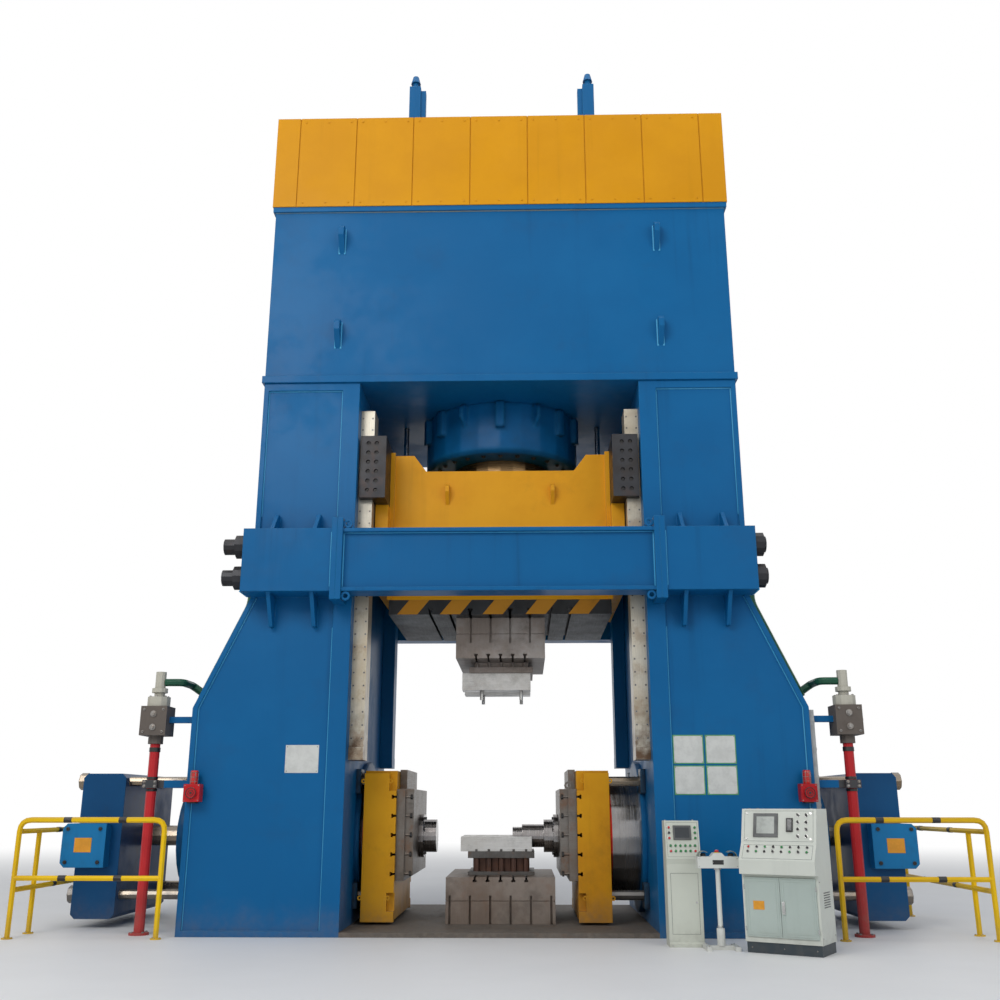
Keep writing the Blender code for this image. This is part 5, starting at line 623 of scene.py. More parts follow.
def finish_enamels():
    """The painted finishes."""
    look = colours()
    blue, yellow = tuple(look.frame_blue), tuple(look.slide_yellow)
    pale = (0.020, 0.225, 0.470)
    faded = (0.002, 0.122, 0.318)
    enamel("Frame Enamel", blue, faded, gloss=0.42, streaks=0.45, oil=0.08, dust=0.30, tops=0.25,
           wear=0.35, width=0.016, rub=pale, tone=tray_grey, reach=0.15)
    # Painted shade: the cylinders' blue is darkened to six tenths of the frame's blue, so they look as if
    # they stand in shadow.
    enamel("Shaded Cylinder Enamel", [share * 0.6 for share in blue], blue, gloss=0.42, streaks=0.40, oil=0.12,
           dust=0.20, tops=0.25, wear=0.20, width=0.080, rub=pale, tone=gland_dark, reach=0.15)
    enamel("Hub Enamel", (0.003, 0.062, 0.175), (0.005, 0.082, 0.220), streaks=0.3, oil=0.25, dust=0.3,
           tops=0.25, wear=0.3, rub=pale, tone=hub_blue, bare=rods_bare, reach=0.2)
    # Painted highlight: the weld beads are a much lighter blue than the frame, for the bright line that runs
    # along the panels' and tie plates' edges.
    enamel("Weld Highlight Blue", (0.060, 0.360, 0.620), (0.110, 0.450, 0.700), gloss=0.40, streaks=0.2, dust=0.2,
           tops=0.2, wear=0.3, width=0.004)
    enamel("Weld Brown", (0.230, 0.240, 0.200), (0.070, 0.210, 0.350), gloss=0.50, streaks=0.4, oil=0.2,
           dust=0.2, tops=0.3, wear=0.4, width=0.004)
    enamel("Slide Enamel", yellow, (0.760, 0.330, 0.010), gloss=0.42, streaks=0.25, oil=0.12, dust=0.2,
           tops=0.3, wear=0.35, width=0.010, rub=(0.860, 0.500, 0.110))
    enamel("Platen Enamel", (0.720, 0.345, 0.008), (0.600, 0.255, 0.006), gloss=0.42, streaks=0.4,
           oil=0.22, dust=0.45, tops=0.5, width=0.008, rub=(0.840, 0.470, 0.060), reach=0.25)
    enamel("Shroud Paint", tuple(look.shroud_yellow), (0.640, 0.275, 0.003), gloss=0.40, streaks=0.25,
           dust=0.0, tops=0.3, wear=0.2, width=0.010, rub=(0.800, 0.420, 0.030))
    enamel("Riser Paint", tuple(look.riser_red), (0.460, 0.022, 0.026), gloss=0.36, streaks=0.2, oil=0.1,
           tops=0.2, width=0.005, tone=clamp_dark)
    enamel("Siren Paint", (0.520, 0.018, 0.022), (0.420, 0.014, 0.018), gloss=0.35, streaks=0.2,
           dust=0.0, tops=0.4, wear=0.4, width=0.004)
    enamel("Pipe Green", (0.016, 0.085, 0.050), (0.030, 0.120, 0.062), gloss=0.34, streaks=0.2, oil=0.2,
           dust=0.0, tops=0.4, wear=0.4, width=0.006)
    enamel("Rail Paint", tuple(look.rail_yellow), (0.720, 0.430, 0.010), gloss=0.36, streaks=0.2,
           dust=0.35, tops=0.2, width=0.004, reach=0.1)
    enamel("Console Coat", tuple(look.cabinet_white), (0.640, 0.665, 0.600), gloss=0.42, streaks=0.12,
           dust=0.25, tops=0.1, wear=0.25, width=0.005, rub=(0.800, 0.815, 0.750), tone=panel_tones,
           reach=0.1)
    enamel("Door Coat", (0.470, 0.545, 0.500), (0.430, 0.500, 0.460), gloss=0.40, streaks=0.12,
           dust=0.25, tops=0.1, wear=0.25, width=0.004, rub=(0.600, 0.660, 0.610), reach=0.1)
    enamel("Pedestal Coat", (0.640, 0.665, 0.575), (0.585, 0.610, 0.530), gloss=0.42, streaks=0.15,
           dust=0.3, tops=0.1, wear=0.25, width=0.005, reach=0.1)
    enamel("Stand Coat", (0.720, 0.735, 0.690), (0.640, 0.655, 0.610), gloss=0.42, streaks=0.2, dust=0.3,
           tops=0.1, wear=0.3, width=0.004, tone=stand_tones, reach=0.1)
    enamel("Valve Body", (0.150, 0.125, 0.105), (0.110, 0.095, 0.085), gloss=0.48, streaks=0.3, oil=0.4,
           dust=0.0, tops=0.4, width=0.006, tone=cap_cream)
    enamel("Hazard Yellow", (0.610, 0.270, 0.030), (0.460, 0.190, 0.022), gloss=0.46, streaks=0.4,
           oil=0.35, dust=0.0, tops=0.0, wear=0.6, width=0.004, rub=(0.10, 0.07, 0.04))


def finish_metals():
    """The bare and oiled metals."""
    metal("Dark Steel", (0.044, 0.045, 0.050), (0.030, 0.031, 0.035), grain=(6, 6, 6), gloss=0.42,
          metallic=0.7, oil=0.4, scale=1.2, rust=0.10, dust=0.3)
    metal("Plate Steel", (0.030, 0.032, 0.036), (0.050, 0.052, 0.056), grain=(60, 3, 60), gloss=0.52,
          metallic=0.35, oil=0.4, scale=0.8, tone=slot_smoke)
    metal("Bed Steel", (0.090, 0.085, 0.080), (0.060, 0.055, 0.050), grain=(20, 20, 20), gloss=0.46,
          metallic=0.6, oil=0.5, scale=1.5, rust=0.35, dust=0.9)
    metal("Rail Steel", (0.640, 0.600, 0.500), (0.470, 0.400, 0.290), grain=(150, 150, 3), metallic=0.45,
          oil=0.28, scale=0.9, rust=0.25, dust=0.0, tone=rail_foot)
    metal("Die Steel", (0.610, 0.605, 0.590), (0.470, 0.460, 0.440), grain=(2, 2, 150), gloss=0.32,
          metallic=0.80, oil=0.22, scale=2.0, rust=0.08, dust=0.1, bump=0.0008)
    metal("Block Steel", (0.270, 0.225, 0.195), (0.350, 0.320, 0.300), grain=(180, 180, 3), gloss=0.44,
          metallic=0.55, scale=1.4, rust=0.20, dust=0.2)
    metal("Bolster Steel", (0.190, 0.140, 0.108), (0.245, 0.205, 0.175), grain=(180, 180, 3), gloss=0.46,
          metallic=0.45, oil=0.40, scale=1.3, rust=0.25, dust=0.2)
    metal("Holder Steel", (0.120, 0.115, 0.110), (0.080, 0.070, 0.062), grain=(90, 90, 4), gloss=0.42,
          metallic=0.7, oil=0.4, scale=1.6, rust=0.3, dust=0.2, tone=columns_clay)
    metal("Die Plate Steel", (0.200, 0.185, 0.170), (0.130, 0.105, 0.085), grain=(4, 4, 130), gloss=0.40,
          metallic=0.7, oil=0.4, scale=1.5, rust=0.35, dust=0.3)
    metal("Ram Steel", (0.400, 0.400, 0.405), (0.300, 0.290, 0.285), grain=(40, 1, 1), gloss=0.20,
          metallic=0.95, oil=0.22, scale=0.7, rust=0.02, dust=0.1, bump=0.00004, wear=0.4, width=0.060,
          tone=ram_line)
    metal("Punch Steel", (0.400, 0.390, 0.385), (0.250, 0.230, 0.225), grain=(90, 2, 2), gloss=0.20,
          metallic=0.95, oil=0.22, scale=2.0, rust=0.04, dust=0.0, bump=0.00005, width=0.014)
    metal("Bronze", (0.330, 0.200, 0.085), (0.240, 0.150, 0.070), grain=(3, 3, 120), gloss=0.30,
          metallic=0.9, scale=1.2)
    metal("Chrome", (0.600, 0.600, 0.610), (0.520, 0.520, 0.530), grain=(2, 2, 60), gloss=0.14,
          metallic=1.0, oil=0.10, scale=1.0)
    metal("Bolt Steel", (0.330, 0.325, 0.315), (0.220, 0.200, 0.180), grain=(40, 40, 40), metallic=0.9,
          oil=0.3, scale=6.0, rust=0.2, dust=0.2, bump=0.0004, width=0.003)
    metal("Bolt Black", (0.035, 0.035, 0.038), (0.050, 0.048, 0.046), grain=(40, 40, 40), gloss=0.40,
          metallic=0.7, oil=0.3, scale=6.0, rust=0.05, dust=0.2, bump=0.0004, wear=0.6, width=0.002)


def finish_fittings():
    """The finishes of buttons, screens, plates and other small fittings."""
    plain("Black Plastic", (0.012, 0.012, 0.013), rough=0.38)
    plain("Socket Dark", (0.006, 0.006, 0.006), rough=0.70)
    plain("Button Red", (0.560, 0.012, 0.012), rough=0.28)
    plain("Button Green", (0.012, 0.240, 0.050), rough=0.28)
    plain("Button Silver", (0.520, 0.520, 0.510), rough=0.28, metallic=0.85)
    plain("Screen Pale", (0.350, 0.380, 0.350), rough=0.16)
    plain("Screen Dark", (0.030, 0.038, 0.045), rough=0.12)
    plain("Screen Frame", (0.090, 0.095, 0.095))
    plain("Plate White", (0.640, 0.650, 0.620), rough=0.34, speck=0.14)
    plain("Plate Green", (0.060, 0.300, 0.110), rough=0.40)
    plain("Plate Orange", (0.800, 0.340, 0.018), rough=0.40, speck=0.15)
    plain("Handle White", (0.640, 0.640, 0.610), rough=0.35)
    plain("Panel Line", (0.055, 0.065, 0.070), rough=0.50)
    plain("Rubber", (0.020, 0.020, 0.021), rough=0.65)
    plain("Lens Red", (0.620, 0.020, 0.014), rough=0.12)
    plain("Tape Black", (0.016, 0.016, 0.016), rough=0.42)
    plain("Tray Grey", (0.400, 0.410, 0.400), rough=0.40)


def colours():
    """The press's colours."""
    return bpy.context.scene.press_paint


def sizes():
    """The sizes of the press's fittings."""
    return bpy.context.scene.press_sizes


def finish_named(name):
    """A finish that has been made."""
    return bpy.data.materials[name]


NODE_FINISHES = {
    "bed_plate": "Bed Steel", "shroud": "Shroud Paint", "slide": "Slide Enamel",
    "slide_plate": "Plate Steel", "main_plunger": "Bronze", "bolster": "Bolster Steel",
    "main_cylinder": "Shaded Cylinder Enamel", "left_side_cylinder": "Shaded Cylinder Enamel",
    # The rear rails are bare steel but get the frame's blue enamel: painted shade, the dark blue standing in
    # for the shadow they sit in behind the front rails.
    "right_side_cylinder": "Shaded Cylinder Enamel", "rear_left_rail": "Frame Enamel",
    "rear_right_rail": "Frame Enamel",
    "upper_die_holder": "Block Steel", "lower_die_holder": "Holder Steel", "console": "Console Coat",
    "pedestal": "Pedestal Coat", "two_hand_stand": "Stand Coat",
    "emergency_stop_button": "Button Red",
}
END_FINISHES = {
    "_tie_rod": "Dark Steel", "_guide_shoe": "Dark Steel", "_rail": "Rail Steel", "_die": "Die Steel",
    "_return_rod": "Chrome", "_die_plate": "Die Plate Steel", "_ram": "Ram Steel",
    "_punch": "Punch Steel", "_platen": "Platen Enamel", "_crosshead": "Hub Enamel",
    "_riser": "Riser Paint", "_valve_block": "Valve Body", "_pilot_pipe": "Pipe Green",
    "_siren": "Siren Paint", "_guard_rail": "Rail Paint", "_console_door": "Door Coat",
    "_palm_button": "Black Plastic",
}


def finish_nodes():
    """Give every node of the frame its finish."""
    for name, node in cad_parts.items():
        chosen = NODE_FINISHES.get(name)
        if not chosen:
            ends = [end for end in END_FINISHES if name.endswith(end)]
            chosen = END_FINISHES[max(ends, key=len)] if ends else "Frame Enamel"
        for slot in node.material_slots:
            slot.material = finish_named(chosen)


FRAME_FRONT = -1.70         # front faces of the uprights and the crown
PANEL_FACE = -1.67          # recessed panels of the uprights
PANEL_EDGE = 1.93
PANEL_LOW, PANEL_HIGH = 0.06, 6.30
TAPER_LOW, TAPER_HIGH = 2.43, 3.70
TIE_LOW, TIE_HIGH = 3.71, 4.45
TIE_FRONT, TIE_WEB, TIE_END = 2.05, 1.99, 2.95
TIE_FLANGE, TIE_PLATE = 0.045, 0.063
JOINT_X = 1.855
SIDE_GAP = 0.02             # between an end block and the upright behind it
GUSSET_XS, GUSSET_HALF = (2.14, 2.64), 0.0225
GUSSET_UNDER, GUSSET_OVER = 3.35, 4.69
BAND_TOP, LIP_FOOT = 6.49, 8.79
LUG_X, LUG_LEVELS, LUG_HEIGHT, LUG_HALF = 2.02, (8.18, 6.86), 0.36, 0.035
SHROUD_PANELS, SHROUD_PANEL = 7, 0.755
RAIL_FRONT, RAIL_SCREW_XS, RAIL_SCREW_LEVELS = 1.50, (1.575, 1.695), (2.10, 6.00, 27)
SHOE_HOLE_XS, SHOE_HOLE_ROWS, SHOE_HOLE_PITCH = (1.50, 1.60), 6, 0.12
SHOE_HOLE_FLOOR = -1.5895
CAP_END, SHOULDER_END = 3.90, 3.72         # of the side cylinders
RETURN_X, RETURN_FLANGE_TOP, RETURN_HEAD_FOOT = 1.32, 8.9203, 11.29
FILL_VALVE_FOOT = 9.10
PUNCH_FACES = (("left", -1, 1.225), ("right", 1, 0.90))
DIE_PLATE = 0.20            # from a platen's face to its punch
DIE_NUT_LEVELS, DIE_NUT_Y = (0.60, 1.46, 5), 0.84


def weld_runs():
    """Weld beads along the crown's band and lip, the uprights' panels and the tie joints."""
    thick = sizes().weld_width / 2
    wide, deep = high("crown").x - 0.03, -FRAME_FRONT

    def crown_beads(bm):
        """Around the crown, above its band and below its lip."""
        for level, near in pairs((BAND_TOP, LIP_FOOT), SIDES):
            bead(bm, (-wide, near * deep, level), (wide, near * deep, level), thick)
            bead(bm, (near * wide, -deep, level), (near * wide, deep, level), thick)
    piece("crown_welds", "machine", ["Weld Brown"], crown_beads, smooth=True)

    def panel_beads(bm):
        """Along the inner and outer edges of the recessed panels, clear of the tie blocks."""
        for side, near in pairs(SIDES, SIDES):
            face = near * -PANEL_FACE
            for start, end in ((PANEL_LOW, GUSSET_UNDER), (GUSSET_OVER, PANEL_HIGH)):
                bead(bm, (side * PANEL_EDGE, face, start), (side * PANEL_EDGE, face, end), thick)
            foot, top = side * (FOOT_EDGE - PANEL_LOW), side * (FRAME_EDGE - PANEL_LOW)
            bead(bm, (foot, face, PANEL_LOW), (foot, face, TAPER_LOW), thick * 0.8)
            bead(bm, (foot, face, TAPER_LOW), (top, face, TAPER_HIGH), thick * 0.8)
            bead(bm, (top, face, GUSSET_OVER), (top, face, PANEL_HIGH), thick * 0.8)
            bead(bm, (side * PANEL_EDGE, face, PANEL_HIGH), (top, face, PANEL_HIGH), thick * 0.8)
    # The beads' light blue is a painted highlight along the panels' edges.
    piece("panel_welds", "machine", ["Weld Highlight Blue"], panel_beads, smooth=True)

    def tie_beads(bm):
        """Down the plates where the tie beams meet their end blocks."""
        for side, near in pairs(SIDES, SIDES):
            for x, front in ((JOINT_X + TIE_PLATE, TIE_FRONT), (JOINT_X - TIE_PLATE, TIE_WEB)):
                start = (side * x, near * front, TIE_LOW + 0.05)
                bead(bm, start, (side * x, near * front, TIE_HIGH - 0.05), thick)
            bead(bm, (side * TIE_END, near * (deep + SIDE_GAP), TIE_LOW),
                 (side * TIE_END, near * TIE_FRONT, TIE_LOW), thick * 0.7)
        inner = JOINT_X - TIE_PLATE - SINK
        for near, level in pairs(SIDES, (TIE_LOW + TIE_FLANGE, TIE_HIGH - TIE_FLANGE)):
            bead(bm, (-inner, near * TIE_WEB, level), (inner, near * TIE_WEB, level), thick * 0.7)
    # The beads' light blue is a painted highlight down the tie plates.
    piece("tie_welds", "machine", ["Weld Highlight Blue"], tie_beads, smooth=True)

    def gusset_beads(bm):
        """At the foot of every gusset, on both of its sides."""
        for x, side in pairs(GUSSET_XS, SIDES):
            for near, flank in pairs(SIDES, (-GUSSET_HALF, GUSSET_HALF)):
                place, face = side * x + flank, near * -PANEL_FACE
                for start, end in ((TIE_HIGH, GUSSET_OVER), (GUSSET_UNDER, TIE_LOW)):
                    bead(bm, (place, face, start), (place, face, end), thick * 0.6)
                for level in (TIE_LOW, TIE_HIGH):
                    bead(bm, (place, near * deep, level), (place, near * TIE_WEB, level), thick * 0.6)
    piece("gusset_welds", "machine", ["Frame Enamel"], gusset_beads, smooth=True)


def crown_fittings():
    """Weld beads along the crown's lugs, and the screws of the shroud's panels."""
    def lug_beads(bm):
        """On both sides of each lifting lug."""
        thick = sizes().weld_width / 2
        for x, level in pairs((-LUG_X, LUG_X), LUG_LEVELS):
            for near, flank in pairs(SIDES, (-LUG_HALF, LUG_HALF)):
                foot = Vector((x + flank, near * -FRAME_FRONT, level))
                bead(bm, foot, foot + Vector((0, 0, LUG_HEIGHT)), thick)
    # The beads' light blue is a painted highlight beside the lugs.
    piece("lug_welds", "machine", ["Weld Highlight Blue"], lug_beads, smooth=True)

    def curb_screws(bm):
        """Screws along the foot and the top of the shroud's panels."""
        wide, deep = high("shroud").x, high("shroud").y
        radius = sizes().screw_radius
        for level in (low("shroud").z + 0.06, high("shroud").z - 0.06):
            for index in range(SHROUD_PANELS):
                middle = (index - SHROUD_PANELS // 2) * SHROUD_PANEL
                for x, near in pairs(steps(middle - 0.30, middle + 0.30, 3), SIDES):
                    stud(bm, (x, near * (deep - SINK), level), (0, near, 0), radius, SINK + 0.006,
                         sides=HEX)
            for y, side in pairs(steps(-1.5, 1.5, 7), SIDES):
                stud(bm, (side * (wide - SINK), y, level), (side, 0, 0), radius, SINK + 0.006,
                     sides=HEX)
    piece("shroud_screws", "machine", ["Shroud Paint"], curb_screws)


def guide_screws():
    """Low screws down both edges of the rails, and cap screws in the shoes' holes."""
    radius, head = sizes().screw_radius, 0.0015

    def rail_screws(bm):
        """Two columns on each rail's outer face, low enough for the shoes to pass."""
        for side, near in pairs(SIDES, SIDES):
            for x, level in pairs(RAIL_SCREW_XS, steps(*RAIL_SCREW_LEVELS)):
                foot = (side * x, near * (RAIL_FRONT - SINK), level)
                stud(bm, foot, (0, near, 0), radius, SINK + head, sides=SMALL, soften=0.0004)
                socket = (side * x, near * (RAIL_FRONT + head - EDGE / 10), level)
                stud(bm, socket, (0, near, 0), radius * 0.45, 0.0006, sides=HEX, paint=1)
    piece("rail_screws", "machine", ["Bolt Steel", "Socket Dark"], rail_screws)

    def shoe_screws(bm):
        """Cap screws at the bottom of the holes in the shoes' front faces."""
        middle = (high("left_guide_shoe").z + low("left_guide_shoe").z) / 2
        for side, x in pairs(SIDES, SHOE_HOLE_XS):
            for row in range(SHOE_HOLE_ROWS):
                level = middle + (row - (SHOE_HOLE_ROWS - 1) / 2) * SHOE_HOLE_PITCH
                socket_screw(bm, (side * x, SHOE_HOLE_FLOOR, level), (0, -1, 0), 0.019, 0.016)
    piece("shoe_screws", "slide_assembly", ["Bolt Black", "Socket Dark"], shoe_screws)


def cylinder_bolts():
    """Bolts around the main cylinder's ring and the ends of the side cylinders."""
    radius = sizes().bolt_radius

    def ring_bolts(bm):
        """Up into the ring's underside."""
        for x, y in around(24, 0.86):
            bolt(bm, (x, y, low("main_cylinder").z), (0, 0, -1), radius * 0.8)
    piece("ring_bolts", "machine", ["Bolt Black"], ring_bolts)

    def end_bolts(bm):
        """Around each side cylinder's outer shoulder and end cap."""
        for side in SIDES:
            for y, z in around(20, 0.745):
                bolt(bm, (side * SHOULDER_END, y, RAM_LEVEL + z), (side, 0, 0), radius)
            for y, z in around(10, 0.42):
                bolt(bm, (side * CAP_END, y, RAM_LEVEL + z), (side, 0, 0), radius * 0.9)
    piece("side_cylinder_bolts", "machine", ["Bolt Black"], end_bolts)

    def foot_bolts(bm):
        """Through the flanges of the return cylinders and the foot of the fill valve."""
        for side in SIDES:
            for x, y in pairs(SIDES, SIDES):
                bolt(bm, (side * RETURN_X + x * 0.13, y * 0.13, RETURN_FLANGE_TOP), (0, 0, 1),
                     radius * 0.6)
                bolt(bm, (side * RETURN_X + x * 0.098, y * 0.098, RETURN_HEAD_FOOT), (0, 0, -1),
                     radius * 0.4)
        for x, y in around(16, 0.72):
            bolt(bm, (x, y, FILL_VALVE_FOOT), (0, 0, 1), radius)
    piece("crown_bolts", "machine", ["Bolt Steel"], foot_bolts)


def slide_marks():
    """Slanted hazard stripes on the front of the slide's plate."""
    first, pitch, slant = -1.257, 0.522, 0.146
    wide, count = sizes().stripe_width, sizes().stripe_count

    def stripes(bm):
        """Thin painted plates, each leaned over into a parallelogram."""
        front, foot, top = low("slide_plate").y, low("slide_plate").z + EDGE, high("slide_plate").z - EDGE
        lean = Matrix.Identity(4)
        lean[0][2] = slant / (top - foot)
        lean[0][3] = -foot * lean[0][2]
        for index in range(count):
            x = first + index * pitch
            bar(bm, (x, front - 0.0012, foot), (x + wide, front + SINK, top), place=lean)
    piece("hazard_stripes", "slide_assembly", ["Hazard Yellow"], stripes)


def bare_plates():
    """Blank white plates with green edges on the front of the uprights."""
    thick, proud, screw_in = 0.003, 0.004, 0.02

    def sheet(bm, x, z, wide, tall, edge):
        """One plate with its border and four small screws."""
        bar(bm, (x, PANEL_FACE - thick, z), (x + wide, PANEL_FACE + SINK, z + tall), soften=0.001,
            paint=1 if edge else 0)
        rim = 0.012 if edge else 0.002
        bar(bm, (x + rim, PANEL_FACE - proud, z + rim), (x + wide - rim, PANEL_FACE, z + tall - rim))
        for a, b in pairs((x + screw_in, x + wide - screw_in), (z + screw_in, z + tall - screw_in)):
            stud(bm, (a, PANEL_FACE - thick, b), (0, -1, 0), 0.006, 0.003, sides=SMALL, soften=0.0008,
                 paint=2)

    def sheets(bm):
        """One on the left upright and two rows of two on the right one."""
        left, foot, wide, tall, gap = 1.948, 1.473, 0.345, 0.318, sizes().plate_gap
        sheet(bm, -2.404, 1.712, 0.377, 0.306, False)
        for row, column in pairs((0, 1), (0, 1)):
            sheet(bm, left + column * (wide + gap), foot + row * (tall + gap), wide, tall, True)
    piece("bare_plates", "machine", ["Plate White", "Plate Green", "Bolt Steel"], sheets)


def hub_plates():
    """A blank plate and corner screws on the front of each crosshead's hub."""
    for side, hand in ((-1, "left"), (1, "right")):
        reach = (low("left_crosshead").x, high("right_crosshead").x)[side > 0]

        def build(bm, side=side, reach=reach):
            """A screw in each corner of the hub's front, and a blank plate between them."""
            outer = reach - side * 0.14
            for x, z in pairs((outer, outer - side * 0.38), (0.73, 1.10)):
                socket_screw(bm, (x, HUB_FRONT + SINK, z), (0, -1, 0), 0.022, 0.016)
            near, far = sorted((outer - side * 0.09, outer - side * 0.29))
            bar(bm, (near, HUB_FRONT - 0.004, 0.84), (far, HUB_FRONT + SINK, 1.00), soften=0.001,
                paint=2)
        piece(f"{hand}_hub_fittings", f"{hand}_ram_assembly",
              ["Bolt Black", "Socket Dark", "Plate Orange"], build)


def tool_bolts():
    """Flange screws of the punches, and nuts down the die plates."""
    for hand, side, face in PUNCH_FACES:
        def build(bm, side=side, face=face):
            """Flange screws of the punch, and nuts on both edges of the die plate."""
            front = face - DIE_PLATE
            for y, z in around(8, 0.225, FULL / 16):
                socket_screw(bm, (side * (front - 0.0605), y, RAM_LEVEL + z), (-side, 0, 0), 0.016,
                             0.014)
            for level, near in pairs(steps(*DIE_NUT_LEVELS), SIDES):
                stud(bm, (side * (front + 0.016), near * DIE_NUT_Y, level), (side, 0, 0), 0.030, 0.026,
                     sides=HEX, soften=0.003)
        piece(f"{hand}_punch_screws", f"{hand}_ram_assembly", ["Bolt Black", "Socket Dark"], build)


RISER_FOOT_TOP, VALVE_MIDDLE = 0.0253, 2.30
PLUG_LEVELS = (2.22, 2.37)
PIPE_END, PIPE_Y, PIPE_HIGH = FRAME_EDGE + SEAT, -1.15, 4.10
PIPE_FLANGE = 0.030
RISER_BAND, BAND_HEIGHT, VALVE_NECK_BAND = 0.0625, 0.03, (1.95, 0.05)


def valve_fittings():
    """Clamp bolts on the risers, cap bolts and plugs on the valve blocks, and pipe flanges."""
    front = RISER_Y - VALVE_HALF

    def build(bm):
        """The same on the left and the right."""
        for side in SIDES:
            x = side * RISER_X
            for a, level in pairs((-0.06, 0.06), (CLAMP_LOW + 0.022, CLAMP_HIGH - 0.022)):
                bolt(bm, (x + a, RISER_Y - CLAMP_HALF, level), (0, -1, 0), 0.012)
            for a, b in around(6, 0.100, FULL / 12):
                bolt(bm, (x + a, RISER_Y + b, VALVE_CAP_TOP), (0, 0, 1), 0.014)
            for a, b in around(4, 0.088, FULL / 8):
                bolt(bm, (x + a, RISER_Y + b, RISER_FOOT_TOP), (0, 0, 1), 0.012)
            for a, level in pairs((-0.11, 0.11), (VALVE_LOW + 0.04, VALVE_TOP - 0.04)):
                socket_screw(bm, (x + a, front + SINK, level), (0, -1, 0), 0.014, 0.012)
            for level in PLUG_LEVELS:
                stud(bm, (x, front + SINK, level), (0, -1, 0), 0.036, 0.012, soften=0.002)
                stud(bm, (x, front - 0.0095, level), (0, -1, 0), 0.024, 0.016, sides=HEX, soften=0.002)
            outer = x + side * (VALVE_HALF - SINK)
            for y in (RISER_Y - 0.07, RISER_Y + 0.07):
                stud(bm, (outer, y, VALVE_MIDDLE), (side, 0, 0), 0.030, SINK + 0.020, sides=HEX,
                     soften=0.003)
    piece("valve_bolts", "machine", ["Bolt Steel", "Socket Dark"], build)

    def flanges(bm):
        """A bolted flange where each pilot pipe enters the frame."""
        for side in SIDES:
            stud(bm, (side * PIPE_END, PIPE_Y, PIPE_HIGH), (side, 0, 0), 0.115, PIPE_FLANGE,
                 soften=0.004)
            for a, b in around(6, 0.095):
                bolt(bm, (side * (PIPE_END + PIPE_FLANGE), PIPE_Y + a, PIPE_HIGH + b), (side, 0, 0),
                     0.011, paint=1)
    piece("pipe_flanges", "machine", ["Pipe Green", "Bolt Steel"], flanges)

    def bands(bm):
        """Dark bands on the riser by its clamp and its valve, and a disc in the valve's top."""
        for side in SIDES:
            for level, tall in ((CLAMP_LOW - BAND_HEIGHT - 0.005, BAND_HEIGHT),
                                (CLAMP_HIGH + 0.005, BAND_HEIGHT), VALVE_NECK_BAND):
                stud(bm, (side * RISER_X, RISER_Y, level), (0, 0, 1), RISER_BAND, tall, soften=0.003)
            collar = (side * RISER_X, RISER_Y, VALVE_STEM_TOP - 0.007)
            stud(bm, collar, (0, 0, 1), 0.045, 0.006, soften=0.002)
    piece("riser_bands", "machine", ["Bolt Black"], bands)


def siren_fittings():
    """Dark horns, caged lenses and cover screws on the two sirens."""
    front, middle, centre = -1.86, 1.495, 3.39
    beacon_y, beacon_foot, cage = -1.765, 1.592, 0.0445
    tray_face, tray_front, tray_rear, strap_wide = 3.55, -1.66, -1.56, 0.035

    def build(bm):
        """The horn's rings and throat, screws in the box's corners, and the beacon's cage."""
        for side in SIDES:
            x = side * centre
            for radius, wire in ((0.055, 0.0045), (0.030, 0.0030)):
                loop(bm, (x, front - EDGE, middle), (0, 1, 0), radius, wire)
            stud(bm, (x, front + SINK, middle), (0, -1, 0), 0.014, SINK + 0.004, soften=0.001)
            for a, b in pairs((-0.075, 0.075), (-0.08, 0.08)):
                stud(bm, (x + a, front + 0.0305, middle + b), (0, -1, 0), 0.006, 0.003, sides=SMALL,
                     soften=0.001, paint=1)
            bar(bm, (x - 0.05, -1.80, 1.385), (x + 0.05, -1.702, 1.3995), soften=0.002)
            for a, b in around(6, cage):
                stud(bm, (x + a, beacon_y + b, beacon_foot), (0, 0, 1), 0.0022, 0.125, sides=8, paint=1)
            for level in (1.62, 1.665, 1.715):
                loop(bm, (x, beacon_y, level), (0, 0, 1), cage, 0.002, paint=1)
    piece("siren_fittings", "machine", ["Black Plastic", "Bolt Steel"], build)

    def lenses(bm):
        """A clear red lens over each beacon."""
        for side in SIDES:
            stud(bm, (side * centre, beacon_y, beacon_foot - 0.0015), (0, 0, 1), 0.0415, 0.142,
                 sides=ROUND + SMALL, soften=0.006)
    piece("beacon_lenses", "machine", ["Lens Red"], lenses, smooth=True)

    def tray(bm):
        """Straps across the side of the cable tray, and a lining on its front."""
        for level in steps(0.15, 2.25, 8):
            bar(bm, (tray_face - SEAT, tray_front - SINK, level),
                (tray_face + 0.0025, tray_rear + SINK, level + strap_wide), soften=0.0008)
            for y in (tray_front + 0.007, tray_rear - 0.007):
                stud(bm, (tray_face + SINK, y, level + strap_wide / 2), (1, 0, 0), 0.006, 0.004,
                     sides=HEX, soften=0.001, paint=1)
        bar(bm, (FOOT_EDGE + SEAT, tray_front - EDGE / 2, EDGE),
            (tray_face - EDGE / 2, tray_front - EDGE / 10, TRAY_TOP - 0.01))
    piece("tray_straps", "machine", ["Tray Grey", "Bolt Steel"], tray)


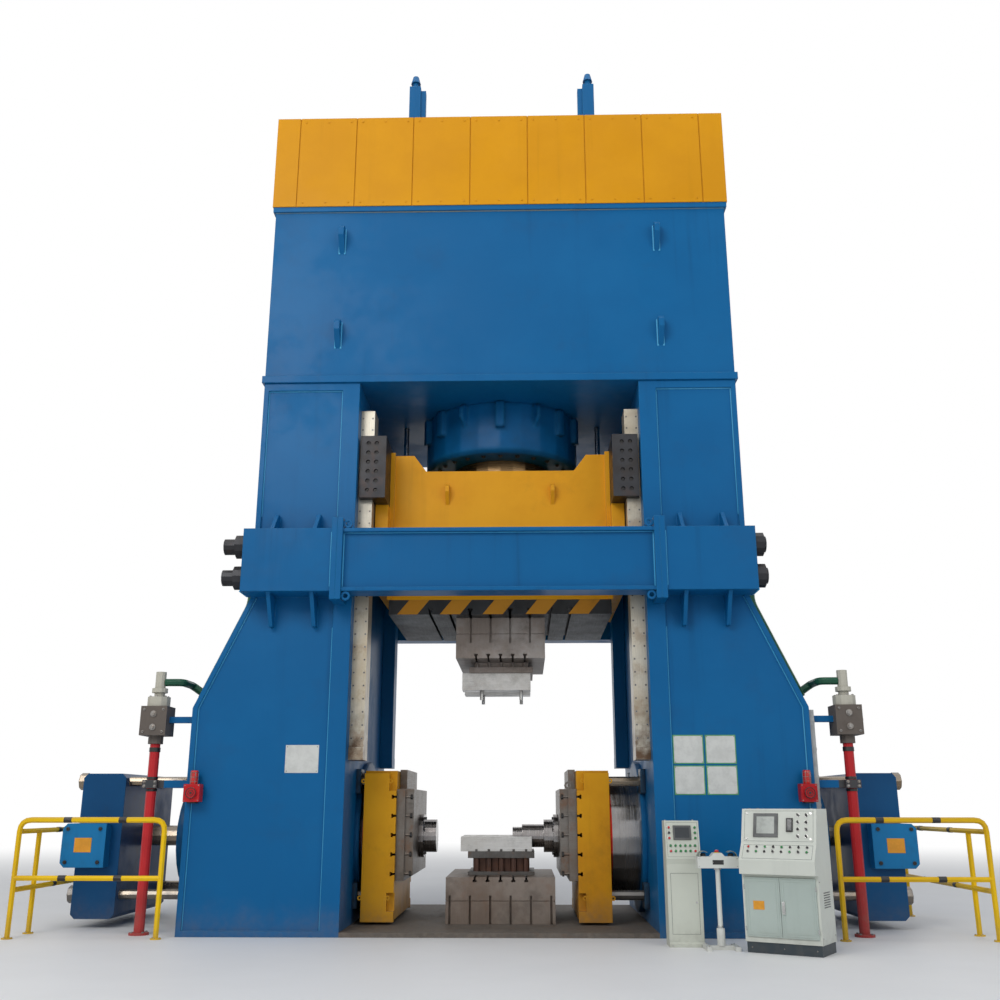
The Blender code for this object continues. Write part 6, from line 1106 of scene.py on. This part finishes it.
def rail_marks():
    """Black bands on the guard rails' bars, and bolts in their feet."""
    inner, outer, front, post, back = 3.63, 5.22, -1.90, -1.40, 0.75
    tube, reach, plate_top = 0.0306, 0.085, 0.0123

    def build(bm):
        """Two bands on each bar of the front and side frames."""
        for side in SIDES:
            for level, share in pairs((1.21, 0.61), (0.29, 0.67)):
                x = inner + (outer - inner) * share
                stud(bm, (side * (x - reach / 2), front, level), (side, 0, 0), tube, reach)
            for level, share in pairs((1.09, 0.49), (0.38, 0.74)):
                y = front + (back - front) * share
                stud(bm, (side * outer, y - reach / 2, level), (0, 1, 0), tube, reach)
    piece("rail_bands", "machine", ["Tape Black"], build)

    def feet(bm):
        """Three bolts around each post."""
        for side, (x, y) in pairs(SIDES, ((inner, front), (outer, front), (outer, post), (outer, back))):
            for a, b in around(3, 0.046, FULL / 12):
                bolt(bm, (side * x + a, y + b, plate_top), (0, 0, 1), 0.0065)
    piece("rail_foot_bolts", "machine", ["Bolt Steel"], feet)


CONSOLE_CORNER = (2.42, -2.78, 0)
CONSOLE_TURN = math.radians(-31)
CONSOLE_WIDE, CONSOLE_HIGH = 0.75, 1.33
DESK_FRONT, DESK_REAR, PANEL_REAR = (-0.07, 0.85), (0.03, 1.00), (0.12, 1.33)
DOOR_LOW = 0.15
BEZEL, CAP = 1.35, 0.9


def slope(place, foot, top):
    """The place and length of a sloped panel, with X across it, Y up it and Z out of it."""
    rise = Vector((0, top[0] - foot[0], top[1] - foot[1]))
    across, up = Vector((1, 0, 0)), rise.normalized()
    turn = Matrix((across, up, across.cross(up))).transposed().to_4x4()
    return place @ Matrix.Translation((0, foot[0], foot[1])) @ turn, rise.length


def push_button(bm, place, x, y, radius, paint, ring=0, height=0.016):
    """A round button in its bezel, over the part's own button."""
    stud(bm, (x, y, -SEAT), (0, 0, 1), radius * BEZEL, 0.0045, soften=0.001, paint=ring, place=place)
    stud(bm, (x, y, SEAT), (0, 0, 1), radius, height * 0.8, soften=radius * 0.14, paint=paint,
         place=place)
    stud(bm, (x, y, height * 0.8), (0, 0, 1), radius * CAP, height * 0.2, soften=height * 0.08,
         paint=paint, end=radius * 0.6, place=place)


def turn_knob(bm, place, x, y, radius, turn, paint=0, ring=1):
    """A selector with a raised grip, over the part's own button."""
    stud(bm, (x, y, -SEAT), (0, 0, 1), radius * BEZEL, 0.005, soften=0.001, paint=ring, place=place)
    stud(bm, (x, y, SEAT), (0, 0, 1), radius, 0.0125, soften=0.001, paint=paint, place=place)
    grip = place @ Matrix.Translation((x, y, 0)) @ Matrix.Rotation(turn, 4, "Z")
    bar(bm, (-radius * 0.32, -radius * 1.1, 0.0115), (radius * 0.32, radius * 1.1, 0.026), soften=0.002,
        paint=paint, place=grip)


def outline_frame(bm, place, corner, far, line, proud, paint):
    """A thin raised line around a rectangle."""
    (x, y), (u, v) = corner, far
    for box in (((x, y), (u, y + line)), ((x, v - line), (u, v)), ((x, y + line), (x + line, v - line)),
                ((u - line, y + line), (u, v - line))):
        bar(bm, (*box[0], -SEAT), (*box[1], proud), paint=paint, place=place)


def screen(bm, place, corner, far, rim, inset, levels, paints):
    """A flat screen in a raised frame, which has levels for its top and for the screen's two faces."""
    (x, y), (u, v) = corner, far
    top, low_face, high_face = levels
    surround, glass = paints
    bar(bm, (x - rim, y - rim, SEAT), (u + rim, v + rim, top), soften=0.002, paint=surround, place=place)
    bar(bm, (x + inset[0], y + inset[1], low_face), (u - inset[0], v - inset[1], high_face),
        soften=0.0004, paint=glass, place=place)


def console_fittings():
    """Screen, display, selectors, buttons and locks on the console, and its doors' fittings."""
    base = Matrix.Translation(CONSOLE_CORNER) @ Matrix.Rotation(CONSOLE_TURN, 4, "Z")
    panel, tall = slope(base, DESK_REAR, PANEL_REAR)
    desk, deep = slope(base, DESK_FRONT, DESK_REAR)

    def screens(bm):
        """The pale screen and the dark display in their frames, and the panels' outlines."""
        levels, margin = (0.0135, 0.0130, 0.0142), 0.03
        screen(bm, panel, (0.1275, tall * 0.20), (0.3675, tall * 0.85), 0.004, (0.030, 0.028), levels, (1, 0))
        screen(bm, panel, (0.4575, tall * 0.35), (0.5175, tall * 0.72), 0.003, (0.010, 0.010), levels, (3, 2))
        right = CONSOLE_WIDE - margin
        outline_frame(bm, panel, (margin, 0.025), (right, tall - 0.02), 0.0022, 0.0009, 4)
        outline_frame(bm, desk, (margin, 0.018), (right, deep - 0.012), 0.0022, 0.0009, 4)
    piece("console_screens", "machine",
          ["Screen Pale", "Screen Frame", "Screen Dark", "Black Plastic", "Panel Line"], screens)

    def knobs(bm):
        """Two columns of selectors on the panel, and two rows of buttons on the desk."""
        for row, share in enumerate((0.82, 0.62, 0.42, 0.22)):
            for column, across in enumerate((0.76, 0.87)):
                turn_knob(bm, panel, CONSOLE_WIDE * across, tall * share, 0.0125,
                          (0.7, 0, -0.7)[(row + column) % 3])
        for row, share in enumerate((0.80, 0.52)):
            for index in range(8):
                x = CONSOLE_WIDE * (index + 1) / 9
                paint = 2 if (row, index) == (0, 0) else 3 + (index + row) % 2
                if index in (3, 6):
                    turn_knob(bm, desk, x, deep * share, 0.0115, 0.5 if row else -0.5)
                else:
                    push_button(bm, desk, x, deep * share, 0.0115, paint, ring=1)
        for x, y in pairs((0.055, CONSOLE_WIDE - 0.055), (0.05, tall - 0.045)):
            stud(bm, (x, y, -SEAT), (0, 0, 1), 0.011, 0.006, soften=0.001, paint=1, place=panel)
            bar(bm, (x - EDGE, y - 0.006, 0.005), (x + EDGE, y + 0.006, 0.0065), place=panel)
    piece("console_knobs", "machine",
          ["Black Plastic", "Button Silver", "Button Red", "Button Green", "Black Plastic"], knobs)

    def body(bm):
        """Side vents, lifting eyes on the top, and plinth screws."""
        vent_start, vent_end, vent_tall, vent_proud = 0.14, 0.34, 0.009, 0.003
        for row in range(7):
            z = 0.42 + row * 0.022
            for near, far in ((CONSOLE_WIDE - SINK, CONSOLE_WIDE + vent_proud), (-vent_proud, SINK)):
                bar(bm, (near, vent_start, z), (far, vent_end, z + vent_tall), soften=0.0012, paint=1,
                    place=base)
        left, right = 0.06, CONSOLE_WIDE - 0.06
        for x, y in pairs((left, right), (0.16, 0.42)):
            stud(bm, (x, y, CONSOLE_HIGH - SEAT), (0, 0, 1), 0.016, 0.005, soften=0.001, place=base)
        for x in steps(left, right, 3):
            stud(bm, (x, 0.0105, 0.05), (0, -1, 0), 0.007, 0.004, sides=HEX, soften=0.001, place=base)
        for z, y in pairs((0.16, 0.66), (0.03, 0.43)):
            for x, out in ((SINK, -1), (CONSOLE_WIDE - SINK, 1)):
                stud(bm, (x, y, z), (out, 0, 0), 0.006, SINK + 0.003, sides=SMALL, soften=0.001,
                     place=base)
    piece("console_body_fittings", "machine", ["Bolt Steel", "Screen Frame"], body)

    front, door_in = -0.0183, 0.025
    for hand, hinge, side in (("left", door_in, 1), ("right", CONSOLE_WIDE - door_in, -1)):
        def door(bm, hinge=hinge, side=side):
            """A pressed border, two hinge barrels, and a grip or a blank plate."""
            near, far = sorted((hinge + side * 0.014, hinge + side * 0.334))
            face = base @ Matrix.Translation((0, front, 0)) @ Matrix.Rotation(math.pi / 2, 4, "X")
            outline_frame(bm, face, (near, DOOR_LOW + 0.014), (far, 0.676), 0.003, 0.0012, 0)
            outline_frame(bm, face, (near + 0.022, DOOR_LOW + 0.036), (far - 0.022, 0.654), 0.0025, 0.0010, 0)
            for z in (0.22, 0.60):
                stud(bm, (hinge - side * SINK, front - 0.003, z - 0.022), (0, 0, 1), 0.0055, 0.044,
                     sides=SMALL, soften=0.001, paint=1, place=base)
            if side > 0:
                bar(bm, (0.105, front - 0.0015, 0.395), (0.215, front + SEAT, 0.475), soften=0.0005,
                    paint=2, place=base)
            else:
                x = hinge + side * 0.318
                bar(bm, (x - 0.014, front - 0.020, 0.362), (x + 0.014, front - 0.0005, 0.478),
                    soften=0.004, paint=3, place=base)
                bar(bm, (x - 0.008, front - 0.026, 0.375), (x + 0.008, front - 0.0195, 0.445),
                    soften=0.003, paint=1, place=base)
                stud(bm, (x, front - 0.0195, 0.462), (0, -1, 0), 0.007, 0.004, soften=0.001, paint=1,
                     place=base)
        piece(f"{hand}_door_fittings", f"{hand}_door",
              ["Door Coat", "Button Silver", "Plate Orange", "Handle White"], door)


def pedestal_fittings():
    """The screen and the rows of buttons on the pedestal's leaning head."""
    wide, back, neck, top_edge = 0.35, 0.24, 0.84, 1.21
    base = Matrix.Translation((low("pedestal").x, -2.42, 0))
    head, tall = slope(base, (-0.02, neck), (0.05, top_edge))

    def build(bm):
        """The screen, two rows of buttons below it, and a column of buttons on each side."""
        screen(bm, head, (wide / 4, tall * 0.50), (wide * 3 / 4, tall * 0.86), 0.004, (0.014, 0.016),
               (0.0140, 0.0135, 0.0146), (1, 0))
        outline_frame(bm, head, (0.015, 0.018), (wide - 0.015, tall - 0.016), 0.002, 0.0009, 6)
        for share, paints in ((0.34, (3, 3, 3, 3, 3, 3)), (0.20, (2, 3, 3, 3, 3, 2))):
            for index, paint in enumerate(paints):
                push_button(bm, head, wide * (index + 1) / 7, tall * share, 0.0125, paint, ring=4)
        for row, share in enumerate((0.54, 0.68, 0.82)):
            push_button(bm, head, wide * 0.12, tall * share, 0.0125, (2, 5, 2)[row], ring=4)
            push_button(bm, head, wide * 0.88, tall * share, 0.0125, 3, ring=4)
    piece("pedestal_buttons", "machine",
          ["Screen Dark", "Screen Frame", "Button Red", "Button Green", "Button Silver", "Black Plastic",
           "Panel Line"], build)

    def body(bm):
        """A service door's outline with its lock, and foot bolts."""
        face = base @ Matrix.Rotation(math.pi / 2, 4, "X")
        outline_frame(bm, face, (0.035, 0.12), (wide - 0.035, 0.70), 0.0025, 0.0012, 1)
        stud(bm, (wide - 0.06, SINK, 0.42), (0, -1, 0), 0.010, SINK + 0.005, soften=0.001, place=base)
        for x in (0.03, wide - 0.03):
            bolt(bm, (x, back - 0.004, top_edge + SEAT), (0, 0, 1), 0.008, place=base)
            stud(bm, (x, -0.018, 0.0155), (0, -1, 0), 0.008, 0.006, sides=HEX, soften=0.001, place=base)
    piece("pedestal_body_fittings", "machine", ["Button Silver", "Panel Line"], body)


def stand_fittings():
    """Collars of the stand's buttons, a blank plate, screws, and the faces of the buttons."""
    x, y, top, deep, palm_x = STAND_X, STAND_Y, STAND_TOP, 0.06, 0.138

    def build(bm):
        """Collars around the buttons, box screws, hump screws and foot screws."""
        for side in SIDES:
            stud(bm, (x + side * palm_x, y, top - SEAT), (0, 0, 1), 0.034, 0.005, soften=0.001)
            stud(bm, (x + side * palm_x, y, top + 0.004), (0, 0, 1), 0.024, 0.0045, soften=0.0008,
                 paint=1)
            for z in (0.778, 0.852):
                stud(bm, (x + side * 0.19, y - deep + SINK, z), (0, -1, 0), 0.005, SINK + 0.0025,
                     sides=SMALL, soften=0.0008)
            for a in (-0.10, 0.10):
                bolt(bm, (x + side * 0.14, y + a, 0.0397), (0, 0, 1), 0.007)
        stud(bm, (x, y, 0.9048), (0, 0, 1), 0.030, 0.0055, soften=0.0012, paint=2)
        bar(bm, (x - 0.055, y - deep - 0.0015, 0.795), (x + 0.055, y - deep + SEAT, 0.838),
            soften=0.0005, paint=1)
        for a in (-0.048, 0.048):
            stud(bm, (x + a, y - deep - EDGE, 0.8165), (0, -1, 0), 0.003, 0.002, sides=SMALL,
                 soften=0.0006)
        stud(bm, (x, y, 0.205), (0, 0, 1), 0.030, 0.018, soften=0.003)
        stud(bm, (x, y, 0.742), (0, 0, 1), 0.036, 0.018, soften=0.003)
    piece("stand_fittings", "machine", ["Button Silver", "Black Plastic", "Rail Paint"], build)

    def palms(bm, side):
        """A ridged rubber face on a palm button."""
        for radius in (0.010, 0.016):
            loop(bm, (x + side * palm_x, y, 0.9012), (0, 0, 1), radius, 0.0012)
    for side, hand in ((-1, "left"), (1, "right")):
        piece(f"{hand}_palm_face", f"{hand}_palm", ["Rubber"], lambda bm, side=side: palms(bm, side))

    def stop(bm):
        """A pale ring on the stop button's face."""
        loop(bm, (x, y, 0.9321), (0, 0, 1), 0.012, 0.0009)
    piece("stop_face", "stop", ["Plate White"], stop)


def background_rays(shade):
    """1 for the rays that show the white background: straight, mirrored and through glass."""
    ray = shade.add("ShaderNodeLightPath").outputs
    straight = shade.math("MAXIMUM", ray["Is Camera Ray"], ray["Is Transmission Ray"])
    return shade.math("MAXIMUM", straight, ray["Is Glossy Ray"])


def make_floor():
    """A wide pale floor that fades to white far from the press."""
    bm = bmesh.new()
    bmesh.ops.create_grid(bm, x_segments=8, y_segments=8, size=FLOOR_REACH)
    mesh = bpy.data.meshes.new("studio_floor")
    bm.to_mesh(mesh)
    bm.free()
    shade, shader = fresh("Studio Floor")
    cloud = use(shade, blotches(), Scale=0.25).outputs["Mask"]
    shade.feed(shader, "Base Color", shade.mix(cloud, (0.800, 0.800, 0.795), (0.770, 0.770, 0.765)))
    shader.inputs["Roughness"].default_value = 0.60
    far = shade.add("ShaderNodeVectorMath", {"operation": "LENGTH"}, i0=shade.place()).outputs["Value"]
    white = shade.add("ShaderNodeEmission", Color=(1, 1, 1, 1), Strength=1.0)
    seen = background_rays(shade)
    share = shade.math("MULTIPLY", shade.ramp(far, *FADE), seen)
    both = shade.add("ShaderNodeMixShader", i0=share, i1=shader.outputs[0], i2=white.outputs[0])
    shade.feed(shade.tree.nodes["Material Output"], "Surface", both.outputs[0])
    mesh.materials.append(finish_named("Studio Floor"))
    floor = bpy.data.objects.new("studio_floor", mesh)
    bpy.context.collection.objects.link(floor)


def make_world():
    """A soft sky for light, and a white one for the rays that show the background."""
    world = bpy.data.worlds.new("Studio")
    world.use_nodes = True
    bpy.context.scene.world = world
    shade = Shade(world.node_tree)
    sky = world.node_tree.nodes["Background"]
    sky.inputs["Color"].default_value = SKY
    sky.inputs["Strength"].default_value = SKY_STRENGTH
    white = shade.add("ShaderNodeBackground", Color=(1, 1, 1, 1), Strength=1.0)
    seen = background_rays(shade)
    both = shade.add("ShaderNodeMixShader", i0=seen, i1=sky.outputs[0], i2=white.outputs[0])
    shade.feed(shade.tree.nodes["World Output"], "Surface", both.outputs[0])


def make_light(name, place, aim, wide, tall, power, colour):
    """A large soft lamp that faces a point."""
    lamp = bpy.data.lights.new(name, "AREA")
    lamp.shape, lamp.size, lamp.size_y = "RECTANGLE", wide, tall
    lamp.energy, lamp.color = power, colour
    made = bpy.data.objects.new(name, lamp)
    made.location = place
    made.rotation_euler = (Vector(aim) - Vector(place)).to_track_quat("-Z", "Y").to_euler()
    bpy.context.collection.objects.link(made)


def make_camera():
    """The camera, low in front of the press."""
    lens = bpy.data.cameras.new("press_camera")
    lens.lens, lens.sensor_width = CAMERA_LENS, CAMERA_SENSOR
    lens.clip_end = CLIP_END
    made = bpy.data.objects.new("press_camera", lens)
    made.location = CAMERA_PLACE
    made.rotation_euler = (math.radians(CAMERA_PITCH), 0, math.radians(CAMERA_TURN))
    bpy.context.collection.objects.link(made)
    bpy.context.scene.camera = made


class PRESS_OT_finishes(bpy.types.Operator):
    """Make every finish and give the press's parts theirs"""
    bl_idname = "press.finishes"
    bl_label = "Finishes"

    def execute(self, context):
        finish_enamels()
        finish_metals()
        finish_fittings()
        finish_nodes()
        return {"FINISHED"}


class PRESS_OT_welds(bpy.types.Operator):
    """Lay the weld beads on the frame"""
    bl_idname = "press.welds"
    bl_label = "Welds"

    def execute(self, context):
        weld_runs()
        return {"FINISHED"}


class PRESS_OT_crown(bpy.types.Operator):
    """Dress the crown and its shroud"""
    bl_idname = "press.crown"
    bl_label = "Crown"

    def execute(self, context):
        crown_fittings()
        return {"FINISHED"}


class PRESS_OT_guides(bpy.types.Operator):
    """Screw the guide rails and shoes"""
    bl_idname = "press.guides"
    bl_label = "Guides"

    def execute(self, context):
        guide_screws()
        return {"FINISHED"}


class PRESS_OT_cylinders(bpy.types.Operator):
    """Bolt the cylinders"""
    bl_idname = "press.cylinders"
    bl_label = "Cylinders"

    def execute(self, context):
        cylinder_bolts()
        return {"FINISHED"}


class PRESS_OT_stripes(bpy.types.Operator):
    """Paint the slide plate's hazard stripes"""
    bl_idname = "press.stripes"
    bl_label = "Hazard stripes"

    def execute(self, context):
        slide_marks()
        return {"FINISHED"}


class PRESS_OT_plates(bpy.types.Operator):
    """Fix the blank plates to the uprights"""
    bl_idname = "press.plates"
    bl_label = "Blank plates"

    def execute(self, context):
        bare_plates()
        return {"FINISHED"}


class PRESS_OT_hubs(bpy.types.Operator):
    """Dress the crossheads' hubs"""
    bl_idname = "press.hubs"
    bl_label = "Crosshead hubs"

    def execute(self, context):
        hub_plates()
        return {"FINISHED"}


class PRESS_OT_tooling(bpy.types.Operator):
    """Bolt the side tooling"""
    bl_idname = "press.tooling"
    bl_label = "Tooling"

    def execute(self, context):
        tool_bolts()
        return {"FINISHED"}


class PRESS_OT_valves(bpy.types.Operator):
    """Dress the risers, valve blocks and pilot pipes"""
    bl_idname = "press.valves"
    bl_label = "Valves and pipes"

    def execute(self, context):
        valve_fittings()
        return {"FINISHED"}


class PRESS_OT_sirens(bpy.types.Operator):
    """Dress the sirens and the cable tray"""
    bl_idname = "press.sirens"
    bl_label = "Sirens"

    def execute(self, context):
        siren_fittings()
        return {"FINISHED"}


class PRESS_OT_rails(bpy.types.Operator):
    """Mark and bolt the guard rails"""
    bl_idname = "press.rails"
    bl_label = "Guard rails"

    def execute(self, context):
        rail_marks()
        return {"FINISHED"}


class PRESS_OT_console(bpy.types.Operator):
    """Fit the console's screens, buttons and door fittings"""
    bl_idname = "press.console"
    bl_label = "Console"

    def execute(self, context):
        console_fittings()
        return {"FINISHED"}


class PRESS_OT_pedestal(bpy.types.Operator):
    """Fit the pedestal's screen and buttons"""
    bl_idname = "press.pedestal"
    bl_label = "Pedestal"

    def execute(self, context):
        pedestal_fittings()
        return {"FINISHED"}


class PRESS_OT_stand(bpy.types.Operator):
    """Dress the two-hand stand"""
    bl_idname = "press.stand"
    bl_label = "Two-hand stand"

    def execute(self, context):
        stand_fittings()
        return {"FINISHED"}


class PRESS_OT_stage(bpy.types.Operator):
    """Set the floor, the lights and the camera"""
    bl_idname = "press.stage"
    bl_label = "Stage"

    def execute(self, context):
        context.scene.view_settings.view_transform = "Standard"
        make_floor()
        make_world()
        make_light("key_light", (-9, -18, 14), (0, -1.5, 4), wide=11, tall=8, power=1700,
                   colour=(1.0, 0.98, 0.95))
        make_light("fill_light", (12, -16, 9), (-0.5, -1.5, 3.5), wide=9, tall=9, power=500,
                   colour=(0.93, 0.96, 1.0))
        make_light("top_light", (0, -3, 19), (0, 0, 8), wide=14, tall=10, power=700,
                   colour=(1.0, 0.99, 0.96))
        make_camera()
        return {"FINISHED"}


DRESSING = (PRESS_OT_finishes, PRESS_OT_welds, PRESS_OT_crown, PRESS_OT_guides, PRESS_OT_cylinders,
            PRESS_OT_stripes, PRESS_OT_plates, PRESS_OT_hubs, PRESS_OT_tooling, PRESS_OT_valves,
            PRESS_OT_sirens, PRESS_OT_rails, PRESS_OT_console, PRESS_OT_pedestal, PRESS_OT_stand,
            PRESS_OT_stage)


class PRESS_PT_looks(bpy.types.Panel):
    """The sidebar panel with the press's colours, sizes and operators"""
    bl_label = "Forging Press"
    bl_idname = "PRESS_PT_looks"
    bl_space_type = "VIEW_3D"
    bl_region_type = "UI"
    bl_category = "Press"

    def draw(self, context):
        for settings in (context.scene.press_paint, context.scene.press_sizes):
            for name in settings.__annotations__:
                self.layout.prop(settings, name)
        for operator in DRESSING:
            self.layout.operator(operator.bl_idname)


CLASSES = (PressPaint, PressSizes, *DRESSING, PRESS_PT_looks)


def register():
    """Add the classes and the scene's settings."""
    for made in CLASSES:
        bpy.utils.register_class(made)
    bpy.types.Scene.press_paint = bpy.props.PointerProperty(type=PressPaint)
    bpy.types.Scene.press_sizes = bpy.props.PointerProperty(type=PressSizes)


def unregister():
    """Take the settings and the classes away again."""
    del bpy.types.Scene.press_sizes
    del bpy.types.Scene.press_paint
    for made in reversed(CLASSES):
        bpy.utils.unregister_class(made)


def main():
    """Dress the press."""
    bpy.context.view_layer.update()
    register()
    bpy.ops.press.finishes()
    bpy.ops.press.welds()
    bpy.ops.press.crown()
    bpy.ops.press.guides()
    bpy.ops.press.cylinders()
    bpy.ops.press.stripes()
    bpy.ops.press.plates()
    bpy.ops.press.hubs()
    bpy.ops.press.tooling()
    bpy.ops.press.valves()
    bpy.ops.press.sirens()
    bpy.ops.press.rails()
    bpy.ops.press.console()
    bpy.ops.press.pedestal()
    bpy.ops.press.stand()
    bpy.ops.press.stage()


if __name__ == "__main__":
    main()
